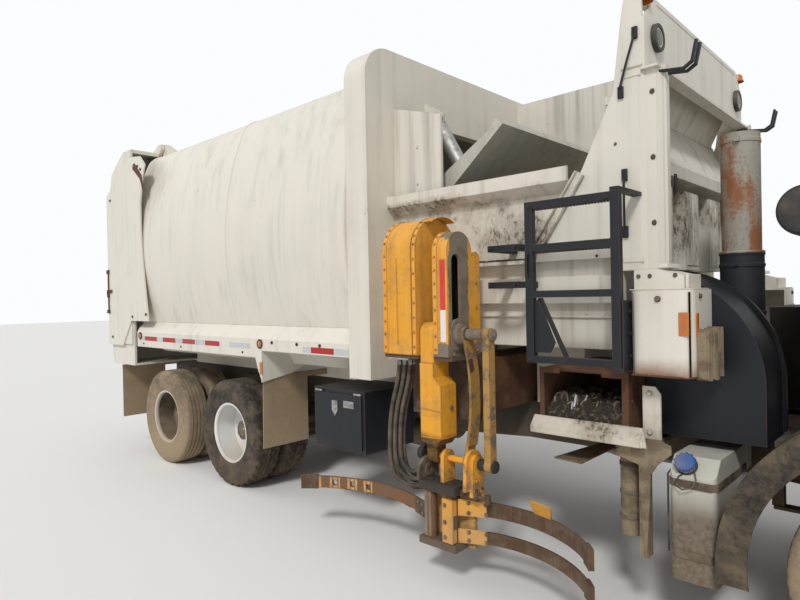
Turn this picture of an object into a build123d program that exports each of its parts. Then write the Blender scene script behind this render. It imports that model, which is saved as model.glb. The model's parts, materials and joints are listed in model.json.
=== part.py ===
from build123d import *
import math
import os

# A side-loading garbage truck with a low cab ahead of the front axle, two driven rear axles,
# an open hopper behind the cab and a lifting arm with a gripper on the right-hand side.
# Lengths are in millimetres. X points forward, Y to the left and Z up, with Z = 0 on the floor.
# Stations along X are measured from the rearmost axle, and save() moves every piece so that
# the origin lies on the floor under the middle of the truck.

# Running fits
SEAT_GAP = 0.3
PIN_GAP = 0.3
MOVE_GAP = 6.0

# Wheels and axles
TYRE_R = 525.0
REAR_TYRE_W = 280.0
FRONT_TYRE_W = 315.0
RIM_R = 286.0
RIM_T = 12.0
DUAL_PITCH = 335.0
DUAL_FACE_Y = 1220.0
FRONT_WHEEL_Y = 1030.0
TANDEM = 1350.0
WHEELBASE = 6600.0
AXLE_R = 62.0
SPINDLE_R = 40.0
KINGPIN_Y = 905.0
KINGPIN_R = 24.0
AXLE_Z = TYRE_R

# Frame
RAIL_TOP = 1040.0
RAIL_H = 270.0
RAIL_FLANGE = 90.0
RAIL_T = 10.0
RAIL_Y = 430.0
RAIL_REAR_X = -1280.0
RAIL_FRONT_X = WHEELBASE + 1390.0

# Body
BODY_REAR_X = -740.0
BODY_FRONT_X = WHEELBASE - 3440.0
BODY_WALL = 25.0
BODY_FLOOR_Z = 1220.0
BODY_SHELF_Z = 1600.0
BODY_TOP_Z = 3745.0
BODY_EAVE_Z = BODY_TOP_Z - 245.0
BODY_LOW_Y = 1125.0
BODY_BULGE_Y = 1240.0
BODY_EAVE_Y = 1020.0
BODY_FLOOR_Y = 860.0
COLLAR_X0 = BODY_FRONT_X
COLLAR_DEPTH = 240.0
COLLAR_Y = 1220.0
COLLAR_TOP_Z = BODY_TOP_Z + 35.0
COLLAR_LOW_Z = 1210.0
COLLAR_MOUTH_Y = 880.0
COLLAR_MOUTH_LOW_Z = 1545.0
COLLAR_MOUTH_TOP_Z = 3330.0
COLLAR_SHOULDER_R = 250.0

# Tailgate
GATE_HINGE_X = -700.0
GATE_HINGE_Z = BODY_TOP_Z + 25.0
GATE_TOP_Z = BODY_TOP_Z - 55.0
GATE_LOW_Z = 1060.0
GATE_WALL = 25.0
GATE_Y = 1225.0
GATE_BULGE_X = -1950.0
GATE_BULGE_Y = 960.0

# Hopper
HOPPER_FRONT_X = WHEELBASE - 1400.0
HOPPER_FLOOR_Z = 1500.0
HOPPER_WALL = 20.0
HOPPER_Y = 920.0
SILL_Z = 2620.0
FAR_RAIL_Z = 3740.0
POST_Y = 980.0
POST_REAR_X = WHEELBASE - 1350.0
POST_FRONT_X = WHEELBASE - 1150.0
POST_LOW_Z = 1965.0
HEADER_Z0 = 3090.0
HEADER_TOP_Z = 3530.0
HEADER_CHAMFER = 150.0
HEADER_T = 80.0

# Cab
CAB_REAR_X = WHEELBASE - 300.0
CAB_FRONT_X = WHEELBASE + 1420.0
CAB_Y = 1160.0
CAB_WALL = 45.0
CAB_LOW_Z = 780.0
CAB_STEP_Z = 1370.0
CAB_STEP_X = WHEELBASE + 800.0
CAB_BELT_Z = 1750.0
CAB_TOP_Z = 2790.0
CAB_PIVOT_X = WHEELBASE + 1330.0
CAB_PIVOT_Z = 740.0
TUNNEL_Y = 460.0
TUNNEL_TOP_Z = 1600.0
TUNNEL_FRONT_X = WHEELBASE + 1100.0
DOOR_GAP = 6.0
FENDER_R = 800.0
FENDER_LIP_R = 665.0
FRONT_X = WHEELBASE + 1510.0

# Arm
ARM_FACE_Y = -1450.0
ARM_PIVOT_Y = -1365.0
ARM_PIVOT_Z = 1600.0
ARM_PIN_R = 22.0
WRIST_Z = 800.0
LIFT_SLIDE = 400.0
CASING_X0 = WHEELBASE - 2825.0
CASING_X1 = WHEELBASE - 2522.0
CASING_TOP_Z = 2360.0
MAST_X0 = WHEELBASE - 2382.0
MAST_X1 = WHEELBASE - 2260.0
MAST_TOP_Z = 2250.0
MAST_LOW_Z = 1455.0
SLOT_W = 90.0
LOWER_ARM_X0 = WHEELBASE - 2505.0
LOWER_ARM_X1 = WHEELBASE - 2392.0
BEAM_X0 = WHEELBASE - 2590.0
BEAM_X1 = WHEELBASE - 2300.0
BEAM_H = 330.0
BEAM_INNER_Y = 1080.0
HOUSING_MOUTH_Y = -1110.0
HOUSING_WALL = 12.0

# The middle of the truck, which becomes the origin
X_MID = (FRONT_X + GATE_BULGE_X) / 2


def block(x0, x1, y0, y1, z0, z1):
    """A box between two opposite corners."""
    middle = Pos((x0 + x1) / 2, (y0 + y1) / 2, (z0 + z1) / 2)
    return middle * Box(x1 - x0, y1 - y0, z1 - z0)


def side_profile(points, y0, y1):
    """A polygon of (x, z) points, carried from y0 to y1."""
    face = make_face(Polyline(*[(x, y0, z) for x, z in points], close=True))
    return extrude(face, amount=y1 - y0, dir=(0, 1, 0))


def cross_profile(points, x0, x1):
    """A polygon of (y, z) points, carried from x0 to x1."""
    face = make_face(Polyline(*[(x0, y, z) for y, z in points], close=True))
    return extrude(face, amount=x1 - x0, dir=(1, 0, 0))


def plan_profile(points, z0, z1):
    """A polygon of (x, y) points, carried from z0 to z1."""
    face = make_face(Polyline(*[(x, y, z0) for x, y in points], close=True))
    return extrude(face, amount=z1 - z0, dir=(0, 0, 1))


def bar(start, end, radius):
    """A round bar from start to end."""
    way = Vector(*end) - Vector(*start)
    place = Plane(origin=start, z_dir=way)
    return place * Cylinder(radius, way.length, align=(Align.CENTER, Align.CENTER, Align.MIN))


def turned(points, x, z):
    """A profile of (radius, y) points, turned about the line along Y through x, z."""
    face = make_face(Polyline(*[(radius, y, 0) for radius, y in points], close=True))
    return Pos(x, 0, z) * revolve(face, Axis.Y, 360)


def other_side(shape):
    """The same shape on the left-hand side of the truck, or back again."""
    return mirror(shape, about=Plane.XZ)


def both_sides(shape):
    """A shape and its twin across the truck."""
    return shape + other_side(shape)


def join(pieces):
    """Pieces of one node, fused where they touch."""
    result = pieces[0]
    for piece in pieces[1:]:
        result = result + piece
    return result


# Frame and running gear

def frame_rails():
    """Two channel rails with cross members and towing lugs at the rear."""
    web_y = RAIL_Y - RAIL_T
    flange_y = RAIL_Y - RAIL_FLANGE
    low = RAIL_TOP - RAIL_H
    rail = block(RAIL_REAR_X, RAIL_FRONT_X, web_y, RAIL_Y, low, RAIL_TOP)
    rail += block(RAIL_REAR_X, RAIL_FRONT_X, flange_y, web_y, RAIL_TOP - RAIL_T, RAIL_TOP)
    rail += block(RAIL_REAR_X, RAIL_FRONT_X, flange_y, web_y, low, low + RAIL_T)
    frame = both_sides(rail)
    member_w = 120.0
    member_h = 110.0
    member_z = RAIL_TOP - 0.5 * RAIL_H
    for x in (RAIL_REAR_X, -350.0, 0.5 * TANDEM, 1900.0, WHEELBASE - 3500.0, WHEELBASE - 2100.0,
              RAIL_FRONT_X - member_w):
        frame += block(x, x + member_w, -web_y, web_y, member_z - 0.5 * member_h, member_z + 0.5 * member_h)
    lug = tow_lug(RAIL_REAR_X)
    return frame + both_sides(lug)


TOW_HOLE_R = 22.0
TOW_LUG_T = 36.0
TOW_LUG_Y = 380.0
TOW_LUG_DROP = 70.0
TOW_LUG_R = 55.0


def tow_lug(x):
    """An eye under the rail's rear end, with its hole across the truck."""
    low = RAIL_TOP - RAIL_H
    y0 = TOW_LUG_Y - 0.5 * TOW_LUG_T
    y1 = TOW_LUG_Y + 0.5 * TOW_LUG_T
    centre_x = x + TOW_LUG_R
    centre_z = low - TOW_LUG_DROP
    lug = block(x, centre_x + TOW_LUG_R, y0, y1, centre_z, low)
    lug += bar((centre_x, y0, centre_z), (centre_x, y1, centre_z), TOW_LUG_R)
    return lug - bar((centre_x, y0 - 1, centre_z), (centre_x, y1 + 1, centre_z), TOW_HOLE_R)


SPRING_Y = 395.0
SPRING_W = 80.0
BEAM_Y0 = 455.0
BEAM_Y1 = 535.0
REAR_SPINDLE_END_Y = 1000.0
REAR_HUB_BORE_R = 62.5


def axles():
    """Two driven rear axles and the front beam axle with its kingpin eyes."""
    pieces = []
    bulb_r = 225.0
    bulb_w = 170.0
    pad = 75.0
    for x in (0.0, TANDEM):
        tube = bar((x, -REAR_SPINDLE_END_Y, AXLE_Z), (x, REAR_SPINDLE_END_Y, AXLE_Z), AXLE_R)
        bulb = turned([(0, -bulb_w), (0.6 * bulb_r, -bulb_w), (bulb_r, -0.5 * bulb_w),
                       (bulb_r, 0.5 * bulb_w), (0.6 * bulb_r, bulb_w), (0, bulb_w)], x, AXLE_Z)
        seat = block(x - pad, x + pad, BEAM_Y0, BEAM_Y1, AXLE_Z - AXLE_R, AXLE_Z + pad)
        pieces.append(tube + bulb + both_sides(seat))
    pieces.append(front_beam())
    return join(pieces)


FRONT_BEAM_W = 110.0
FRONT_BEAM_H = 100.0
FRONT_BEAM_DROP = 90.0
KING_EYE_R = 52.0
KING_EYE_H = 110.0
FRONT_PAD_Z = AXLE_Z + 25.0


def front_beam():
    """A dropped beam whose ends rise to the kingpin eyes."""
    x0 = WHEELBASE - 0.5 * FRONT_BEAM_W
    x1 = WHEELBASE + 0.5 * FRONT_BEAM_W
    low = AXLE_Z - FRONT_BEAM_DROP - 0.5 * FRONT_BEAM_H
    rise_y = 620.0
    flat_y = KINGPIN_Y - 75.0
    outline = [(-KINGPIN_Y, AXLE_Z - 0.5 * KING_EYE_H), (-flat_y, AXLE_Z - 0.5 * KING_EYE_H), (-rise_y, low),
               (rise_y, low), (flat_y, AXLE_Z - 0.5 * KING_EYE_H), (KINGPIN_Y, AXLE_Z - 0.5 * KING_EYE_H),
               (KINGPIN_Y, AXLE_Z + 0.5 * KING_EYE_H), (flat_y, AXLE_Z + 0.5 * KING_EYE_H),
               (rise_y, low + FRONT_BEAM_H + 15), (-rise_y, low + FRONT_BEAM_H + 15),
               (-flat_y, AXLE_Z + 0.5 * KING_EYE_H), (-KINGPIN_Y, AXLE_Z + 0.5 * KING_EYE_H)]
    beam = cross_profile(outline, x0, x1)
    pad = block(x0, x1, SPRING_Y - 0.5 * SPRING_W, SPRING_Y + 0.5 * SPRING_W, low, FRONT_PAD_Z)
    beam += both_sides(pad)
    for side in (-1, 1):
        y = side * KINGPIN_Y
        trim = block(x0 - 1, x1 + 1, y - 500, y + 500, 0, 2000)
        trim &= block(x0 - 1, x1 + 1, min(y, side * 2000), max(y, side * 2000), 0, 2000)
        beam -= trim
        beam += bar((WHEELBASE, y, AXLE_Z - 0.5 * KING_EYE_H), (WHEELBASE, y, AXLE_Z + 0.5 * KING_EYE_H),
                    KING_EYE_R)
        beam -= bar((WHEELBASE, y, 0), (WHEELBASE, y, 2 * AXLE_Z), KINGPIN_R + PIN_GAP)
    return beam


def suspension():
    """Rear walking beams on their trunnion hangers, and the front leaf springs."""
    frame_low = RAIL_TOP - RAIL_H
    beam_low = AXLE_Z + 75.0
    beam_mid = 175.0
    end = 110.0
    trunnion_x = 0.5 * TANDEM
    outline = [(-end, beam_low), (TANDEM + end, beam_low), (TANDEM + end, beam_low + 70),
               (trunnion_x + 180, beam_low + beam_mid), (trunnion_x - 180, beam_low + beam_mid),
               (-end, beam_low + 70)]
    rear = side_profile(outline, BEAM_Y0, BEAM_Y1)
    hanger = side_profile([(trunnion_x - 190, frame_low + 200), (trunnion_x - 90, beam_low + 90),
                           (trunnion_x + 90, beam_low + 90), (trunnion_x + 190, frame_low + 200)],
                          RAIL_Y, BEAM_Y0)
    rear += hanger
    x = WHEELBASE
    leaf_t = 18.0
    front = None
    for count, half in enumerate((720.0, 560.0, 400.0)):
        z = FRONT_PAD_Z + 3 * leaf_t - (count + 1) * leaf_t
        leaf = block(x - half, x + half, SPRING_Y - 0.5 * SPRING_W, SPRING_Y + 0.5 * SPRING_W, z, z + leaf_t)
        front = leaf if front is None else front + leaf
    top = FRONT_PAD_Z + 3 * leaf_t
    for side in (-1, 1):
        end_x = x + side * 700.0
        front += block(end_x - 30, end_x + 30, SPRING_Y - 30, SPRING_Y + 30, top, frame_low)
    return both_sides(rear) + both_sides(front)


def tyre(x, y, width):
    """A tyre with square shoulders and bulged sidewalls."""
    half = 0.5 * width
    sidewall_r = 0.5 * (RIM_R + TYRE_R)
    profile = [(RIM_R, y - 0.82 * half), (sidewall_r, y - half), (TYRE_R - 38, y - 0.96 * half),
               (TYRE_R, y - 0.74 * half), (TYRE_R, y + 0.74 * half), (TYRE_R - 38, y + 0.96 * half),
               (sidewall_r, y + half), (RIM_R, y + 0.82 * half)]
    return turned(profile, x, AXLE_Z)


OUTER_DUAL_Y = DUAL_FACE_Y - 0.5 * REAR_TYRE_W
INNER_DUAL_Y = OUTER_DUAL_Y - DUAL_PITCH


def rear_tyres(x):
    """The twin tyres of one rear wheel, on the right-hand side."""
    return tyre(x, -OUTER_DUAL_Y, REAR_TYRE_W) + tyre(x, -INNER_DUAL_Y, REAR_TYRE_W)


def rim_barrel(x, y, width):
    """The hollow barrel that a tyre sits on."""
    half = 0.41 * width
    inner = RIM_R - RIM_T
    return turned([(inner, y - half), (RIM_R, y - half), (RIM_R, y + half), (inner, y + half)], x, AXLE_Z)


HUB_R = 125.0
DRUM_R = 205.0
DISC_T = 16.0


def rear_rims(x):
    """Twin dished rims, the hub and the brake drum, on the right-hand side."""
    outer = -OUTER_DUAL_Y
    inner = -INNER_DUAL_Y
    middle = 0.5 * (outer + inner)
    inner_r = RIM_R - 0.5 * RIM_T
    dish_r = 215.0
    half = 0.41 * REAR_TYRE_W
    wheel = rim_barrel(x, outer, REAR_TYRE_W) + rim_barrel(x, inner, REAR_TYRE_W)
    wheel += turned([(0.9 * HUB_R, middle - DISC_T), (dish_r, middle - DISC_T),
                     (inner_r, outer + half - DISC_T), (inner_r, outer + half),
                     (dish_r, middle), (0.9 * HUB_R, middle)], x, AXLE_Z)
    wheel += turned([(0.9 * HUB_R, middle), (dish_r, middle), (inner_r, inner - half),
                     (inner_r, inner - half + DISC_T), (dish_r, middle + DISC_T),
                     (0.9 * HUB_R, middle + DISC_T)], x, AXLE_Z)
    cap_y = -REAR_SPINDLE_END_Y - MOVE_GAP
    drum_y = -690.0
    wheel += turned([(REAR_HUB_BORE_R, drum_y), (DRUM_R, drum_y), (DRUM_R, middle + 40), (HUB_R, middle + 40),
                     (HUB_R, middle - 70), (0.72 * HUB_R, middle - 90), (0.68 * HUB_R, cap_y - 45),
                     (0.3 * HUB_R, cap_y - 60), (0, cap_y - 60), (0, cap_y), (REAR_HUB_BORE_R, cap_y)],
                    x, AXLE_Z)
    return wheel


def front_tyre():
    """The right-hand front tyre."""
    return tyre(WHEELBASE, -FRONT_WHEEL_Y, FRONT_TYRE_W)


def front_rim():
    """The right-hand front rim with its hub, whose disc bulges outwards."""
    y = -FRONT_WHEEL_Y
    half = 0.41 * FRONT_TYRE_W
    disc_y = y - 60.0
    inner_r = RIM_R - 0.5 * RIM_T
    rim = rim_barrel(WHEELBASE, y, FRONT_TYRE_W)
    rim += turned([(0.9 * HUB_R, disc_y - DISC_T), (200, disc_y - DISC_T), (inner_r, y + 30),
                   (inner_r, y + 30 + DISC_T), (200, disc_y), (0.9 * HUB_R, disc_y)], WHEELBASE, AXLE_Z)
    bore = SPINDLE_R + PIN_GAP
    hub_y = -KINGPIN_Y - KING_EYE_R - 2 * MOVE_GAP - 30
    rim += turned([(bore, hub_y), (HUB_R, hub_y), (HUB_R, disc_y - 30),
                   (0.6 * HUB_R, disc_y - 80), (0, disc_y - 80), (0, disc_y - 45), (bore, disc_y - 45)],
                  WHEELBASE, AXLE_Z)
    return rim


def knuckle():
    """The right-hand steering knuckle: kingpin, yoke, spindle and steering arm."""
    x = WHEELBASE
    y = -KINGPIN_Y
    eye_top = AXLE_Z + 0.5 * KING_EYE_H
    eye_low = AXLE_Z - 0.5 * KING_EYE_H
    ear_t = 34.0
    ear_r = 50.0
    top = eye_top + SEAT_GAP
    low = eye_low - SEAT_GAP
    yoke_y = y - KING_EYE_R - MOVE_GAP
    piece = bar((x, y, low - ear_t), (x, y, top + ear_t), KINGPIN_R)
    for z in (top, low - ear_t):
        piece += bar((x, y, z), (x, y, z + ear_t), ear_r)
        piece += block(x - ear_r, x + ear_r, yoke_y - 30, y, z, z + ear_t)
    piece += block(x - ear_r, x + ear_r, yoke_y - 30, yoke_y, low - ear_t, top + ear_t)
    spindle_end = -FRONT_WHEEL_Y - 60.0 - 45.0 + MOVE_GAP
    piece += bar((x, yoke_y, AXLE_Z), (x, spindle_end, AXLE_Z), SPINDLE_R)
    arm_low = low - ear_t
    piece += block(x - 190, x, y - 25, y + 15, arm_low, arm_low + ear_t)
    return piece


def engine_block():
    """The engine with its gearbox behind it, as one plain mass between the rails."""
    low = 620.0
    rear = WHEELBASE - 450
    front = WHEELBASE + 850
    engine = block(rear, front, -320, 320, low, RAIL_TOP) + block(rear, front, -380, 380, RAIL_TOP, 1500)
    tail = WHEELBASE - 1300
    box = side_profile([(tail, 760), (rear, low + 60), (rear, RAIL_TOP), (tail, 980)], -230, 230)
    return engine + box


# Tanks and boxes under the deck

def fuel_tank():
    """The rounded fuel tank on the left-hand side, with its two carrying brackets."""
    x0 = WHEELBASE - 2250.0
    x1 = WHEELBASE - 1050.0
    y0 = 545.0
    y1 = 1150.0
    z0 = 440.0
    z1 = 1010.0
    corner = 160.0
    tank = block(x0, x1, y0, y1, z0, z1)
    tank = fillet(tank.edges().filter_by(Axis.X), corner)
    for x in (x0 + 150, x1 - 230):
        tank += block(x, x + 80, RAIL_Y, y0 + 60, RAIL_TOP - 230, RAIL_TOP - 30)
        strap = block(x, x + 80, y0 - 12, y1 + 12, z0 - 12, z1 + 12)
        strap = fillet(strap.edges().filter_by(Axis.X), corner)
        tank += strap
    return tank


DEF_X0 = WHEELBASE - 1035.0
DEF_X1 = WHEELBASE - 810.0
DEF_Y0 = -1180.0
DEF_Y1 = -640.0
DEF_Z0 = 360.0
DEF_Z1 = 985.0


def def_tank():
    """The small upright fluid tank on the right-hand side with its sloped filler corner."""
    slope = 90.0
    tank = cross_profile([(DEF_Y0, DEF_Z0), (DEF_Y1, DEF_Z0), (DEF_Y1, DEF_Z1), (DEF_Y0 + slope, DEF_Z1),
                          (DEF_Y0, DEF_Z1 - slope)], DEF_X0, DEF_X1)
    tank = fillet(tank.edges().filter_by(Axis.Z), 30)
    tank += block(DEF_X0 + 20, DEF_X1 - 20, DEF_Y1, -RAIL_Y, RAIL_TOP - 230, RAIL_TOP - 80)
    cap_z = DEF_Z1 - 0.5 * slope
    cap_y = DEF_Y0 + 0.5 * slope
    cap_x = DEF_X0 + 75
    tank += bar((cap_x, cap_y + 20, cap_z - 20), (cap_x, cap_y - 30, cap_z + 30), 42)
    return tank


TOOLBOX_X0 = WHEELBASE - 3910.0
TOOLBOX_X1 = WHEELBASE - 3300.0
TOOLBOX_Y = 1195.0
TOOLBOX_INNER_Y = 640.0
TOOLBOX_Z0 = 620.0
TOOLBOX_Z1 = 1105.0


def side_boxes():
    """A toolbox on the right and a battery box on the left, each bracketed to its rail."""
    case = block(TOOLBOX_X0, TOOLBOX_X1, -TOOLBOX_Y, -TOOLBOX_INNER_Y, TOOLBOX_Z0, TOOLBOX_Z1)
    lid = block(TOOLBOX_X0 + 30, TOOLBOX_X1 - 30, -TOOLBOX_Y - 14, -TOOLBOX_Y, TOOLBOX_Z0 + 30,
                TOOLBOX_Z1 - 35)
    case += lid
    for x in (TOOLBOX_X0 + 60, TOOLBOX_X1 - 140):
        case += block(x, x + 80, -TOOLBOX_INNER_Y, -RAIL_Y, RAIL_TOP - 200, RAIL_TOP - 60)
    return both_sides(case)


def air_tanks():
    """Two air reservoirs lengthwise below the rails, hung on straps."""
    y = 210.0
    z = 600.0
    radius = 130.0
    x0 = 2150.0
    x1 = 3150.0
    tank = bar((x0, y, z), (x1, y, z), radius)
    tank = fillet(tank.edges().filter_by(GeomType.CIRCLE), 50)
    for x in (x0 + 150, x1 - 210):
        tank += block(x, x + 60, y, RAIL_Y - 20, z + 40, RAIL_TOP - RAIL_H)
        tank += block(x, x + 60, RAIL_Y - RAIL_FLANGE, RAIL_Y - 20, RAIL_TOP - RAIL_H - 20, RAIL_TOP - RAIL_H)
    return both_sides(tank)


def strut_brackets():
    """The bent plates and the hanging channel behind the fluid tank, on the right."""
    deck = RAIL_TOP - 40
    shelf = plan_profile([(WHEELBASE - 1720, -RAIL_Y), (WHEELBASE - 1180, -RAIL_Y), (WHEELBASE - 1170, -1120),
                          (WHEELBASE - 1340, -1120)], deck - 24, deck)
    leg = block(WHEELBASE - 1215, WHEELBASE - 1170, -1120, -1050, 400, deck)
    cylinder = bar((WHEELBASE - 1310, -1000, 470), (WHEELBASE - 1310, -1000, deck), 55)
    return shelf + leg + cylinder


STACK_X = WHEELBASE - 895.0
STACK_Y = -300.0
STACK_R = 108.0
STACK_TOP_Z = 2780.0
STACK_SHIELD_TOP_Z = 2060.0


def exhaust_stack():
    """The upright exhaust pipe with its shield and the foot that bolts to the rail."""
    bore = STACK_R - 14
    foot_z = RAIL_TOP
    pipe = bar((STACK_X, STACK_Y, foot_z), (STACK_X, STACK_Y, STACK_TOP_Z), STACK_R)
    pipe += bar((STACK_X, STACK_Y, foot_z), (STACK_X, STACK_Y, STACK_SHIELD_TOP_Z), STACK_R + 12)
    pipe -= bar((STACK_X, STACK_Y, STACK_TOP_Z - 260), (STACK_X, STACK_Y, STACK_TOP_Z + 1), bore)
    foot = block(STACK_X - 130, STACK_X + 130, -RAIL_Y, STACK_Y, foot_z, foot_z + 20)
    return pipe + foot


COVER_R = 605.0
COVER_Y = 905.0
COVER_X = WHEELBASE - 1250.0
COVER_Z = 1350.0


def packer_cover():
    """The quarter-round guard ahead of the hopper, with a wider rim on its inner end."""
    def quarter(radius, y0, y1):
        drum = bar((COVER_X, y0, COVER_Z), (COVER_X, y1, COVER_Z), radius)
        keep = block(COVER_X, COVER_X + radius, y0, y1, COVER_Z, COVER_Z + radius)
        return (drum & keep) + block(COVER_X, COVER_X + radius, y0, y1, RAIL_TOP, COVER_Z)
    wall = 14.0
    outer = quarter(COVER_R, -COVER_Y, -545)
    hollow = quarter(COVER_R - wall, -COVER_Y + wall, -545 - wall)
    hollow = hollow & block(COVER_X + wall, COVER_X + COVER_R, -2000, 2000, RAIL_TOP - 1, 3000)
    rim = quarter(COVER_R + 20, -545, -520)
    cover = outer - hollow + rim
    cover += block(COVER_X + 60, COVER_X + 120, -520, -RAIL_Y + 20, RAIL_TOP, RAIL_TOP + 40)
    return cover


def service_tanks():
    """The oil tank behind the cab on the left, and the air cleaner with its duct on the right."""
    oil_top = 1720.0
    oil = side_profile([(CORNER_X1, RAIL_TOP), (WHEELBASE - 640, RAIL_TOP), (WHEELBASE - 640, 1340),
                        (WHEELBASE - 420, 1340), (WHEELBASE - 420, oil_top),
                        (CORNER_X1, oil_top)], 380, 1120)
    oil = fillet(oil.edges().filter_by(Axis.Z).group_by(Axis.X)[-1], 60)
    cap = bar((WHEELBASE - 700, 900, oil_top), (WHEELBASE - 700, 900, oil_top + 40), 60)
    duct_y = -780.0
    duct_x = WHEELBASE - 430.0
    cleaner_z = 2200.0
    cleaner = bar((duct_x, -1150, cleaner_z), (duct_x, -720, cleaner_z), 112)
    duct = block(duct_x - 55, duct_x + 55, duct_y - 60, duct_y + 60, RAIL_TOP + 20, cleaner_z)
    foot = block(duct_x - 55, duct_x + 55, duct_y - 60, -RAIL_Y + 40, RAIL_TOP, RAIL_TOP + 30)
    return (oil + cap) + (cleaner + duct + foot)


def bumper():
    """The steel front bumper with swept ends, lamp recesses and two towing eyes."""
    depth = 90.0
    low = 400.0
    top = 690.0
    sweep = 160.0
    back = FRONT_X - depth
    half = 1190.0
    skin = 60.0
    end_x = back - 140
    inner_x = FRONT_X - sweep - 0.4 * skin
    inner_y = half - sweep + 0.1 * skin
    plan = [(end_x, -half), (FRONT_X - sweep, -half), (FRONT_X, -half + sweep), (FRONT_X, half - sweep),
            (FRONT_X - sweep, half), (end_x, half), (end_x, half - skin), (inner_x, half - skin),
            (back, inner_y), (back, -inner_y), (inner_x, skin - half), (end_x, skin - half)]
    beam = plan_profile(plan, low, top)
    beam += block(RAIL_FRONT_X, back, -RAIL_Y, RAIL_Y, low + 60, top)
    beam += block(RAIL_FRONT_X - 60, back, -RAIL_Y, -RAIL_Y + 60, top - 200, RAIL_TOP - RAIL_H)
    beam += block(RAIL_FRONT_X - 60, back, RAIL_Y - 60, RAIL_Y, top - 200, RAIL_TOP - RAIL_H)
    for side in (-1, 1):
        y = side * 860.0
        beam -= block(FRONT_X - 30, FRONT_X + 1, y - 150, y + 150, low + 95, low + 235)
    eye_y = side_y = TOW_LUG_Y
    eye = block(FRONT_X - 60, FRONT_X, eye_y - 0.5 * TOW_LUG_T, side_y + 0.5 * TOW_LUG_T, low - 60, low)
    eye += bar((FRONT_X - 60, eye_y - 0.5 * TOW_LUG_T, low - 60),
               (FRONT_X - 60, eye_y + 0.5 * TOW_LUG_T, low - 60), TOW_LUG_R)
    eye -= bar((FRONT_X - 60, eye_y - TOW_LUG_T, low - 60), (FRONT_X - 60, eye_y + TOW_LUG_T, low - 60),
               TOW_HOLE_R)
    return beam + both_sides(eye)


FENDER_Y0 = 850.0
FENDER_Y1 = 1250.0


def front_fenders():
    """Arched front mudguards with a rolled inner lip, a stay to the rail and a step ahead."""
    def half_ring(outer_r, inner_r, y0, y1):
        ring = bar((WHEELBASE, y0, AXLE_Z), (WHEELBASE, y1, AXLE_Z), outer_r)
        ring -= bar((WHEELBASE, y0 - 1, AXLE_Z), (WHEELBASE, y1 + 1, AXLE_Z), inner_r)
        low_cut = block(WHEELBASE - 1000, WHEELBASE + 1000, y0 - 1, y1 + 1, -1000, 430)
        return ring - low_cut
    skin = half_ring(FENDER_R, FENDER_R - 14, FENDER_Y0, FENDER_Y1)
    skin += half_ring(FENDER_R, FENDER_LIP_R, FENDER_Y1 - 14, FENDER_Y1)
    for x in (WHEELBASE - 620, WHEELBASE + 560):
        skin += block(x, x + 60, RAIL_Y - 45, FENDER_Y0 + 20, RAIL_TOP, RAIL_TOP + 30)
    trim = block(WHEELBASE + 500, WHEELBASE + 900, FENDER_Y0 - 1, FENDER_Y1 + 1, 0, 900)
    skin -= trim
    return both_sides(skin)


# Body

def body_section(x, inset):
    """The body's closed outline across the truck, drawn at station x and set in by inset."""
    low_y = BODY_LOW_Y - inset
    bulge_y = BODY_BULGE_Y - inset
    eave_y = BODY_EAVE_Y - inset
    floor_y = BODY_FLOOR_Y - inset
    floor_z = BODY_FLOOR_Z + inset
    shelf_z = BODY_SHELF_Z
    bulge_z = 0.46 * (BODY_EAVE_Z - BODY_SHELF_Z) + BODY_SHELF_Z
    eave_z = BODY_EAVE_Z
    corner_y = eave_y - 90
    corner_z = BODY_EAVE_Z + 118 - 0.5 * inset
    roof_y = eave_y - 220
    roof_z = BODY_EAVE_Z + 168 - inset
    top_z = BODY_TOP_Z - inset
    edges = [Line((x, -floor_y, floor_z), (x, floor_y, floor_z)),
             Line((x, floor_y, floor_z), (x, low_y, shelf_z)),
             ThreePointArc((x, low_y, shelf_z), (x, bulge_y, bulge_z), (x, eave_y, eave_z)),
             ThreePointArc((x, eave_y, eave_z), (x, corner_y, corner_z), (x, roof_y, roof_z)),
             ThreePointArc((x, roof_y, roof_z), (x, 0, top_z), (x, -roof_y, roof_z)),
             ThreePointArc((x, -roof_y, roof_z), (x, -corner_y, corner_z), (x, -eave_y, eave_z)),
             ThreePointArc((x, -eave_y, eave_z), (x, -bulge_y, bulge_z), (x, -low_y, shelf_z)),
             Line((x, -low_y, shelf_z), (x, -floor_y, floor_z))]
    return make_face(edges)


HINGE_EAR_Y = 800.0
HINGE_EAR_W = 60.0
HINGE_PIN_R = 28.0


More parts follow.
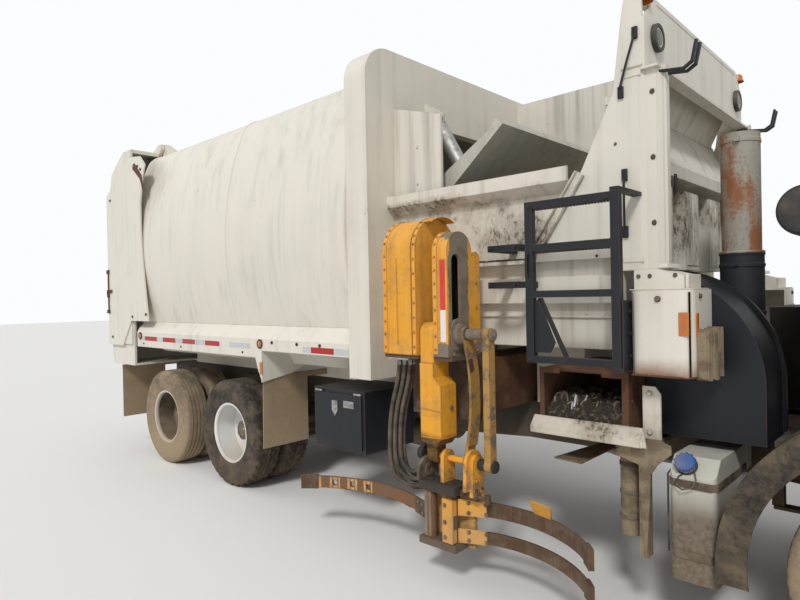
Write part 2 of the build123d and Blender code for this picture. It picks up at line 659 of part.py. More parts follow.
def body_shell():
    """The load body: a barrel-sided tube with long sills and the tailgate's hinge ears."""
    length = BODY_FRONT_X - BODY_REAR_X
    shell = extrude(body_section(BODY_REAR_X, 0), amount=length, dir=(1, 0, 0))
    hollow = extrude(body_section(BODY_REAR_X - 1, BODY_WALL), amount=length + 2, dir=(1, 0, 0))
    shell -= hollow
    sill = block(BODY_REAR_X + 40, HOPPER_FRONT_X + 100, RAIL_Y - 100, RAIL_Y, RAIL_TOP, BODY_FLOOR_Z)
    sill -= block(BEAM_X0 - 60, BEAM_X1 + 60, 0, 2000, RAIL_TOP - 1, BODY_FLOOR_Z + 1)
    sill -= block(WHEELBASE - 1860, WHEELBASE - 1100, 0, 2000, RAIL_TOP - 1, BODY_FLOOR_Z + 1)
    shell += both_sides(sill)
    for side in (-1, 1):
        y = side * HINGE_EAR_Y
        ear = side_profile([(BODY_REAR_X + 20, BODY_EAVE_Z + 60), (BODY_REAR_X + 330, BODY_EAVE_Z + 60),
                            (BODY_REAR_X + 330, GATE_TOP_Z),
                            (GATE_HINGE_X + 60, GATE_HINGE_Z + 40), (GATE_HINGE_X - 20, GATE_HINGE_Z + 50),
                            (GATE_HINGE_X - 35, GATE_HINGE_Z - 30)],
                           y - 0.5 * HINGE_EAR_W, y + 0.5 * HINGE_EAR_W)
        ear -= hollow
        shell += ear
        shell -= bar((GATE_HINGE_X, y - 200, GATE_HINGE_Z), (GATE_HINGE_X, y + 200, GATE_HINGE_Z),
                     HINGE_PIN_R + PIN_GAP)
    return shell


def arch_outline(x, half, low, top, shoulder):
    """A square-footed arch with rounded shoulders, drawn at station x."""
    k = shoulder * (1 - math.sqrt(0.5))
    edges = [Line((x, -half, low), (x, half, low)), Line((x, half, low), (x, half, top - shoulder)),
             ThreePointArc((x, half, top - shoulder), (x, half - k, top - k), (x, half - shoulder, top)),
             Line((x, half - shoulder, top), (x, shoulder - half, top)),
             ThreePointArc((x, shoulder - half, top), (x, k - half, top - k), (x, -half, top - shoulder)),
             Line((x, -half, top - shoulder), (x, -half, low))]
    return make_face(edges)


def collar():
    """The heavy arch between the body and the hopper."""
    x0 = COLLAR_X0
    arch = extrude(arch_outline(x0, COLLAR_Y, COLLAR_LOW_Z, COLLAR_TOP_Z, COLLAR_SHOULDER_R),
                   amount=COLLAR_DEPTH, dir=(1, 0, 0))
    mouth = block(x0 - 1, x0 + COLLAR_DEPTH + 1, -COLLAR_MOUTH_Y, COLLAR_MOUTH_Y, COLLAR_MOUTH_LOW_Z,
                  COLLAR_MOUTH_TOP_Z)
    arch -= mouth
    under = block(x0 - 1, x0 + COLLAR_DEPTH + 1, -COLLAR_MOUTH_Y, COLLAR_MOUTH_Y, 0, BODY_FLOOR_Z)
    arch -= under
    lip = block(x0 + 150, x0 + COLLAR_DEPTH, -COLLAR_MOUTH_Y, COLLAR_MOUTH_Y, COLLAR_MOUTH_TOP_Z - 60,
                COLLAR_MOUTH_TOP_Z)
    return arch + lip


RAIL_SHELF_Y = 1220.0
RAIL_SHELF_T = 12.0
GUSSET_X = 1960.0


def side_rails():
    """The shelf along each side of the body, turned down as a mudguard over the twin axles."""
    x0 = BODY_REAR_X + 60
    apron_z = BODY_SHELF_Z - 300
    apron_top_z = apron_z + 100
    gusset_z = apron_z - 225
    inner_y = RAIL_SHELF_Y - RAIL_SHELF_T
    shelf = cross_profile([(BODY_LOW_Y - 6, BODY_SHELF_Z - 2), (RAIL_SHELF_Y - 30, BODY_SHELF_Z - 75),
                           (RAIL_SHELF_Y, BODY_SHELF_Z - 125), (RAIL_SHELF_Y, apron_z + 70),
                           (inner_y, apron_z + 62), (inner_y, BODY_SHELF_Z - 140),
                           (BODY_LOW_Y - 42, BODY_SHELF_Z - 120)], x0, BODY_FRONT_X)
    shelf -= body_filled()
    apron = block(x0, GUSSET_X, inner_y, RAIL_SHELF_Y, apron_z, apron_top_z)
    gusset = side_profile([(GUSSET_X - 150, apron_top_z), (GUSSET_X, apron_top_z), (GUSSET_X, gusset_z),
                           (GUSSET_X - 60, apron_z - 120)], inner_y, RAIL_SHELF_Y)
    web = cross_profile([(RAIL_SHELF_Y, apron_z + 60), (RAIL_SHELF_Y, gusset_z),
                         (BODY_FLOOR_Y + 20, gusset_z + 55), (BODY_FLOOR_Y - 160, BODY_FLOOR_Z - 20),
                         (BODY_FLOOR_Y - 160, BODY_FLOOR_Z), (BODY_FLOOR_Y + 120, apron_top_z),
                         (BODY_LOW_Y - 60, BODY_SHELF_Z - 100)], GUSSET_X - RAIL_SHELF_T, GUSSET_X)
    web -= body_filled()
    return both_sides(shelf + apron + gusset + web)


def body_filled():
    """The body's outline as one solid, for cutting what seats against it."""
    return extrude(body_section(BODY_REAR_X, 0), amount=BODY_FRONT_X - BODY_REAR_X, dir=(1, 0, 0))


FLAP_T = 10.0


def mudflaps():
    """Rubber flaps ahead of and behind the twin axles, with their carrying bars."""
    pieces = []
    bar_z = 1120.0
    web_x = 1948.0
    front = cross_profile([(1200, bar_z), (1210, 460), (690, 460), (690, bar_z)], web_x - FLAP_T, web_x)
    front += block(web_x - FLAP_T - 40, web_x - FLAP_T, RAIL_Y, 1190, bar_z - 45, bar_z + 5)
    pieces.append(front)
    back_x = RAIL_REAR_X + 95
    back = block(back_x, back_x + FLAP_T, 640, 1200, 380, RAIL_TOP)
    back += block(back_x - 30, back_x, RAIL_Y, 1190, RAIL_TOP - 50, RAIL_TOP)
    pieces.append(back)
    return both_sides(join(pieces))


def gate_outline(inset):
    """The tailgate's side outline, set in by inset."""
    return [(BODY_REAR_X - 8, GATE_LOW_Z + inset), (BODY_REAR_X - 8, GATE_TOP_Z - inset),
            (-1010, GATE_TOP_Z - inset), (-1330 + inset, GATE_TOP_Z - 210 - 0.6 * inset),
            (-1450 + inset, 3100), (-1450 + inset, 1500),
            (-1360 + inset, GATE_LOW_Z + inset)]


def tailgate():
    """The hollow rear door with its bulged panel, side plates, ribs and hinge knuckles."""
    front = BODY_REAR_X - 8
    shell = side_profile(gate_outline(0), -GATE_Y, GATE_Y)
    bulge = side_profile([(-1400, 1800), (-1850, 1950), (GATE_BULGE_X, 2150), (GATE_BULGE_X, 2650),
                          (-1860, 2880), (-1400, 3020)], -GATE_BULGE_Y, GATE_BULGE_Y)
    shell += bulge
    hollow = side_profile(gate_outline(GATE_WALL), -GATE_Y + GATE_WALL, GATE_Y - GATE_WALL)
    mouth = block(front - GATE_WALL, front + 1, -GATE_Y + GATE_WALL, GATE_Y - GATE_WALL,
                  GATE_LOW_Z + GATE_WALL, GATE_TOP_Z - GATE_WALL)
    inner_bulge = side_profile([(-1390, 1835), (-1835, 1985), (GATE_BULGE_X + GATE_WALL, 2160),
                                (GATE_BULGE_X + GATE_WALL, 2640), (-1845, 2850), (-1390, 2985)],
                               -GATE_BULGE_Y + GATE_WALL, GATE_BULGE_Y - GATE_WALL)
    shell = shell - hollow - mouth - inner_bulge
    plate_y = BODY_BULGE_Y + MOVE_GAP
    plate_t = 16.0
    for side in (-1, 1):
        inner = min(side * plate_y, side * (plate_y + plate_t))
        plate = side_profile([(front, 1610), (-280, 1610), (-330, 1900), (-390, 2300), (-430, 2700),
                              (-430, 3000), (-360, 3300), (-290, 3440), (-420, 3560), (front, 3600),
                              (-1420, 3200), (-1420, 1300), (-1000, 1300)], inner, inner + plate_t)
        shell += plate
        spacer0 = min(side * GATE_Y, side * plate_y)
        spacer1 = max(side * GATE_Y, side * plate_y)
        shell += block(-1400, front - 20, spacer0, spacer1, 1320, 3180)
        y = side * HINGE_EAR_Y
        for offset in (-1, 1):
            near = y + offset * (0.5 * HINGE_EAR_W + MOVE_GAP)
            far = near + offset * 40
            knuckle_plate = side_profile([(front - 150, GATE_TOP_Z - 30), (front - 20, GATE_TOP_Z - 30),
                                          (GATE_HINGE_X + 40, GATE_HINGE_Z - 20),
                                          (GATE_HINGE_X + 30, GATE_HINGE_Z + 40),
                                          (GATE_HINGE_X - 50, GATE_HINGE_Z + 40),
                                          (front - 250, GATE_TOP_Z)], min(near, far), max(near, far))
            shell += knuckle_plate
        reach = 0.5 * HINGE_EAR_W + MOVE_GAP + 40
        shell += bar((GATE_HINGE_X, y - reach, GATE_HINGE_Z), (GATE_HINGE_X, y + reach, GATE_HINGE_Z),
                     HINGE_PIN_R)
    for z in (1520.0, 1660.0):
        shell += block(-1500, -1400, -GATE_Y + 40, GATE_Y - 40, z, z + 90)
    return shell


# Hopper

def hopper_walls():
    """The open hopper: floor, low right wall with its sill, high left wall and front wall."""
    x0 = COLLAR_X0 + COLLAR_DEPTH
    x1 = HOPPER_FRONT_X
    t = HOPPER_WALL
    inner = HOPPER_Y - t
    floor = block(x0, x1, -HOPPER_Y, HOPPER_Y, HOPPER_FLOOR_Z, HOPPER_FLOOR_Z + t)
    near = block(x0, x1, -HOPPER_Y, -inner, HOPPER_FLOOR_Z, SILL_Z - 130)
    near += cross_profile([(-inner, SILL_Z - 150), (-HOPPER_Y, SILL_Z - 150), (-1010, SILL_Z - 90),
                           (-1010, SILL_Z), (-1010 + t, SILL_Z), (-1010 + t, SILL_Z - 82)], x0,
                           WHEELBASE - 1670)
    near += block(x0, WHEELBASE - 1920, -1000, -HOPPER_Y, 2035, 2060)
    near += both_sides(block(WHEELBASE - 1880, x1, HOPPER_Y, POST_Y - 14, 2100, 2130))
    near += both_sides(block(WHEELBASE - 1440, x1, HOPPER_Y, POST_Y - 14, 2940, 2990))
    far = block(x0, x1, inner, HOPPER_Y, HOPPER_FLOOR_Z, FAR_RAIL_Z)
    far += cross_profile([(HOPPER_Y, FAR_RAIL_Z), (HOPPER_Y + 100, FAR_RAIL_Z),
                          (HOPPER_Y + 100, FAR_RAIL_Z - 90),
                          (HOPPER_Y, FAR_RAIL_Z - 130)], x0, x1 - 120)
    for x in (x0 + 300, x0 + 700, x0 + 1100):
        far += block(x, x + 80, HOPPER_Y, HOPPER_Y + 60, HOPPER_FLOOR_Z + 60, FAR_RAIL_Z - 120)
    lower = block(x1 - t, x1, -inner, inner, HOPPER_FLOOR_Z + t, 2560)
    ledge = side_profile([(x1 - t, 2540), (x1 + 170, 2560), (x1 + 170, 2640), (x1 - t, 2680)], -inner, inner)
    slope = side_profile([(x1 + 150, 2640), (x1 + 170, 2640), (x1 - 10, 2990), (x1 - 30, 2990)],
                         -inner, inner)
    top = side_profile([(x1 - 30, 2985), (x1 - 5, 2985), (x1 + 160, 3320), (x1 + 135, 3330)], -inner, inner)
    front = lower + ledge + slope + top
    for y in (-560.0, -60.0, 440.0):
        front += block(x1, x1 + 150, y - 130, y + 130, 1980, 2500)
    feet = None
    for side in (-1, 1):
        y0 = min(side * 330, side * RAIL_Y)
        y1 = max(side * 330, side * RAIL_Y)
        for x_start, x_end in ((x0 + 40, BEAM_X0 - 60), (BEAM_X1 + 60, WHEELBASE - 1860)):
            foot = block(x_start, x_end, y0, y1, BODY_FLOOR_Z, HOPPER_FLOOR_Z)
            feet = foot if feet is None else feet + foot
    return floor + near + far + front + feet


def header_frame():
    """The front portal: folded posts, the header beam, the side sheets and their flange."""
    x0 = POST_REAR_X
    x1 = POST_FRONT_X
    fold = 30.0
    web = 14.0
    pieces = []
    for side in (-1, 1):
        outer = side * POST_Y
        inner = side * HOPPER_Y
        plan = [(x0, inner), (x0, outer), (x1 - 90, outer), (x1 - 60, outer - side * fold),
                (x1, outer - side * fold), (x1 + 40, outer - side * 75), (x1 + 40, inner - side * 60),
                (x1 + 26, inner - side * 60), (x1 + 26, inner), (x1 - 20, inner)]
        pieces.append(plan_profile(plan, POST_LOW_Z, HEADER_Z0 + 20))
        sheet = [(WHEELBASE - 1910, 2045), (WHEELBASE - 1885, 2155), (WHEELBASE - 1585, 2585),
                 (WHEELBASE - 1385, 3000), (x0 + 20, 3420), (x0 + 40, HEADER_TOP_Z),
                 (x1 - 60, HEADER_TOP_Z), (x1 - 60, HEADER_Z0), (x0 + 10, HEADER_Z0), (x0 + 10, 2045)]
        y_sheet = (min(outer, outer - side * web), max(outer, outer - side * web))
        pieces.append(side_profile(sheet, *y_sheet))
    half = POST_Y
    header = cross_profile([(-half, HEADER_Z0), (-half, HEADER_TOP_Z - HEADER_CHAMFER),
                            (-half + HEADER_CHAMFER, HEADER_TOP_Z), (half - HEADER_CHAMFER, HEADER_TOP_Z),
                            (half, HEADER_TOP_Z - HEADER_CHAMFER), (half, HEADER_Z0)], x1 - 60, x1 - 60 + web)
    lip_x = x1 - 60
    header += block(lip_x, lip_x + HEADER_T, -half, half, HEADER_Z0, HEADER_Z0 + web)
    header += block(lip_x - 80, lip_x, -half + HEADER_CHAMFER, half - HEADER_CHAMFER, HEADER_TOP_Z - web,
                    HEADER_TOP_Z)
    for y in (-820.0, 820.0):
        header += bar((lip_x, y, HEADER_Z0 + 210), (lip_x + web + 22, y, HEADER_Z0 + 210), 66)
    pieces.append(header)
    return join(pieces)


CORNER_X0 = WHEELBASE - 1215.0
CORNER_X1 = WHEELBASE - 895.0
CORNER_Z0 = 1400.0
CORNER_Z1 = 1850.0


def corner_boxes():
    """The rounded corner panels under each post, with a raised rear ledge."""
    outer = DUAL_FACE_Y
    inner = 640.0
    wall = 14.0
    shell = block(CORNER_X0, CORNER_X1, -outer, -inner, CORNER_Z0, CORNER_Z1)
    shell = fillet(shell.edges().filter_by(Axis.Z).sort_by(Axis.X)[-1], 20)
    shell = fillet(shell.edges().filter_by(Axis.Z).group_by(Axis.Y)[0], 60)
    hollow = block(CORNER_X0 + wall, CORNER_X1 - wall, -outer + wall, -inner + 1, CORNER_Z0 - 1,
                   CORNER_Z1 - wall)
    shell -= hollow
    cover_clear = block(COVER_X - 20, CORNER_X1 + 100, -COVER_Y, -500, 0, 3000)
    shell -= cover_clear
    ledge = side_profile([(CORNER_X0, CORNER_Z1), (CORNER_X0, POST_LOW_Z), (POST_FRONT_X + 50, POST_LOW_Z),
                          (CORNER_X1 - 60, POST_LOW_Z - 40),
                          (CORNER_X1 - 60, CORNER_Z1)], -outer + 80, -COVER_Y)
    return both_sides(shell + ledge)


def reach_housing():
    """The cross tube that the reach beam slides in, and the square trough ahead of it."""
    x0 = BEAM_X0 - MOVE_GAP - HOUSING_WALL
    x1 = BEAM_X1 + MOVE_GAP + HOUSING_WALL
    z0 = RAIL_TOP
    z1 = RAIL_TOP + BEAM_H + 2 * (MOVE_GAP + HOUSING_WALL)
    y0 = HOUSING_MOUTH_Y
    y1 = BEAM_INNER_Y + 60
    tube = block(x0, x1, y0, y1, z0, z1)
    tube -= block(x0 + HOUSING_WALL, x1 - HOUSING_WALL, y0 - 1, y1 - HOUSING_WALL, z0 + HOUSING_WALL,
                  z1 - HOUSING_WALL)
    pad = MOVE_GAP - SEAT_GAP
    for ya in (y0 + 10, y0 + 900):
        tube += block(x0 + HOUSING_WALL + 40, x1 - HOUSING_WALL - 40, ya, ya + 120, z0 + HOUSING_WALL,
                      z0 + HOUSING_WALL + pad)
        tube += block(x0 + HOUSING_WALL + 40, x1 - HOUSING_WALL - 40, ya, ya + 120, z1 - HOUSING_WALL - pad,
                      z1 - HOUSING_WALL)
    trough_wall = 16.0
    trough = block(WHEELBASE - 1800, WHEELBASE - 1260, -1130, -RAIL_Y + 90, RAIL_TOP, 1395)
    trough -= block(WHEELBASE - 1800 + trough_wall, WHEELBASE - 1260 - trough_wall, -1131, -RAIL_Y,
                    RAIL_TOP + trough_wall,
                    1395 - trough_wall)
    ledge = block(WHEELBASE - 1840, WHEELBASE - 1180, -1190, -1100, RAIL_TOP - 30, RAIL_TOP)
    return tube + (trough + ledge)


GUARD_Y = -1290.0
GUARD_BAR = 40.0
GATE_X0 = WHEELBASE - 1800.0
GATE_X1 = WHEELBASE - 1228.0
GATE_Z0 = 1440.0
GATE_Z1 = 2380.0


def side_guard():
    """The fixed black bars beside the hopper and the eyes that carry the side gate."""
    x_end = GATE_X1
    y1 = GUARD_Y + GUARD_BAR
    pieces = []
    for z in (1880.0, 2110.0):
        pieces.append(block(WHEELBASE - 2120, WHEELBASE - 1900, y1 + 40, y1 + 80, z, z + 40))
        pieces.append(block(WHEELBASE - 2120, WHEELBASE - 2080, y1 + 80, -HOPPER_Y, z, z + 40))
        pieces.append(block(WHEELBASE - 1940, WHEELBASE - 1900, y1 + 80, -HOPPER_Y, z, z + 40))
    stile = 50.0
    low = block(x_end - stile, CORNER_X0, GUARD_Y, -1100, GATE_Z0 - 22 - 0.5, GATE_Z0 - 0.5)
    high = block(x_end - stile, x_end, GUARD_Y, -POST_Y, GATE_Z1 + 0.5, GATE_Z1 + 22.5)
    pieces.append(low)
    pieces.append(high)
    return join(pieces)


def side_gate():
    """The hinged black gate: two stiles and four rails."""
    y0 = GUARD_Y
    y1 = GUARD_Y + GUARD_BAR
    stile = 50.0
    gate = block(GATE_X1 - stile, GATE_X1, y0, y1, GATE_Z0, GATE_Z1)
    gate += block(GATE_X0, GATE_X0 + stile, y0, y1, GATE_Z0, GATE_Z1)
    for z in (GATE_Z0, 1820.0, 2090.0, GATE_Z1 - GUARD_BAR):
        gate += block(GATE_X0, GATE_X1, y0, y1, z, z + GUARD_BAR)
    return gate


# Crusher panel

CRUSHER_PIVOT_X = WHEELBASE - 3100.0
CRUSHER_PIVOT_Z = 2290.0
CRUSHER_LENGTH = 1140.0
CRUSHER_ANGLE = 40.0
CRUSHER_Y = 850.0
CRUSHER_T = 30.0
CRUSHER_LUG_S = 520.0
CRUSHER_EYE_H = 110.0
CRUSHER_PIN_R = 28.0
RAM_Y = 480.0
RAM_TOP_X = WHEELBASE - 3125.0
RAM_TOP_Z = 3320.0


def crusher_point(along, above):
    """A point on the raised crusher panel: along it from its pivot, and above its face."""
    a = math.radians(CRUSHER_ANGLE)
    return (CRUSHER_PIVOT_X + along * math.cos(a) - above * math.sin(a),
            CRUSHER_PIVOT_Z + along * math.sin(a) + above * math.cos(a))


def crusher_panel():
    """The hinged plate that presses the load back, with its ribs, lugs and pivot tube."""
    outline = [crusher_point(0, 0), crusher_point(CRUSHER_LENGTH, 0),
               crusher_point(CRUSHER_LENGTH, CRUSHER_T),
               crusher_point(0, CRUSHER_T)]
    panel = side_profile(outline, -CRUSHER_Y, CRUSHER_Y)
    edge = [crusher_point(CRUSHER_LENGTH - 60, CRUSHER_T), crusher_point(CRUSHER_LENGTH, CRUSHER_T),
            crusher_point(CRUSHER_LENGTH, CRUSHER_T + 45), crusher_point(CRUSHER_LENGTH - 60, CRUSHER_T + 45)]
    panel += side_profile(edge, -CRUSHER_Y, CRUSHER_Y)
    panel += bar((CRUSHER_PIVOT_X, -CRUSHER_Y, CRUSHER_PIVOT_Z),
                 (CRUSHER_PIVOT_X, CRUSHER_Y, CRUSHER_PIVOT_Z), 46)
    rib = [crusher_point(20, CRUSHER_T - 1), crusher_point(CRUSHER_LENGTH - 60, CRUSHER_T - 1),
           crusher_point(CRUSHER_LENGTH - 90, CRUSHER_T + 40),
           crusher_point(CRUSHER_LUG_S + 60, CRUSHER_EYE_H + 35),
           crusher_point(CRUSHER_LUG_S - 60, CRUSHER_EYE_H + 35), crusher_point(60, CRUSHER_T + 40)]
    for y in (-CRUSHER_Y + 20, -RAM_Y - 75, -RAM_Y + 45, RAM_Y - 75, RAM_Y + 45, CRUSHER_Y - 50):
        panel += side_profile(rib, y, y + 30)
    for side in (-1, 1):
        inner = side * (CRUSHER_Y - 90)
        outer = side * (CRUSHER_Y + 1)
        panel -= bar((CRUSHER_PIVOT_X, inner, CRUSHER_PIVOT_Z), (CRUSHER_PIVOT_X, outer, CRUSHER_PIVOT_Z),
                     CRUSHER_PIN_R + PIN_GAP)
    return panel


def crusher_pins():
    """Pivot pins that carry the crusher panel between the hopper's walls."""
    inner = HOPPER_Y - HOPPER_WALL
    return bar((CRUSHER_PIVOT_X, CRUSHER_Y - 85, CRUSHER_PIVOT_Z),
               (CRUSHER_PIVOT_X, inner, CRUSHER_PIVOT_Z), CRUSHER_PIN_R)


def ram_line():
    """The top pin, the eye on the panel and the unit way between them, in the side plane."""
    eye = crusher_point(CRUSHER_LUG_S, CRUSHER_EYE_H)
    way_x = eye[0] - RAM_TOP_X
    way_z = eye[1] - RAM_TOP_Z
    length = math.hypot(way_x, way_z)
    return eye, (way_x / length, way_z / length), length


RAM_BARREL_R = 62.0
RAM_ROD_R = 32.0
RAM_BARREL_LENGTH = 600.0
RAM_NECK = 105.0
RAM_BORE = 125.0


def crusher_barrels():
    """The two hydraulic cylinder barrels that push the crusher panel."""
    eye, way, length = ram_line()
    pieces = []
    for y in (-RAM_Y, RAM_Y):
        end = (RAM_TOP_X + way[0] * RAM_BARREL_LENGTH, y, RAM_TOP_Z + way[1] * RAM_BARREL_LENGTH)
        start = (RAM_TOP_X + way[0] * RAM_NECK, y, RAM_TOP_Z + way[1] * RAM_NECK)
        barrel = bar(start, end, RAM_BARREL_R)
        barrel += bar((RAM_TOP_X, y, RAM_TOP_Z), start, 36)
        barrel -= bar((RAM_TOP_X + way[0] * RAM_BORE, y, RAM_TOP_Z + way[1] * RAM_BORE),
                      (end[0] + way[0], y, end[2] + way[1]), RAM_ROD_R + PIN_GAP)
        barrel += bar((RAM_TOP_X, y - 38, RAM_TOP_Z), (RAM_TOP_X, y + 38, RAM_TOP_Z), 46)
        pieces.append(barrel)
    return join(pieces)


def crusher_rods():
    """The rods of the two cylinders, each with its eye."""
    eye, way, length = ram_line()
    pieces = []
    for y in (-RAM_Y, RAM_Y):
        start = (RAM_TOP_X + way[0] * (RAM_BORE + 5), y, RAM_TOP_Z + way[1] * (RAM_BORE + 5))
        rod = bar(start, (eye[0], y, eye[1]), RAM_ROD_R)
        rod += bar((eye[0], y - 34, eye[1]), (eye[0], y + 34, eye[1]), 38)
        pieces.append(rod)
    return join(pieces)


def ram_brackets():
    """Ears under the collar's lip that hold the barrels' top eyes."""
    x0 = COLLAR_X0 + COLLAR_DEPTH
    pieces = []
    for y in (-RAM_Y, RAM_Y):
        for offset in (-1, 1):
            near = y + offset * (38 + SEAT_GAP)
            far = near + offset * 22
            pieces.append(side_profile([(x0, RAM_TOP_Z - 40), (RAM_TOP_X + 40, RAM_TOP_Z - 35),
                                        (RAM_TOP_X + 50, RAM_TOP_Z + 40), (x0, RAM_TOP_Z + 130)],
                                       min(near, far), max(near, far)))
    return join(pieces)


# Arm

def reach_beam():
    """The beam that slides out, its foot plate, the shelves under the mast and the hose block."""
    z0 = RAIL_TOP + HOUSING_WALL + MOVE_GAP
    z1 = z0 + BEAM_H
    foot_y1 = HOUSING_MOUTH_Y - 20
    foot_y0 = foot_y1 - 30
    beam = block(BEAM_X0, BEAM_X1, foot_y1, BEAM_INNER_Y, z0, z1)
    beam -= block(BEAM_X0 + 20, BEAM_X1 - 20, foot_y1 - 1, BEAM_INNER_Y + 1, z0 + 20, z1 - 20)
    foot = block(CASING_X0, MAST_X1 + 20, foot_y0, foot_y1, 1010, MAST_LOW_Z)
    shelf = block(CASING_X0, CASING_X1, ARM_FACE_Y + 10, foot_y0, MAST_LOW_Z - 25, MAST_LOW_Z)
    shelf += block(MAST_X0, MAST_X1 + 20, ARM_FACE_Y + 10, foot_y0, MAST_LOW_Z - 25, MAST_LOW_Z)
    manifold = block(CASING_X0 + 155, CASING_X0 + 285, foot_y0 - 110, foot_y0, HOSE_END_Z, 1110)
    return beam + foot + shelf + manifold


def rounded_top(x0, x1, y0, y1, z0, z1):
    """A flat case in the arm's plane with a half-round top."""
    radius = 0.5 * (y1 - y0)
    middle = 0.5 * (y0 + y1)
    case = block(x0, x1, y0, y1, z0, z1 - radius)
    return case + bar((x0, middle, z1 - radius), (x1, middle, z1 - radius), radius)


def mast_casing():
    """The rear case of the mast with its bolted edge cover."""
    case = rounded_top(CASING_X0, CASING_X1, ARM_FACE_Y, -1020, MAST_LOW_Z, CASING_TOP_Z)
    seam = 12.0
    groove_x = CASING_X1 - 45
    cutter = rounded_top(groove_x, groove_x + seam, ARM_FACE_Y - 1, -1019, MAST_LOW_Z - 1, CASING_TOP_Z + 1)
    cutter -= rounded_top(groove_x - 1, groove_x + seam + 1, ARM_FACE_Y + 8, -1028, MAST_LOW_Z - 1,
                          CASING_TOP_Z - 8)
    return case - cutter


def slot_mast():
    """The slotted mast that guides the lifting carriage, with the plate behind it."""
    y1 = -1195.0
    mast = rounded_top(MAST_X0, MAST_X1, ARM_FACE_Y, y1, MAST_LOW_Z, MAST_TOP_Z)
    wall = 18.0
    inner = rounded_top(MAST_X0 + wall, MAST_X1 - wall, ARM_FACE_Y + wall, y1 - wall, MAST_LOW_Z - 1,
                        MAST_TOP_Z - wall)
    mast -= inner
    slot_low = ARM_PIVOT_Z - 55
    slot_top = ARM_PIVOT_Z + LIFT_SLIDE + 60
    mast -= block(MAST_X0 - 1, MAST_X1 + 1, ARM_PIVOT_Y - 0.5 * SLOT_W, ARM_PIVOT_Y + 0.5 * SLOT_W, slot_low,
                  slot_top)
    for z in (slot_low, slot_top):
        mast -= bar((MAST_X0 - 1, ARM_PIVOT_Y, z), (MAST_X1 + 1, ARM_PIVOT_Y, z), 0.5 * SLOT_W)
    back = block(MAST_X0 + 40, MAST_X1, y1, -1105, MAST_LOW_Z, 2080)
    back += bar((MAST_X0 + 40, -1150, 2080), (MAST_X1, -1150, 2080), 45)
    return mast + back


PIN_END_X = WHEELBASE - 1975.0
CAP_X1 = WHEELBASE - 2208.0


def lift_carriage():
    """The slider in the mast's slot with the lifting pin and its bearing cap."""
    slider_half = 0.5 * SLOT_W - SEAT_GAP
    slider = block(MAST_X0 - 3, MAST_X1 + 3, ARM_PIVOT_Y - slider_half, ARM_PIVOT_Y + slider_half,
                   ARM_PIVOT_Z - 45, ARM_PIVOT_Z + 45)
    pin = bar((CASING_X1 + 6, ARM_PIVOT_Y, ARM_PIVOT_Z), (PIN_END_X, ARM_PIVOT_Y, ARM_PIVOT_Z), ARM_PIN_R)
    cap = bar((MAST_X1 + 3, ARM_PIVOT_Y, ARM_PIVOT_Z), (CAP_X1, ARM_PIVOT_Y, ARM_PIVOT_Z), 66)
    return slider + pin + cap


def lower_arm():
    """The box arm that hangs from the lifting pin and tapers to the wrist."""
    eye_r = 72.0
    x0 = LOWER_ARM_X0
    x1 = LOWER_ARM_X1
    wide_x = x1 + 57
    y0 = ARM_PIVOT_Y - 82
    y1 = ARM_PIVOT_Y + 78
    arm = bar((x0, ARM_PIVOT_Y, ARM_PIVOT_Z), (x1, ARM_PIVOT_Y, ARM_PIVOT_Z), eye_r)
    arm += block(x0, x1, ARM_PIVOT_Y - eye_r, ARM_PIVOT_Y + eye_r, 1400, ARM_PIVOT_Z)
    arm += side_profile([(x0, 1410), (x1, 1410), (x1, 1320), (wide_x, 1270), (wide_x, 930),
                         (wide_x - 40, 880), (x0, 900)], y0, y1)
    arm += block(x0 + 20, x1 - 10, ARM_PIVOT_Y - 45, ARM_PIVOT_Y + 45, WRIST_Z, 930)
    arm += bar((x0 + 20, ARM_PIVOT_Y, WRIST_Z), (x1 - 10, ARM_PIVOT_Y, WRIST_Z), 45)
    arm -= bar((x0 - 1, ARM_PIVOT_Y, ARM_PIVOT_Z), (x1 + 1, ARM_PIVOT_Y, ARM_PIVOT_Z), ARM_PIN_R + PIN_GAP)
    arm -= bar((x0, ARM_PIVOT_Y, WRIST_Z), (x1 + 90, ARM_PIVOT_Y, WRIST_Z), ARM_PIN_R + PIN_GAP)
    return arm


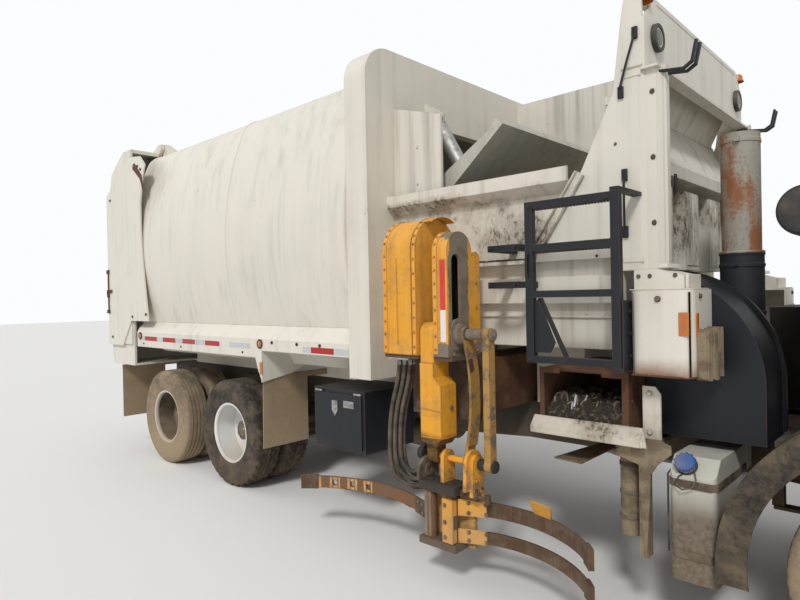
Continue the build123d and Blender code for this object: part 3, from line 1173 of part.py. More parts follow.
def arm_links():
    """The curved lever and the straight link bar beside the box arm."""
    lever_x0 = CAP_X1 + 8
    lever_x1 = lever_x0 + 24
    half = 36.0
    middle_y = ARM_PIVOT_Y + 75
    spine = ThreePointArc((lever_x0, ARM_PIVOT_Y, ARM_PIVOT_Z),
                          (lever_x0, middle_y, 0.5 * (ARM_PIVOT_Z + WRIST_Z)),
                          (lever_x0, ARM_PIVOT_Y, WRIST_Z))
    radius = spine.radius
    centre = spine.arc_center
    outer = bar((lever_x0, centre.Y, centre.Z), (lever_x1, centre.Y, centre.Z), radius + half)
    outer -= bar((lever_x0 - 1, centre.Y, centre.Z), (lever_x1 + 1, centre.Y, centre.Z), radius - half)
    lever = outer & block(lever_x0 - 1, lever_x1 + 1, ARM_PIVOT_Y - 200, ARM_PIVOT_Y + 400, WRIST_Z,
                          ARM_PIVOT_Z)
    for z in (ARM_PIVOT_Z, WRIST_Z):
        lever += bar((lever_x0, ARM_PIVOT_Y, z), (lever_x1, ARM_PIVOT_Y, z), half + 8)
    link_x0 = WHEELBASE - 2044.0
    link_x1 = WHEELBASE - 1994.0
    link = block(link_x0, link_x1, ARM_PIVOT_Y - 30, ARM_PIVOT_Y + 30, WRIST_Z, ARM_PIVOT_Z)
    for z in (ARM_PIVOT_Z, WRIST_Z):
        link += bar((link_x0, ARM_PIVOT_Y, z), (link_x1, ARM_PIVOT_Y, z), 40)
    links = lever + link
    for z in (ARM_PIVOT_Z, WRIST_Z):
        links -= bar((WHEELBASE - 2300, ARM_PIVOT_Y, z), (WHEELBASE - 1900, ARM_PIVOT_Y, z),
                     ARM_PIN_R + PIN_GAP)
    return links


FINGER_PIVOT_Y = -1420.0
REAR_FINGER_X = WHEELBASE - 2450.0
FRONT_FINGER_X = WHEELBASE - 2280.0
FINGER_PIN_R = 18.0
HEAD_LOW_Z = 250.0
HEAD_TOP_Z = 640.0


def gripper_head():
    """The gripper's frame: wrist ears and pin, back plate and the two hinge posts."""
    head = bar((LOWER_ARM_X0 + 2, ARM_PIVOT_Y, WRIST_Z), (PIN_END_X, ARM_PIVOT_Y, WRIST_Z), ARM_PIN_R)
    for x in (WHEELBASE - 2368.0, WHEELBASE - 2138.0):
        ear = cross_profile([(ARM_PIVOT_Y - 60, 600), (ARM_PIVOT_Y + 60, 600), (ARM_PIVOT_Y + 55, WRIST_Z),
                             (ARM_PIVOT_Y - 55, WRIST_Z)], x, x + 30)
        ear += bar((x, ARM_PIVOT_Y, WRIST_Z), (x + 30, ARM_PIVOT_Y, WRIST_Z), 55)
        head += ear
    back_y0 = ARM_PIVOT_Y + 20
    head += block(WHEELBASE - 2540, WHEELBASE - 2100, back_y0 - 20, back_y0 + 30, 560, HEAD_TOP_Z)
    head += block(WHEELBASE - 2540, WHEELBASE - 2160, back_y0, back_y0 + 30, HEAD_LOW_Z, 560)
    for z in (HEAD_LOW_Z, HEAD_TOP_Z - 40):
        head += block(REAR_FINGER_X - 60, FRONT_FINGER_X + 60, FINGER_PIVOT_Y - 50, back_y0 + 30, z, z + 40)
    for x in (REAR_FINGER_X, FRONT_FINGER_X):
        head += bar((x, FINGER_PIVOT_Y, HEAD_LOW_Z), (x, FINGER_PIVOT_Y, HEAD_TOP_Z), FINGER_PIN_R)
    return head


def finger_band(pivot_x, middle, tip, z0, z1, thickness):
    """A curved flat band from the hinge post through a middle point to its tip."""
    start = (pivot_x, FINGER_PIVOT_Y)
    arc = ThreePointArc((start[0], start[1], z0), (middle[0], middle[1], z0), (tip[0], tip[1], z0))
    centre = arc.arc_center
    radius = arc.radius
    low = (centre.X, centre.Y, z0)
    high = (centre.X, centre.Y, z1)
    ring = bar(low, high, radius + 0.5 * thickness)
    ring -= bar((low[0], low[1], z0 - 1), (high[0], high[1], z1 + 1), radius - 0.5 * thickness)
    wedge_r = radius + 200
    angles = [math.atan2(point[1] - centre.Y, point[0] - centre.X) for point in (start, tip)]
    mid_angle = 0.5 * (angles[0] + angles[1])
    corners = [(centre.X, centre.Y)]
    for angle in (angles[0], mid_angle, angles[1]):
        reach = 1.3 * wedge_r
        corners.append((centre.X + reach * math.cos(angle), centre.Y + reach * math.sin(angle)))
    wedge = plan_profile(corners, z0 - 1, z1 + 1)
    return ring & wedge


def finger(pivot_x, middle, tip, bands, thickness):
    """A gripper finger: its hinge tube and its bands."""
    tube_low = HEAD_LOW_Z + 40 + SEAT_GAP
    tube_high = HEAD_TOP_Z - 40 - SEAT_GAP
    piece = bar((pivot_x, FINGER_PIVOT_Y, tube_low), (pivot_x, FINGER_PIVOT_Y, tube_high), 38)
    for z0, z1 in bands:
        piece += finger_band(pivot_x, middle, tip, z0, z1, thickness)
    return piece - bar((pivot_x, FINGER_PIVOT_Y, 0), (pivot_x, FINGER_PIVOT_Y, 1000), FINGER_PIN_R + PIN_GAP)


def rear_finger():
    """The single band that closes from the rear, pierced by round holes."""
    piece = finger(REAR_FINGER_X, (WHEELBASE - 3150, -1265), (WHEELBASE - 3700, -1510), [(375, 465)], 18)
    for x in (WHEELBASE - 3610, WHEELBASE - 3470, WHEELBASE - 3330, WHEELBASE - 3190):
        piece -= bar((x, -1700, 420), (x, -1100, 420), 20)
    return piece


def front_fingers():
    """The pair of bands that close from the front."""
    bands = [(300, 375), (470, 560)]
    return finger(FRONT_FINGER_X, (WHEELBASE - 1780, -1300), (WHEELBASE - 1270, -1590), bands, 18)


HOSE_D = 30.0
HOSE_END_Z = 1010.0
# Each hose hangs in a loop: its rows hold the top end's x and y, how far the loop swings to
# the rear, the far end's x and y, and the loop's lowest z, with x measured from the casing
HOSE_TABLE = ((25.0, -1290.0, 110.0, 265.0, -1180.0, 500.0), (65.0, -1277.0, 110.0, 225.0, -1193.0, 545.0),
              (105.0, -1265.0, 110.0, 185.0, -1205.0, 590.0), (30.0, -1330.0, 110.0, 260.0, -1222.0, 520.0),
              (70.0, -1318.0, 110.0, 220.0, -1236.0, 570.0), (110.0, -1306.0, 110.0, 180.0, -1249.0, 620.0))


def hose(top_x, top_y, swing, end_x, end_y, low_z):
    """One hose as a tube of straight runs and tangent arcs."""
    top_z = MAST_LOW_Z - 25
    start_x = CASING_X0 + top_x
    loop_x = start_x - swing
    far_x = CASING_X0 + end_x
    points = [(start_x, top_y, top_z), (start_x, top_y, 1300), (loop_x, top_y, 1000), (loop_x, top_y, low_z),
              (far_x, end_y, low_z), (far_x, end_y, HOSE_END_Z)]
    radii = []
    for before, corner, after in zip(points, points[1:], points[2:]):
        first = Vector(*corner) - Vector(*before)
        second = Vector(*after) - Vector(*corner)
        turn = math.radians(first.get_angle(second))
        radii.append(min(400.0, 0.47 * min(first.length, second.length) / math.tan(0.5 * turn)))
    path = FilletPolyline(*points, radius=radii)
    section = Plane(origin=points[0], z_dir=path % 0) * Circle(0.5 * HOSE_D)
    return sweep(section, path)


def hoses():
    """The hose loops that hang from the mast's case to the hose block."""
    return join([hose(*row) for row in HOSE_TABLE])


# Cab

def cab_side(inset):
    """The cab's side outline: a stepped sill, a raked screen and a flat roof."""
    return [(CAB_REAR_X + inset, CAB_STEP_Z + inset), (CAB_STEP_X + inset, CAB_STEP_Z + inset),
            (CAB_STEP_X + inset, CAB_LOW_Z + inset), (CAB_FRONT_X - inset, CAB_LOW_Z + inset),
            (CAB_FRONT_X - inset, CAB_BELT_Z), (CAB_FRONT_X - 130 - inset, CAB_TOP_Z - 80 - inset),
            (CAB_FRONT_X - 210 - inset, CAB_TOP_Z - inset), (CAB_REAR_X + 60 + inset, CAB_TOP_Z - inset),
            (CAB_REAR_X + inset, CAB_TOP_Z - 60 - inset)]


DOOR_X0 = WHEELBASE + 320.0
DOOR_X1 = WHEELBASE + 1280.0
DOOR_TOP_Z = 2640.0
DOOR_LOW_Z = 830.0


def door_outline(grow):
    """The door's outline with its corner cut away over the wheel, grown by a gap."""
    g = grow
    return [(DOOR_X0 - g, DOOR_TOP_Z + g), (DOOR_X1 - 60 + g, DOOR_TOP_Z + g), (DOOR_X1 + g, CAB_BELT_Z),
            (DOOR_X1 + g, DOOR_LOW_Z - g), (CAB_STEP_X + 70 - g, DOOR_LOW_Z - g),
            (CAB_STEP_X + 50 - g, CAB_STEP_Z + 20 - g), (DOOR_X0 - g, CAB_STEP_Z + 60 - g)]


DOOR_HINGE_ZS = (1000.0, 1560.0)
DOOR_KNUCKLE_R = 16.0
DOOR_KNUCKLE_H = 60.0
DOOR_PIN_R = 8.0
DOOR_LEAF_W = 55.0


def upright(radius, z0, z1):
    """A round bar on the right-hand door's hinge line."""
    return bar((DOOR_X1, -CAB_Y, z0), (DOOR_X1, -CAB_Y, z1), radius)


def door_knuckles():
    """The door's hinge knuckles and leaves."""
    pieces = []
    for z in DOOR_HINGE_ZS:
        top = z + DOOR_KNUCKLE_H
        knuckle = upright(DOOR_KNUCKLE_R, z, top)
        knuckle += block(DOOR_X1 - DOOR_LEAF_W, DOOR_X1, -CAB_Y - 10, -CAB_Y + 5, z, top)
        pieces.append(knuckle)
    return join(pieces)


def cab_lugs():
    """The cab's hinge lugs and leaves with their pins, above the door's knuckles."""
    pieces = []
    for z in DOOR_HINGE_ZS:
        low = z + DOOR_KNUCKLE_H + SEAT_GAP
        top = z + 2 * DOOR_KNUCKLE_H
        lug = upright(DOOR_KNUCKLE_R, low, top)
        lug += block(DOOR_X1, DOOR_X1 + DOOR_LEAF_W, -CAB_Y - 10, -CAB_Y + 5, low, top)
        lug += upright(DOOR_PIN_R, z, top)
        pieces.append(lug)
    return join(pieces)


def hinge_pockets(low, high, radius):
    """Round pockets on the hinge line, from low to high above each hinge's foot."""
    return join([upright(radius, z + low, z + high) for z in DOOR_HINGE_ZS])


WINDOW = [(DOOR_X0 + 90, DOOR_TOP_Z - 110), (DOOR_X1 - 150, DOOR_TOP_Z - 110),
          (DOOR_X1 - 90, CAB_BELT_Z + 70),
          (DOOR_X0 + 90, CAB_BELT_Z + 70)]


def windscreen_cut(depth_back):
    """The opening in the cab's raked front, drawn across the truck."""
    low = CAB_BELT_Z + 60
    top = CAB_TOP_Z - 190
    return block(CAB_FRONT_X - depth_back, CAB_FRONT_X + 1, -CAB_Y + 110, CAB_Y - 110, low, top)


def cab_shell():
    """The hollow cab with its window, door and engine tunnel openings."""
    outer = side_profile(cab_side(0), -CAB_Y, CAB_Y)
    inner = side_profile(cab_side(CAB_WALL), -CAB_Y + CAB_WALL, CAB_Y - CAB_WALL)
    tunnel_skin = block(CAB_REAR_X, TUNNEL_FRONT_X + 40, -TUNNEL_Y - 40, TUNNEL_Y + 40, 0, TUNNEL_TOP_Z + 40)
    tunnel = block(CAB_REAR_X - 1, TUNNEL_FRONT_X, -TUNNEL_Y, TUNNEL_Y, 0, TUNNEL_TOP_Z)
    low_tunnel = block(CAB_REAR_X - 1, CAB_FRONT_X + 1, -TUNNEL_Y, TUNNEL_Y, 0, RAIL_TOP + 30)
    low_skin = block(CAB_REAR_X, CAB_FRONT_X, -TUNNEL_Y - 40, TUNNEL_Y + 40, 0, RAIL_TOP + 70)
    shell = outer - (inner - tunnel_skin - low_skin) - tunnel - low_tunnel
    opening = side_profile(door_outline(DOOR_GAP), -CAB_Y - 1, -CAB_Y + CAB_WALL + MOVE_GAP)
    opening += hinge_pockets(-MOVE_GAP, DOOR_KNUCKLE_H + SEAT_GAP, DOOR_KNUCKLE_R + MOVE_GAP)
    shell -= both_sides(opening)
    shell += both_sides(cab_lugs())
    shell -= windscreen_cut(220)
    rear_low = CAB_BELT_Z + 200
    shell -= block(CAB_REAR_X - 1, CAB_REAR_X + CAB_WALL + 1, -520, 520, rear_low, rear_low + 480)
    shell -= block(CAB_FRONT_X - CAB_WALL - 1, CAB_FRONT_X + 1, -620, 620, GRILLE_Z0, GRILLE_Z1)
    for side in (-1, 1):
        y = side * 560.0
        shell += block(CAB_PIVOT_X - 40, CAB_PIVOT_X + 40, y - 30, y + 30, CAB_PIVOT_Z, CAB_LOW_Z + 10)
        shell += bar((CAB_PIVOT_X, y - 30, CAB_PIVOT_Z), (CAB_PIVOT_X, y + 30, CAB_PIVOT_Z), 55)
        shell -= bar((CAB_PIVOT_X, y - 31, CAB_PIVOT_Z), (CAB_PIVOT_X, y + 31, CAB_PIVOT_Z), 25 + PIN_GAP)
    return shell


GRILLE_Z0 = 1130.0
GRILLE_Z1 = 1600.0


def grille():
    """The grille in the cab's front: a frame with level slats."""
    x0 = CAB_FRONT_X - CAB_WALL
    x1 = CAB_FRONT_X - 4
    frame = block(x0, x1, -620, 620, GRILLE_Z0, GRILLE_Z1) - block(x0 - 1, x1 + 1, -580, 580, GRILLE_Z0 + 40,
                                                                   GRILLE_Z1 - 40)
    count = 6
    pitch = (GRILLE_Z1 - GRILLE_Z0 - 80) / (count + 1)
    for step in range(1, count + 1):
        z = GRILLE_Z0 + 40 + step * pitch
        frame += block(x0 + 8, x1 - 6, -580, 580, z - 14, z + 14)
    return frame


def cab_glass():
    """The windscreen and the rear pane, seated in the cab's openings."""
    slope = (CAB_FRONT_X - 130 - CAB_FRONT_X) / (CAB_TOP_Z - 80 - CAB_BELT_Z)
    low = CAB_BELT_Z + 60
    top = CAB_TOP_Z - 190
    x_low = CAB_FRONT_X - 20 + slope * (low - CAB_BELT_Z)
    x_top = CAB_FRONT_X - 20 + slope * (top - CAB_BELT_Z)
    screen = side_profile([(x_low, low), (x_low - 8, low), (x_top - 8, top), (x_top, top)], -CAB_Y + 110,
                          CAB_Y - 110)
    rear_low = CAB_BELT_Z + 200
    rear = block(CAB_REAR_X + 18, CAB_REAR_X + 24, -520, 520, rear_low, rear_low + 480)
    return screen + rear


def door():
    """The right-hand door, as thick as the cab's side, with its window cut."""
    panel = side_profile(door_outline(0), -CAB_Y, -CAB_Y + CAB_WALL)
    panel -= side_profile(WINDOW, -CAB_Y - 1, -CAB_Y + CAB_WALL + 1)
    panel -= hinge_pockets(DOOR_KNUCKLE_H, 2 * DOOR_KNUCKLE_H + MOVE_GAP, DOOR_KNUCKLE_R + MOVE_GAP)
    panel += door_knuckles()
    panel -= hinge_pockets(-1, DOOR_KNUCKLE_H + 1, DOOR_PIN_R + PIN_GAP)
    return panel


def door_glass():
    """The right-hand door's pane."""
    return side_profile(WINDOW, -CAB_Y + 18, -CAB_Y + 24)


def cab_interior():
    """Two seats, the dashboard and the steering wheel on its column."""
    floor = CAB_LOW_Z + CAB_WALL
    pieces = []
    for y in (-0.5 * (TUNNEL_Y + 40 + CAB_Y - CAB_WALL), 0.5 * (TUNNEL_Y + 40 + CAB_Y - CAB_WALL)):
        deck = CAB_STEP_Z + CAB_WALL
        seat = block(WHEELBASE + 150, WHEELBASE + 650, y - 230, y + 230, deck, deck + 260)
        seat += side_profile([(WHEELBASE + 40, deck + 200), (WHEELBASE + 160, deck + 200),
                              (WHEELBASE + 120, deck + 1000), (WHEELBASE + 10, deck + 980)],
                             y - 220, y + 220)
        pieces.append(seat)
    dash_front = CAB_FRONT_X - CAB_WALL - 80
    dash = side_profile([(dash_front, 1300), (dash_front, CAB_BELT_Z - 20),
                         (dash_front - 230, CAB_BELT_Z - 60),
                         (dash_front - 150, 1660)], -CAB_Y + CAB_WALL + 30, CAB_Y - CAB_WALL - 30)
    dash += block(dash_front, dash_front + 80, -1000, 1000, 1600, 1690)
    wheel_y = 620.0
    wheel = Pos(WHEELBASE + 960, wheel_y, CAB_BELT_Z + 20) * Rot(0, 25, 0) * Torus(205, 15)
    wheel += bar((WHEELBASE + 960, wheel_y, CAB_BELT_Z + 20),
                 (dash_front - 150, wheel_y, CAB_BELT_Z - 90), 28)
    wheel += Pos(WHEELBASE + 960, wheel_y, CAB_BELT_Z + 20) * Rot(0, 25, 0) * Box(400, 40, 16)
    pieces.append(dash + wheel)
    return join(pieces)


MIRROR_Y = 1540.0


def mirrors():
    """A tall mirror on each side, on two arms from the cab's front corner."""
    x = CAB_FRONT_X - 100
    low = 1900.0
    high = 2480.0
    case = block(x - 40, x + 30, -MIRROR_Y, -MIRROR_Y + 200, low, high)
    case = fillet(case.edges().filter_by(Axis.X), 35)
    for z in (low + 60, high - 80):
        case += bar((x - 5, -MIRROR_Y + 100, z), (x - 5, -CAB_Y, z), 14)
    return both_sides(case)


def cab_mount():
    """The front cross bracket and pins that the cab tips on."""
    y = 560.0
    half = 45.0
    plate_y = TUNNEL_Y - MOVE_GAP
    end_y = y - 30 - SEAT_GAP
    post = block(CAB_PIVOT_X - half, CAB_PIVOT_X + half, RAIL_Y, plate_y, CAB_PIVOT_Z - half, 900)
    post += block(CAB_PIVOT_X - half, CAB_PIVOT_X + half, plate_y, end_y, CAB_PIVOT_Z - half, CAB_PIVOT_Z)
    post += block(CAB_PIVOT_X - half, CAB_PIVOT_X, plate_y, end_y, CAB_PIVOT_Z, CAB_PIVOT_Z + 30)
    post += bar((CAB_PIVOT_X, plate_y, CAB_PIVOT_Z), (CAB_PIVOT_X, end_y, CAB_PIVOT_Z), 34)
    pin = bar((CAB_PIVOT_X, y - 70, CAB_PIVOT_Z), (CAB_PIVOT_X, y + 40, CAB_PIVOT_Z), 25)
    return both_sides(post + pin)


# Every node by name, with the function that makes it
NODES = {
    "frame_rails": lambda: frame_rails() + cab_mount(),
    "axles": axles,
    "suspension": suspension,
    "engine_block": engine_block,
    "fuel_tank": fuel_tank,
    "def_tank": def_tank,
    "side_boxes": side_boxes,
    "strut_brackets": strut_brackets,
    "exhaust_stack": exhaust_stack,
    "packer_cover": packer_cover,
    "service_tanks": lambda: service_tanks() + air_tanks(),
    "bumper": bumper,
    "front_fenders": front_fenders,
    "body_shell": body_shell,
    "collar": lambda: collar() + ram_brackets(),
    "side_rails": side_rails,
    "mudflaps": mudflaps,
    "tailgate": tailgate,
    "hopper_walls": lambda: hopper_walls() + both_sides(crusher_pins()),
    "header_frame": header_frame,
    "corner_boxes": corner_boxes,
    "reach_housing": reach_housing,
    "side_guard": side_guard,
    "side_gate": side_gate,
    "crusher_panel": crusher_panel,
    "crusher_barrels": crusher_barrels,
    "crusher_rods": crusher_rods,
    "reach_beam": reach_beam,
    "mast_casing": mast_casing,
    "slot_mast": slot_mast,
    "lift_carriage": lift_carriage,
    "lower_arm": lower_arm,
    "arm_links": arm_links,
    "gripper_head": gripper_head,
    "rear_finger": rear_finger,
    "front_fingers": front_fingers,
    "hoses": hoses,
    "cab_shell": cab_shell,
    "cab_glass": cab_glass,
    "cab_interior": cab_interior,
    "grille": grille,
    "mirrors": mirrors,
    "door_right": door,
    "door_right_glass": door_glass,
    "door_left": lambda: other_side(door()),
    "door_left_glass": lambda: other_side(door_glass()),
    "knuckle_right": knuckle,
    "knuckle_left": lambda: other_side(knuckle()),
    "front_tyre_right": front_tyre,
    "front_tyre_left": lambda: other_side(front_tyre()),
    "front_rim_right": front_rim,
    "front_rim_left": lambda: other_side(front_rim()),
    "rear_rims_right_1": lambda: rear_rims(0.0),
    "rear_rims_right_2": lambda: rear_rims(TANDEM),
    "rear_rims_left_1": lambda: other_side(rear_rims(0.0)),
    "rear_rims_left_2": lambda: other_side(rear_rims(TANDEM)),
    "rear_tyres_right_1": lambda: rear_tyres(0.0),
    "rear_tyres_right_2": lambda: rear_tyres(TANDEM),
    "rear_tyres_left_1": lambda: other_side(rear_tyres(0.0)),
    "rear_tyres_left_2": lambda: other_side(rear_tyres(TANDEM)),
}


def save(name, shape):
    """Write one node, with the truck's middle moved to the origin."""
    solids = [Pos(-X_MID, 0, 0) * solid for solid in shape.solids()]
    node = solids[0] if len(solids) == 1 else Compound(children=solids)
    node.label = name
    export_step(node, os.path.join("parts", name + ".step"))


os.makedirs("parts", exist_ok=True)
for node_name, make_node in NODES.items():
    save(node_name, make_node())
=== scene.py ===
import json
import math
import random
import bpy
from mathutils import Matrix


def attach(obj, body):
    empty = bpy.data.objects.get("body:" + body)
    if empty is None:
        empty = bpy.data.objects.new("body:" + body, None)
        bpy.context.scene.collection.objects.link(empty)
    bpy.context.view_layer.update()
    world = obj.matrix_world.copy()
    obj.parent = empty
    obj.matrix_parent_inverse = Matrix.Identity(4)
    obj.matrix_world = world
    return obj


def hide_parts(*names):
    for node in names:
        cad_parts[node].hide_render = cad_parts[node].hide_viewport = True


bl_info = {
    "name": "Side-loading garbage truck",
    "version": (1, 0, 0),
    "blender": (4, 5, 0),
    "location": "3D View > Sidebar > Truck",
    "description": "Dresses the packed side-loading garbage truck with its finishes and fittings",
    "category": "Object",
}

import bmesh
import bpy
from mathutils import Matrix, Vector, noise

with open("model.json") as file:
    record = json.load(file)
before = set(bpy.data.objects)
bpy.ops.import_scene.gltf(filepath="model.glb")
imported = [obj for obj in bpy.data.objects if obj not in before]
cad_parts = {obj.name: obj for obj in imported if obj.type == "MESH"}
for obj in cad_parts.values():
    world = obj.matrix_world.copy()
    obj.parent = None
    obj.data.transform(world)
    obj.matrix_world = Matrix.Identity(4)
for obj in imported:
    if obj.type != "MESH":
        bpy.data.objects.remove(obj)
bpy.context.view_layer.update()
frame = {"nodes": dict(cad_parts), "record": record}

# The middle of the truck, measured from the rearmost axle, in millimetres
X_MID = 3080.0
BODY_MIDDLE_Z = 2300
RIGHT = -1
LEFT = 1
SIDES = (("right", RIGHT), ("left", LEFT))

# The ways that bolts, rings and turned shapes face
FORWARD = (1, 0, 0)
REARWARD = (-1, 0, 0)
TO_RIGHT = (0, -1, 0)
TO_LEFT = (0, 1, 0)
UP = (0, 0, 1)
DOWN = (0, 0, -1)

# The route points of the hanging hoses, in millimetres from the rearmost axle
HOSE_TOP_Z = 1430.0
HOSE_KNEE_Z = 1300.0
HOSE_HIP_Z = 1000.0
HOSE_END_Z = 1010.0
HOSE_SWING = 110.0
HOSE_DIAMETER = 0.03
HOSES = (
    ("hose_1", 3800.0, -1290.0, 4040.0, -1180.0, 500.0, 1.676),
    ("hose_2", 3840.0, -1277.0, 4000.0, -1193.0, 545.0, 1.535),
    ("hose_3", 3880.0, -1265.0, 3960.0, -1205.0, 590.0, 1.396),
    ("hose_4", 3805.0, -1330.0, 4035.0, -1222.0, 520.0, 1.630),
    ("hose_5", 3845.0, -1318.0, 3995.0, -1236.0, 570.0, 1.479),
    ("hose_6", 3885.0, -1306.0, 3955.0, -1249.0, 620.0, 1.329),
)


def at(x, y, z):
    """A point in the row frame, in metres, from millimetres measured at the rearmost axle."""
    return Vector(((x - X_MID) / 1000, y / 1000, z / 1000))


def placed(name, data):
    """A new object in the scene."""
    made = bpy.data.objects.new(name, data)
    bpy.context.scene.collection.objects.link(made)
    return made


# Shader maths


class Socket:
    """A shader socket that Python's operators work on, adding the nodes they stand for."""

    def __init__(self, tree, out=None):
        self.tree = tree
        self.out = out

    def node(self, kind, settings=None, links=None, output=0):
        """Add a node of any type: its settings first, then its sockets' values or links."""
        made = self.tree.nodes.new(kind)
        for name, value in (settings or {}).items():
            if name == "stops":
                self.set_stops(made.color_ramp, value)
            else:
                setattr(made, name, value)
        for key, value in (links or {}).items():
            target = made.inputs[key]
            if isinstance(value, Socket):
                self.tree.links.new(value.out, target)
            else:
                target.default_value = value
        return Socket(self.tree, made.outputs[output])

    def set_stops(self, ramp, stops):
        """Give a colour ramp its stops: pairs of a place and a colour or a grey."""
        while len(ramp.elements) < len(stops):
            ramp.elements.new(1.0)
        for element, (place, value) in zip(ramp.elements, stops):
            element.position = place
            element.color = (value, value, value, 1) if isinstance(value, (int, float)) else (*value, 1)

    def maths(self, operation, *values):
        return self.node("ShaderNodeMath", {"operation": operation}, dict(enumerate(values)))

    def __add__(self, other):
        return self.maths("ADD", self, other)

    __radd__ = __add__

    def __sub__(self, other):
        return self.maths("SUBTRACT", self, other)

    def __rsub__(self, other):
        return self.maths("SUBTRACT", other, self)

    def __mul__(self, other):
        return self.maths("MULTIPLY", self, other)

    __rmul__ = __mul__

    def least(self, other):
        return self.maths("MINIMUM", self, other)

    def most(self, other):
        return self.maths("MAXIMUM", self, other)

    def between(self, low, high):
        """0 below low, 1 above high, smooth between; falls instead if low is above high."""
        return self.node("ShaderNodeMapRange", {"interpolation_type": "SMOOTHSTEP"},
                         {"Value": self, "From Min": low, "From Max": high})

    def noise(self, scale, detail=4.0, rough=0.55):
        """Cloudy noise read at this vector."""
        return self.node("ShaderNodeTexNoise", None,
                         {"Vector": self, "Scale": scale, "Detail": detail, "Roughness": rough})

    def stretched(self, x, y, z):
        """This vector with each of its parts scaled."""
        return self.node("ShaderNodeVectorMath", {"operation": "MULTIPLY"}, {0: self, 1: (x, y, z)})

    def mixed(self, other, factor):
        """This colour turned towards another, a socket or red, green and blue, by a factor."""
        other = other if isinstance(other, Socket) else (*other, 1)
        return self.node("ShaderNodeMix", {"data_type": "RGBA"}, {0: factor, 6: self, 7: other}, 2)

    def bump(self, strength, distance):
        """A normal from this height."""
        return self.node("ShaderNodeBump", None,
                         {"Height": self, "Strength": strength, "Distance": distance})


class Finish:
    """A material under way: its tree, the surface's place and the shader's own sockets."""

    def __init__(self):
        self.material = bpy.data.materials.new("Finish")
        self.material.use_nodes = True
        tree = self.material.node_tree
        self.shader = tree.nodes["Principled BSDF"]
        self.start = Socket(tree)
        self.place = self.start.node("ShaderNodeTexCoord", output="Object")
        parts = self.start.node("ShaderNodeSeparateXYZ", None, {0: self.place}).out.node.outputs
        self.across = Socket(tree, parts["Y"])
        self.height = Socket(tree, parts["Z"])

    def flat(self, rgb):
        """One colour as a socket, to mix from."""
        made = self.start.node("ShaderNodeRGB")
        made.out.default_value = (*rgb, 1)
        return made

    def set(self, **sockets):
        """Link or set the shader's sockets, named with underscores for spaces."""
        for name, value in sockets.items():
            target = self.shader.inputs[name.replace("_", " ")]
            if isinstance(value, Socket):
                self.material.node_tree.links.new(value.out, target)
            else:
                target.default_value = value
        return self.material


DUST = (0.36, 0.27, 0.17)
STAIN = (0.15, 0.12, 0.08)
MUD = (0.20, 0.135, 0.08)
RUST = (0.21, 0.075, 0.025)
DARK_RUST = (0.085, 0.035, 0.018)
GRIME = (0.10, 0.09, 0.075)
SCRAPED = (0.23, 0.19, 0.15)
# Near-black painted shade for the lower arm, below the gripper's box
ARM_PAINTED_SHADE = (0.03, 0.025, 0.02)
BARE = (0.15, 0.115, 0.08)
SPLASHED = (0.21, 0.16, 0.10)
SPATTER = (0.05, 0.038, 0.026)
STACK_PALE = (0.36, 0.335, 0.28)
STACK_RUST = (0.27, 0.095, 0.03)
# Painted shade: the stack and its clamps are painted black below the height given next, in metres
STACK_PAINTED_SHADE = (0.02, 0.022, 0.025)
STACK_SHADE_TOP = 2.07
SOIL = (0.028, 0.02, 0.014)
DRY_SOIL = (0.24, 0.19, 0.13)
FIBRE = (0.55, 0.5, 0.42)
SEAT_CLOTH = (0.05, 0.052, 0.058)
ARM_STAIN = (0.13, 0.06, 0.02)


def worn_edges(finish, radius, low, high):
    """A mask of outer edges, broken up by noise."""
    soft = finish.start.node("ShaderNodeBevel", {"samples": 4}, {"Radius": radius})
    true = finish.start.node("ShaderNodeNewGeometry", output="Normal")
    across = finish.start.node("ShaderNodeVectorMath", {"operation": "DOT_PRODUCT"}, {0: soft, 1: true},
                               "Value")
    broken = finish.place.noise(38.0, 5.0) * 0.16
    return (1.0 - across + broken - 0.07).between(low, high)


def scraped_mask(finish, middle, reach, low):
    """Where the paint is scraped off: beside a line up the piece, and below a height, with ragged edges."""
    ragged = finish.place.noise(11.0, 8.0, 0.72)
    beside = finish.across - middle
    away = beside.most(0.0 - beside) + ragged * 0.10 - 0.05
    foot = (finish.height + ragged * 0.16 - 0.08).between(low + 0.006, low)
    return away.between(reach + 0.004, reach).most(foot)


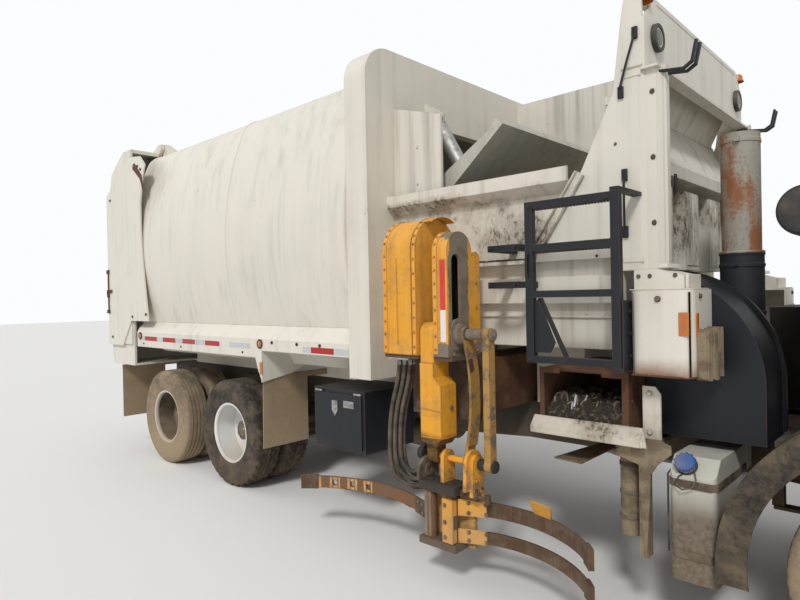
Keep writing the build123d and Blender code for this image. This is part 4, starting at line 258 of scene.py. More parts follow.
def aged_paint(rgb, grime=0.5, rust=0.3, dust_top=0.9, edge=0.35, rough=0.45, stain=STAIN, foot=None,
               splash=None, bare=None, scraped=None):
    """Weathered paint: cloudy fading, streaks that run down, rust spots and dust low down.

    A foot is the colour, top and bottom of a band low down (gathered dirt, and painted shade on the lower
    arm), a splash the heights between which dirt has spattered, bare how much of the paint is rubbed off to
    brown steel, and scraped the place across the truck, half the width and the height of what is scraped down
    to grey steel.
    """
    finish = Finish()
    place = finish.place
    cloud = place.noise(1.7, 5.0)
    fine = place.noise(46.0, 6.0, 0.65)
    streak = place.stretched(11.0, 11.0, 0.4).noise(1.0, 5.0, 0.55)
    thin_streak = place.stretched(46.0, 46.0, 0.9).noise(1.0, 3.0, 0.6)
    faded = tuple(0.93 * part + 0.05 * max(rgb) for part in rgb)
    colour = finish.flat(rgb).mixed(faded, cloud.between(0.42, 0.62))
    runs = (streak.between(0.44, 0.80) * 0.5 + thin_streak.between(0.50, 0.90) * 0.22) * grime
    runs = runs * cloud.between(0.25, 0.65)
    colour = colour.mixed(stain, runs)
    spots = (place.noise(9.0, 8.0, 0.7).between(0.655, 0.71) * streak.between(0.40, 0.60)) * rust
    colour = colour.mixed(RUST, spots)
    if bare:
        rubbed = (place.noise(8.0, 8.0, 0.7) + fine * 0.2).between(0.56, 0.70) * bare
        colour = colour.mixed(BARE, rubbed)
        spots = spots.most(rubbed)
    if scraped:
        metal = scraped_mask(finish, *scraped)
        steel = finish.flat(SCRAPED).mixed(STAIN, (cloud + fine * 0.5).between(0.55, 0.95) * 0.6)
        colour = colour.mixed(steel, metal)
        spots = spots.most(metal * 0.5)
    wear = worn_edges(finish, 0.012, 0.10, 0.26) * edge
    worn = finish.flat(RUST).mixed(GRIME, fine.between(0.4, 0.6))
    colour = colour.mixed(worn, wear)
    dust = (finish.height + cloud * 0.5 - 0.25).between(dust_top, 0.1) * (0.45 + fine * 0.5)
    colour = colour.mixed(DUST, dust * 0.85)
    if splash:
        low, high = splash
        band = finish.height.between(low, 0.6 * low + 0.4 * high) * finish.height.between(high, high - 0.06)
        patches = place.noise(2.6, 6.0, 0.65).between(0.40, 0.62)
        specks = (place.stretched(1.0, 1.0, 0.5).noise(30.0, 10.0, 0.8) + patches * 0.10).between(0.56, 0.68)
        spatter = specks * (0.25 + patches * 0.75) * band
        colour = colour.mixed(SPLASHED, patches * band * 0.5)
        colour = colour.mixed(SPATTER, spatter * 0.8)
        dust = dust.most(spatter)
    if foot:
        # A band low down: gathered dirt on some finishes, and painted shade on the lower arm
        foot_rgb, top, bottom = foot
        low_dirt_and_shade = (finish.height + cloud * 0.16 + fine * 0.05 - 0.10).between(top, bottom)
        colour = colour.mixed(foot_rgb, low_dirt_and_shade * (0.5 + fine * 0.7))
        dust = dust.most(low_dirt_and_shade)
    roughness = (rough + runs * 0.3 + spots * 0.3 + dust * 0.35 + fine * 0.12).least(0.95)
    relief = fine * 0.35 + spots * 0.9 + wear * 0.5 + cloud * 0.6
    return finish.set(Base_Color=colour, Roughness=roughness, Normal=relief.bump(0.25, 0.002),
                      Specular_IOR_Level=0.4)


def rusty_steel(base, scale=6.0, patch_rgb=DARK_RUST, speck_rgb=RUST):
    """Bare steel gone to rust or caked with dirt, with scale and darker patches."""
    finish = Finish()
    patch = finish.place.noise(scale, 7.0, 0.65)
    fine = finish.place.noise(scale * 11, 6.0, 0.7)
    colour = finish.flat(base).mixed(patch_rgb, patch.between(0.4, 0.58))
    colour = colour.mixed(speck_rgb, fine.between(0.5, 0.68) * 0.8)
    colour = colour.mixed(DUST, finish.height.between(0.8, 0.1) * 0.35)
    relief = patch + fine * 0.6
    return finish.set(Base_Color=colour, Roughness=0.7 + fine * 0.25, Metallic=patch.between(0.6, 0.4) * 0.3,
                      Normal=relief.bump(0.5, 0.003))


def dusty_rubber(rgb, mud=0.6, mud_top=0.9, low_rgb=MUD):
    """Rubber with dust in its hollows and mud low down."""
    finish = Finish()
    cloud = finish.place.noise(7.0, 8.0, 0.7)
    fine = finish.place.noise(70.0, 5.0, 0.6)
    colour = finish.flat(rgb).mixed(DUST, (cloud + fine * 0.2).between(0.42, 0.80) * mud)
    low = (finish.height + cloud * 0.3 - 0.15).between(mud_top, 0.0)
    colour = colour.mixed(low_rgb, low * mud * (0.5 + fine))
    return finish.set(Base_Color=colour, Roughness=0.78 + fine * 0.18,
                      Normal=(fine + cloud).bump(0.35, 0.002), Specular_IOR_Level=0.3)


def worn_metal(rgb, rough=0.35):
    """Bare metal with fine scratches and dull patches."""
    finish = Finish()
    patch = finish.place.noise(14.0, 6.0)
    scratch = finish.place.stretched(160.0, 20.0, 30.0).noise(1.0, 4.0)
    colour = finish.flat(rgb).mixed(GRIME, patch.between(0.45, 0.7) * 0.7)
    return finish.set(Base_Color=colour, Metallic=0.85 - patch.between(0.5, 0.7) * 0.5,
                      Roughness=rough + patch * 0.3 + scratch * 0.15,
                      Normal=(scratch + patch).bump(0.15, 0.001))


def moulded(rgb, rough=0.5):
    """Moulded plastic with a fine grain under dust."""
    finish = Finish()
    grain = finish.place.noise(260.0, 2.0)
    cloud = finish.place.noise(5.0, 5.0)
    colour = finish.flat(rgb).mixed(DUST, cloud.between(0.4, 0.75) * 0.3)
    return finish.set(Base_Color=colour, Roughness=rough + cloud * 0.25, Normal=grain.bump(0.12, 0.001))


def dusty_glass(rgb):
    """Glass that is darker than what is behind it, with a film of dust."""
    finish = Finish()
    film = finish.place.noise(6.0, 5.0).between(0.4, 0.8)
    colour = finish.flat(rgb).mixed(DUST, film * 0.3)
    return finish.set(Base_Color=colour, Roughness=0.06 + film * 0.35, Alpha=0.42 + film * 0.2)


def lens(rgb):
    """A ribbed plastic lens."""
    finish = Finish()
    rib = finish.place.node("ShaderNodeTexWave", {"bands_direction": "Z"},
                            {"Vector": finish.place, "Scale": 60.0})
    cloud = finish.place.noise(30.0, 4.0)
    colour = finish.flat(rgb).mixed(GRIME, cloud.between(0.45, 0.75) * 0.35)
    return finish.set(Base_Color=colour, Roughness=0.15 + cloud * 0.25, Normal=rib.bump(0.3, 0.001),
                      Coat_Weight=0.4)


def stack_steel():
    """The exhaust stack: pale steel with orange rust above, and black painted shade on its lower part."""
    finish = Finish()
    cloud = finish.place.stretched(3.0, 3.0, 1.2).noise(1.6, 6.0, 0.65)
    fine = finish.place.noise(60.0, 6.0, 0.7)
    pale = finish.flat(STACK_PALE).mixed(GRIME, fine.between(0.52, 0.7) * 0.5)
    rusted = (cloud + fine * 0.34).between(0.60, 0.80)
    colour = pale.mixed(STACK_RUST, rusted * 0.95)
    # Painted shade: black below a height, with a slightly uneven edge
    lower_shade = (finish.height + fine * 0.02).between(STACK_SHADE_TOP + 0.005, STACK_SHADE_TOP)
    colour = colour.mixed(STACK_PAINTED_SHADE, lower_shade)
    return finish.set(Base_Color=colour, Roughness=0.55 + fine * 0.3, Metallic=(1.0 - rusted) * 0.15,
                      Normal=(fine + cloud).bump(0.3, 0.002))


def loose_dirt():
    """Dry rubbish and soil."""
    finish = Finish()
    clod = finish.place.noise(34.0, 8.0, 0.7)
    fibre = finish.place.stretched(150.0, 60.0, 90.0).noise(1.0, 5.0, 0.7)
    colour = finish.flat(SOIL).mixed(DRY_SOIL, clod.between(0.48, 0.72))
    colour = colour.mixed(FIBRE, fibre.between(0.68, 0.74) * 0.7)
    return finish.set(Base_Color=colour, Roughness=0.92, Normal=(clod + fibre).bump(0.9, 0.012))


def seat_fabric():
    """Woven seat cloth under dust."""
    finish = Finish()
    weave = finish.place.stretched(700.0, 700.0, 700.0).noise(1.0, 2.0)
    cloud = finish.place.noise(7.0, 5.0)
    colour = finish.flat(SEAT_CLOTH).mixed(DUST, cloud.between(0.4, 0.75) * 0.35)
    return finish.set(Base_Color=colour, Roughness=0.9, Normal=weave.bump(0.4, 0.001), Sheen_Weight=0.2)


# The materials by name, which make_finishes fills in
FINISHES = {}

# The finish of single nodes that differ from their record's slot
NODE_FINISHES = {
    "def_tank": "tank_grey",
    "slot_mast": "mast_scraped",
    # The lower arm is darkened low down as painted shade
    "lower_arm": "arm_shaded_low",
    "arm_links": "lever_worn",
    "gripper_head": "arm_scuffed",
    "lift_carriage": "scraped_steel",
    "reach_beam": "arm_worn",
    "corner_boxes": "corner_cream",
    "side_rails": "rail_cream",
    "front_fenders": "fender_rubber",
    "exhaust_stack": "stack_steel",
    "strut_brackets": "caked_mud",
    "front_fingers": "arm_worn",
    "rear_finger": "band_brown",
    "rear_rims_right_1": "muddy_steel",
    "rear_rims_left_1": "muddy_steel",
    "rear_rims_right_2": "rim_white",
    "rear_rims_left_2": "rim_white",
    "crusher_panel": "crusher_cream",
    "hopper_walls": "hopper_cream",
}


def make_finishes(paint):
    """Every finish of the truck, by name."""
    body = tuple(paint.body_colour)
    arm = tuple(paint.arm_colour)
    FINISHES.update({
        "body_cream": aged_paint(body, 0.5, 0.5, 0.5, 0.35),
        "cab_white": aged_paint(body, 0.3, 0.25, 1.0, 0.2),
        "arm_yellow": aged_paint(arm, 0.85, 1.0, 0.8, 1.0, 0.5, ARM_STAIN, bare=0.2),
        "arm_scuffed": aged_paint(arm, 1.0, 1.0, 0.9, 1.0, 0.55, ARM_STAIN, bare=0.7),
        "mast_scraped": aged_paint(arm, 0.8, 1.0, 0.9, 1.0, 0.55, ARM_STAIN, bare=0.25,
                                   scraped=(-1.325, 0.09, 1.53)),
        # Painted shade: the lower arm turns near-black below about 0.93 m, under the box
        "arm_shaded_low": aged_paint(arm, 0.85, 1.0, 0.8, 1.0, 0.5, ARM_STAIN, bare=0.25,
                                  foot=(ARM_PAINTED_SHADE, 0.96, 0.90)),
        "scraped_steel": rusty_steel((0.25, 0.205, 0.16), 9.0, (0.15, 0.12, 0.09), (0.29, 0.20, 0.12)),
        "lever_worn": aged_paint((0.40, 0.22, 0.05), 1.0, 1.0, 0.9, 1.0, 0.6, ARM_STAIN, bare=1.0),
        "guard_black": aged_paint((0.008, 0.010, 0.014), 0.08, 0.3, 0.7, 0.3, 0.42),
        "frame_black": aged_paint((0.018, 0.017, 0.016), 0.2, 0.5, 1.3, 0.3, 0.6),
        "rim_paint": aged_paint((0.62, 0.58, 0.5), 0.5, 0.6, 0.9, 0.4, 0.6),
        "rusty_steel": rusty_steel((0.16, 0.085, 0.045)),
        "engine_grey": rusty_steel((0.06, 0.058, 0.055), 4.0),
        "bare_steel": worn_metal((0.42, 0.41, 0.39)),
        "tank_steel": worn_metal((0.52, 0.52, 0.51), 0.3),
        "tyre": dusty_rubber((0.022, 0.021, 0.02), 0.3, 0.5),
        "flap_rubber": dusty_rubber((0.17, 0.13, 0.085), 0.9, 2.2, DUST),
        "fender_rubber": dusty_rubber((0.02, 0.019, 0.018), 0.35, 0.9),
        "hose_rubber": dusty_rubber((0.035, 0.034, 0.033), 0.4, 0.5),
        "trim_black": moulded((0.02, 0.02, 0.021)),
        "glass": dusty_glass((0.05, 0.06, 0.06)),
        "lens_red": lens((0.42, 0.02, 0.015)),
        "lens_amber": lens((0.52, 0.15, 0.015)),
        "lens_clear": lens((0.75, 0.75, 0.72)),
        "cap_blue": moulded((0.02, 0.09, 0.28)),
        "hopper_cream": aged_paint(body, 1.0, 0.9, 0.6, 0.5, 0.6, splash=(1.95, 2.58)),
        "rail_cream": aged_paint(body, 0.5, 1.6, 0.5, 0.7),
        "crusher_cream": aged_paint((0.50, 0.48, 0.41), 1.0, 0.6, 0.6, 0.4, 0.6),
        "corner_cream": aged_paint(body, 0.6, 0.8, 0.6, 0.5, 0.5, foot=(RUST, 1.50, 1.40)),
        "fouled_cream": aged_paint(body, 1.0, 1.0, 2.0, 1.0, 0.7, splash=(0.92, 1.20)),
        "stack_steel": stack_steel(),
        "arm_worn": aged_paint((0.085, 0.045, 0.022), 0.8, 1.0, 0.35, 1.0, 0.7, bare=0.6),
        "band_brown": aged_paint((0.19, 0.085, 0.032), 0.8, 1.0, 0.25, 1.0, 0.7, bare=0.4),
        "band_ochre": aged_paint((0.60, 0.35, 0.12), 1.0, 1.0, 0.25, 1.0, 0.6, bare=0.5),
        "dusty_tyre": dusty_rubber((0.10, 0.083, 0.062), 0.8, 1.2, DUST),
        "rim_white": aged_paint((0.74, 0.74, 0.72), 0.2, 0.25, 0.5, 0.1, 0.4),
        "muddy_steel": rusty_steel((0.19, 0.155, 0.11), 8.0, (0.07, 0.052, 0.036), (0.17, 0.10, 0.05)),
        "caked_mud": rusty_steel((0.30, 0.235, 0.155), 9.0, (0.14, 0.105, 0.065), (0.22, 0.165, 0.105)),
        # Near-black steel; inside the mast's slot it serves as painted shade
        "grease_and_shade_steel": rusty_steel((0.035, 0.03, 0.026), 9.0, (0.018, 0.016, 0.014), (0.10, 0.075, 0.05)),
        "tank_grey": aged_paint((0.50, 0.48, 0.41), 0.9, 0.2, 0.9, 0.3, 0.6,
                                foot=((0.12, 0.085, 0.055), 0.86, 0.66)),
        "deep_rust": rusty_steel((0.11, 0.052, 0.028), 9.0),
        "loose_dirt": loose_dirt(),
        "tape_red": aged_paint((0.40, 0.014, 0.016), 0.6, 0.1, 0.3, 0.1, 0.35),
        "tape_white": aged_paint((0.52, 0.53, 0.54), 0.6, 0.1, 0.3, 0.1, 0.35),
        "bright_red": aged_paint((0.66, 0.018, 0.010), 0.25, 0.0, 0.3, 0.0, 0.35),
        "bright_white": aged_paint((0.74, 0.74, 0.74), 0.25, 0.0, 0.3, 0.0, 0.35),
        "dark_lens": lens((0.02, 0.02, 0.022)),
        "mirror": worn_metal((0.8, 0.8, 0.8), 0.05),
        "seat_fabric": seat_fabric(),
    })
    for name, material in FINISHES.items():
        material.name = name


# Mesh building


def arc_through(start, middle, end, count):
    """Points of the circle through three points of a plane, from start to end."""
    (ax, ay), (bx, by), (cx, cy) = start, middle, end
    turn = 2 * (ax * (by - cy) + bx * (cy - ay) + cx * (ay - by))
    a2, b2, c2 = ax * ax + ay * ay, bx * bx + by * by, cx * cx + cy * cy
    ox = (a2 * (by - cy) + b2 * (cy - ay) + c2 * (ay - by)) / turn
    oy = (a2 * (cx - bx) + b2 * (ax - cx) + c2 * (bx - ax)) / turn
    radius = math.hypot(ax - ox, ay - oy)
    first = math.atan2(ay - oy, ax - ox)
    last = math.atan2(cy - oy, cx - ox)
    half = math.atan2(by - oy, bx - ox)
    while last < first:
        last += 2 * math.pi
    while half < first:
        half += 2 * math.pi
    if half > last:
        last -= 2 * math.pi
    return [(ox + radius * math.cos(first + (last - first) * step / count),
             oy + radius * math.sin(first + (last - first) * step / count)) for step in range(count + 1)]


def arc_between(start, middle, end, count):
    """Points of the circle through three points, from the first to the last, either way round."""
    line = arc_through(start, middle, end, count)
    if abs(line[0][0] - start[0]) > 1 or min(abs(x - middle[0]) + abs(y - middle[1]) for x, y in line) > 40:
        line = arc_through(end, middle, start, count)[::-1]
    return line


def around(count, start=0.0):
    """The angles that cut a full turn in equal steps, from a starting angle."""
    return [start + 2 * math.pi * step / count for step in range(count)]


def half_round(middle, centre_z, radius, steps):
    """The (y, z) points of a half circle over a centre, from the side that the radius' sign gives."""
    turns = [math.pi * step / steps for step in range(steps + 1)]
    return [(middle + radius * math.cos(turn), centre_z + abs(radius) * math.sin(turn)) for turn in turns]


def ways_along(points):
    """The direction of a line at each of its points."""
    ways = []
    for index in range(len(points)):
        before = points[max(index - 1, 0)]
        after = points[min(index + 1, len(points) - 1)]
        ways.append(Vector([last - first for first, last in zip(before, after)]).normalized())
    return ways


def heap_height(x0, x1, y0, y1, base, tall, seed, x, y):
    """The height of a heap of loose dirt at one place."""
    place = Vector((x / 70, y / 70, seed))
    lump = 0.5 + 0.5 * noise.fractal(place, 0.8, 2.2, 6) + 0.25 * noise.noise(place * 3.1)
    edge = min(1.0, 9 * min(x - x0, x1 - x) / (x1 - x0), 9 * min(y - y0, y1 - y) / (y1 - y0))
    return base + tall * max(0.02, (0.62 + 0.42 * lump) * max(edge, 0.0) ** 0.5)


class Form:
    """Solids gathered into one mesh, in millimetres measured from the rearmost axle."""

    def __init__(self):
        self.mesh = bmesh.new()

    def prism(self, points, way):
        """A polygon of points carried along a vector."""
        low = [self.mesh.verts.new(point) for point in points]
        high = [self.mesh.verts.new(Vector(point) + Vector(way)) for point in points]
        count = len(points)
        self.mesh.faces.new(low[::-1])
        self.mesh.faces.new(high)
        for index in range(count):
            after = (index + 1) % count
            self.mesh.faces.new((low[index], low[after], high[after], high[index]))
        return self

    def block(self, x0, x1, y0, y1, z0, z1):
        """A box between two opposite corners."""
        return self.prism([(x0, y0, z0), (x1, y0, z0), (x1, y1, z0), (x0, y1, z0)], (0, 0, z1 - z0))

    def side_plate(self, points, y0, y1):
        """A polygon of (x, z) points, carried from y0 to y1."""
        return self.prism([(x, y0, z) for x, z in points], (0, y1 - y0, 0))

    def cross_plate(self, points, x0, x1):
        """A polygon of (y, z) points, carried from x0 to x1."""
        return self.prism([(x0, y, z) for y, z in points], (x1 - x0, 0, 0))

    def plan_plate(self, points, z0, z1):
        """A polygon of (x, y) points, carried from z0 to z1."""
        return self.prism([(x, y, z0) for x, y in points], (0, 0, z1 - z0))

    def rings(self, rows, closed=True, ends=False):
        """Join rows of points into a skin; a row of one point closes it like a cone.

        A skin that isn't closed is open along its rows, and ends are flat caps on its first and last row.
        """
        made = [[self.mesh.verts.new(point) for point in row] for row in rows]
        for first, second in zip(made, made[1:]):
            count = max(len(first), len(second))
            for step in range(count if closed else count - 1):
                after = (step + 1) % count
                if len(first) == 1 and len(second) == 1:
                    continue
                if len(first) == 1:
                    self.mesh.faces.new((first[0], second[after], second[step]))
                elif len(second) == 1:
                    self.mesh.faces.new((first[step], first[after], second[0]))
                else:
                    self.mesh.faces.new((first[step], first[after], second[after], second[step]))
        if ends:
            for row in (rows[0], rows[-1]):
                self.mesh.faces.new([self.mesh.verts.new(point) for point in row])
        return made

    def turned(self, centre, axis, profile, sides=24):
        """A profile of (radius, distance along the axis) pairs, turned about the axis."""
        axis = Vector(axis).normalized()
        side = axis.orthogonal().normalized()
        other = axis.cross(side)
        centre = Vector(centre)
        rows = []
        for radius, along in profile:
            middle = centre + axis * along
            if radius < 0.001:
                rows.append([middle])
                continue
            rows.append([middle + (side * math.cos(turn) + other * math.sin(turn)) * radius
                         for turn in around(sides)])
        self.rings(rows)
        return self

    def bar(self, start, end, radius, sides=16):
        """A round bar between two points."""
        way = Vector(end) - Vector(start)
        return self.turned(start, way, [(0, 0), (radius, 0), (radius, way.length), (0, way.length)], sides)

    def ring(self, centre, axis, outer, inner, length, sides=28):
        """A flat-faced ring that stands out from its centre along the axis."""
        profile = [(inner, 0), (outer, 0), (outer, 0.8 * length), (0.97 * outer, length), (inner, length)]
        return self.turned(centre, axis, [*profile, profile[0]], sides)

    def bolt(self, centre, axis, across=19, height=12):
        """A six-sided bolt head with a chamfer, on a washer."""
        radius = across / 2
        washer = 0.2 * height
        self.turned(centre, axis, [(0, 0), (1.3 * radius, 0), (1.3 * radius, washer), (0, washer)], 12)
        return self.turned(centre, axis, [(0, washer), (radius, washer), (radius, 0.85 * height),
                                          (0.86 * radius, height), (0, height)], 6)

    def bolts(self, places, axis, across, height):
        """A bolt head at each of some places, all facing one way."""
        for place in places:
            self.bolt(place, axis, across, height)
        return self

    def pipe(self, points, radius, sides=10):
        """A round tube that follows points."""
        points = [Vector(point) for point in points]
        rows = [[points[0]]]
        side = None
        for point, way in zip(points, ways_along(points)):
            side = way.orthogonal() if side is None else side - way * side.dot(way)
            side.normalize()
            other = way.cross(side)
            rows.append([point + (side * math.cos(turn) + other * math.sin(turn)) * radius
                         for turn in around(sides)])
        rows.append([points[-1]])
        self.rings(rows)
        return self

    def ribbon(self, points, x0, x1, low, high):
        """A bead along (y, z) points of the body's outline, from low to high above it."""
        rows = []
        for (y, z), way in zip(points, ways_along(points)):
            out = Vector((way.y, -way.x))
            if out.dot(Vector((y, z - BODY_MIDDLE_Z))) < 0:
                out = -out
            near = Vector((y, z)) + out * low
            far = Vector((y, z)) + out * high
            inset = 0.25 * (x1 - x0)
            rows.append([(x0, *near), (x0 + inset, *far), (x1 - inset, *far), (x1, *near)])
        self.rings(rows)
        return self

    def band(self, line, z0, z1, low, high):
        """An upright plate along a plan curve, from low to high outward of it."""
        rows = []
        for (x, y), way in zip(line, ways_along(line)):
            out = Vector((way.y, -way.x))
            if out.y > 0:
                out = -out
            near = Vector((x, y)) + out * low
            far = Vector((x, y)) + out * high
            rows.append([(*near, z0), (*far, z0), (*far, z1), (*near, z1)])
        self.rings(rows, ends=True)
        return self

    def heap(self, x0, x1, y0, y1, base, tall, seed, steps=44):
        """A heap of loose dirt that thins to its edges and stands on its base."""
        count = max(6, round(steps * (y1 - y0) / (x1 - x0)))
        stations = [x0 + (x1 - x0) * (step / steps) for step in range(steps + 1)]
        rows = []
        for step in range(count + 1):
            y = y0 + (y1 - y0) * (step / count)
            rows.append([(x, y, heap_height(x0, x1, y0, y1, base, tall, seed, x, y)) for x in stations])
        top = self.rings(rows, closed=False)
        rim = top[0] + [row[-1] for row in top[1:-1]] + top[-1][::-1] + [row[0] for row in top[-2:0:-1]]
        foot = [self.mesh.verts.new((vert.co.x, vert.co.y, base - 4)) for vert in rim]
        for index in range(len(rim)):
            after = (index + 1) % len(rim)
            self.mesh.faces.new((rim[index], rim[after], foot[after], foot[index]))
        self.mesh.faces.new(foot)
        return self

    def pad(self, centre, size, lean=0.0, channels=0, steps=28):
        """A crowned cushion: a soft-cornered block whose top is sewn in channels."""
        half = Vector(size) / 2
        turn = Matrix.Rotation(lean, 3, "Y")
        rows = []
        for j in range(steps + 1):
            tall = math.pi * (j / steps - 0.5)
            row = []
            for i in range(2 * steps):
                wide = math.pi * i / steps
                level = math.cos(tall)
                way = Vector((level * math.cos(wide), level * math.sin(wide), math.sin(tall)))
                norm = sum(abs(part) ** 4.5 for part in way) ** (1 / 4.5)
                point = way / norm
                crown = 0.10 * (1 - point.x ** 2) * (1 - point.y ** 2)
                dip = 0.0
                if channels and point.z > 0.2:
                    dip = 0.07 * max(0.0, math.cos(math.pi * channels * point.y)) ** 14 * (1 - point.x ** 4)
                place = Vector((point.x * half.x, point.y * half.y, point.z * half.z * (1 + crown - dip)))
                row.append(Vector(centre) + turn @ place)
            rows.append([row[0]] if j in (0, steps) else row)
        self.rings(rows)
        return self

    def mirrored(self):
        """Add the same again on the truck's other side."""
        twin = self.mesh.copy()
        bmesh.ops.scale(twin, vec=(1, -1, 1), verts=twin.verts)
        moved = bpy.data.meshes.new("twin")
        twin.to_mesh(moved)
        twin.free()
        self.mesh.from_mesh(moved)
        bpy.data.meshes.remove(moved)
        return self

    def make(self, name, body, finish, slot=None, bevel=0.0, smooth=35.0):
        """Turn it into an object that rides on a body."""
        for vert in self.mesh.verts:
            vert.co = at(*vert.co)
        bmesh.ops.recalc_face_normals(self.mesh, faces=self.mesh.faces)
        data = bpy.data.meshes.new(name)
        self.mesh.to_mesh(data)
        self.mesh.free()
        piece = placed(name, data)
        data.materials.append(FINISHES[finish])
        data.polygons.foreach_set("use_smooth", [True] * len(data.polygons))
        data.set_sharp_from_angle(angle=math.radians(smooth))
        if bevel:
            edge = piece.modifiers.new("Rounded edges", "BEVEL")
            edge.width = bevel / 1000
            edge.segments = 2
            edge.limit_method = "ANGLE"
            edge.angle_limit = math.radians(40)
        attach(piece, body)
        return piece


# Sizes and colours that a user would change


class TruckPaint(bpy.types.PropertyGroup):
    """The truck's colours."""

    body_colour: bpy.props.FloatVectorProperty(
        name="Body colour", description="Paint of the body, hopper and cab", subtype="COLOR",
        default=(0.70, 0.665, 0.575), min=0, max=1)
    arm_colour: bpy.props.FloatVectorProperty(
        name="Arm colour", description="Paint of the lifting arm and gripper", subtype="COLOR",
        default=(0.78, 0.35, 0.022), min=0, max=1)


class TruckSizes(bpy.types.PropertyGroup):
    """The sizes of the truck's fittings."""

    tread_depth: bpy.props.FloatProperty(
        name="Tread depth", description="Depth of the grooves in the tyres", default=0.014, unit="LENGTH")
    tape_height: bpy.props.FloatProperty(
        name="Tape height", description="Height of the reflecting tape", default=0.05, unit="LENGTH")


class Builder:
    """What the truck's operators share."""

    bl_options = {"REGISTER"}

    @property
    def sizes(self):
        return bpy.context.scene.truck_sizes

    @property
    def paint(self):
        return bpy.context.scene.truck_paint


# The camera that was fitted to the photograph, in radians, millimetres and pixels
CAMERA_YAW = 2.3250607
CAMERA_PITCH = -0.0057832
CAMERA_ROLL = -0.0196595
CAMERA_PLACE = (6711.247, -4406.142, 1842.208)
FOCAL_PIXELS = 606.693
PICTURE_PIXELS = 800
SENSOR_WIDTH = 36.0
CLIP_END = 200.0


class TRUCK_OT_camera(Builder, bpy.types.Operator):
    """Set the camera at the photograph's place"""

    bl_idname = "truck.camera"
    bl_label = "Camera"

    def execute(self, context):
        yaw, pitch, roll = CAMERA_YAW, CAMERA_PITCH, CAMERA_ROLL
        reach = math.cos(pitch)
        forward = Vector((reach * math.cos(yaw), reach * math.sin(yaw), math.sin(pitch)))
        level = Vector((math.sin(yaw), -math.cos(yaw), 0))
        upright = level.cross(forward)
        across = math.cos(roll) * level + math.sin(roll) * upright
        up = -math.sin(roll) * level + math.cos(roll) * upright
        data = bpy.data.cameras.new("Photograph")
        data.sensor_width = SENSOR_WIDTH
        data.lens = FOCAL_PIXELS / PICTURE_PIXELS * SENSOR_WIDTH
        data.clip_end = CLIP_END
        camera = placed("Photograph", data)
        turn = Matrix((across, up, -forward)).transposed().to_4x4()
        camera.matrix_world = Matrix.Translation(at(*CAMERA_PLACE)) @ turn
        context.scene.camera = camera
        return {"FINISHED"}


FLOOR_HALF = 60.0
FLOOR_COLOUR = (0.80, 0.79, 0.77, 1)
SKY_COLOUR = (0.97, 0.98, 1.0, 1)
WORLD_LIGHT = 0.56
# Each lamp's name, strength, turn in degrees and width in degrees
LAMPS = (("Key", 1.75, (48, 0, 28), 10), ("Fill", 0.35, (60, 0, -70), 40))


class TRUCK_OT_stage(Builder, bpy.types.Operator):
    """Lay the pale floor and set the lamps"""

    bl_idname = "truck.stage"
    bl_label = "Floor and light"

    def execute(self, context):
        context.scene.view_settings.view_transform = "Standard"
        data = bpy.data.meshes.new("Floor")
        corners = [(x * FLOOR_HALF, y * FLOOR_HALF, 0) for x, y in ((-1, -1), (1, -1), (1, 1), (-1, 1))]
        data.from_pydata(corners, [], [(0, 1, 2, 3)])
        floor = placed("Floor", data)
        pale = bpy.data.materials.new("pale_floor")
        pale.use_nodes = True
        shader = pale.node_tree.nodes["Principled BSDF"]
        shader.inputs["Base Color"].default_value = FLOOR_COLOUR
        shader.inputs["Roughness"].default_value = 0.9
        data.materials.append(pale)
        world = bpy.data.worlds.new("Studio")
        world.use_nodes = True
        context.scene.world = world
        start = Socket(world.node_tree)
        seen = start.node("ShaderNodeLightPath", output="Is Camera Ray")
        glossy = start.node("ShaderNodeLightPath", output="Is Glossy Ray")
        through = start.node("ShaderNodeLightPath", output="Is Transmission Ray")
        shows = seen.most(glossy * 0.6).most(through)
        background = world.node_tree.nodes["Background"]
        strength = WORLD_LIGHT + shows * (1 - WORLD_LIGHT)
        background.inputs["Color"].default_value = SKY_COLOUR
        world.node_tree.links.new(strength.out, background.inputs["Strength"])
        for name, energy, turn, width in LAMPS:
            lamp = bpy.data.lights.new(name, "SUN")
            lamp.energy = energy
            lamp.angle = math.radians(width)
            placed(name, lamp).rotation_euler = [math.radians(part) for part in turn]
        return {"FINISHED"}


class TRUCK_OT_finishes(Builder, bpy.types.Operator):
    """Mix the finishes and give each CAD node its own"""

    bl_idname = "truck.finishes"
    bl_label = "Finishes"

    def execute(self, context):
        make_finishes(self.paint)
        slots = {part["node"]: part["material_slot"] for part in frame["record"]["subparts"]}
        for name, node in frame["nodes"].items():
            node.material_slots[0].material = FINISHES[NODE_FINISHES.get(name, slots[name])]
        return {"FINISHED"}


class TRUCK_OT_hoses(Builder, bpy.types.Operator):
    """Hang the hydraulic hoses under the mast"""

    bl_idname = "truck.hoses"
    bl_label = "Hoses"

    def execute(self, context):
        for name, top_x, top_y, end_x, end_y, low_z, length in HOSES:
            loop_x = top_x - HOSE_SWING
            points = (at(top_x, top_y, HOSE_TOP_Z), at(top_x, top_y, HOSE_KNEE_Z),
                      at(loop_x, top_y, HOSE_HIP_Z), at(loop_x, top_y, low_z),
                      at(end_x, end_y, low_z), at(end_x, end_y, HOSE_END_Z))
            data = bpy.data.curves.new(name, "CURVE")
            data.dimensions = "3D"
            data.bevel_depth = HOSE_DIAMETER / 2
            data.bevel_resolution = 4
            data.resolution_u = 24
            spline = data.splines.new("NURBS")
            spline.points.add(len(points) - 1)
            for place, point in zip(spline.points, points):
                place.co = (*point, 1)
            spline.order_u = 3
            spline.use_endpoint_u = True
            hose = placed(name, data)
            data.materials.append(FINISHES["hose_rubber"])
            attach(hose, "reach")
            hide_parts("hoses")
        return {"FINISHED"}


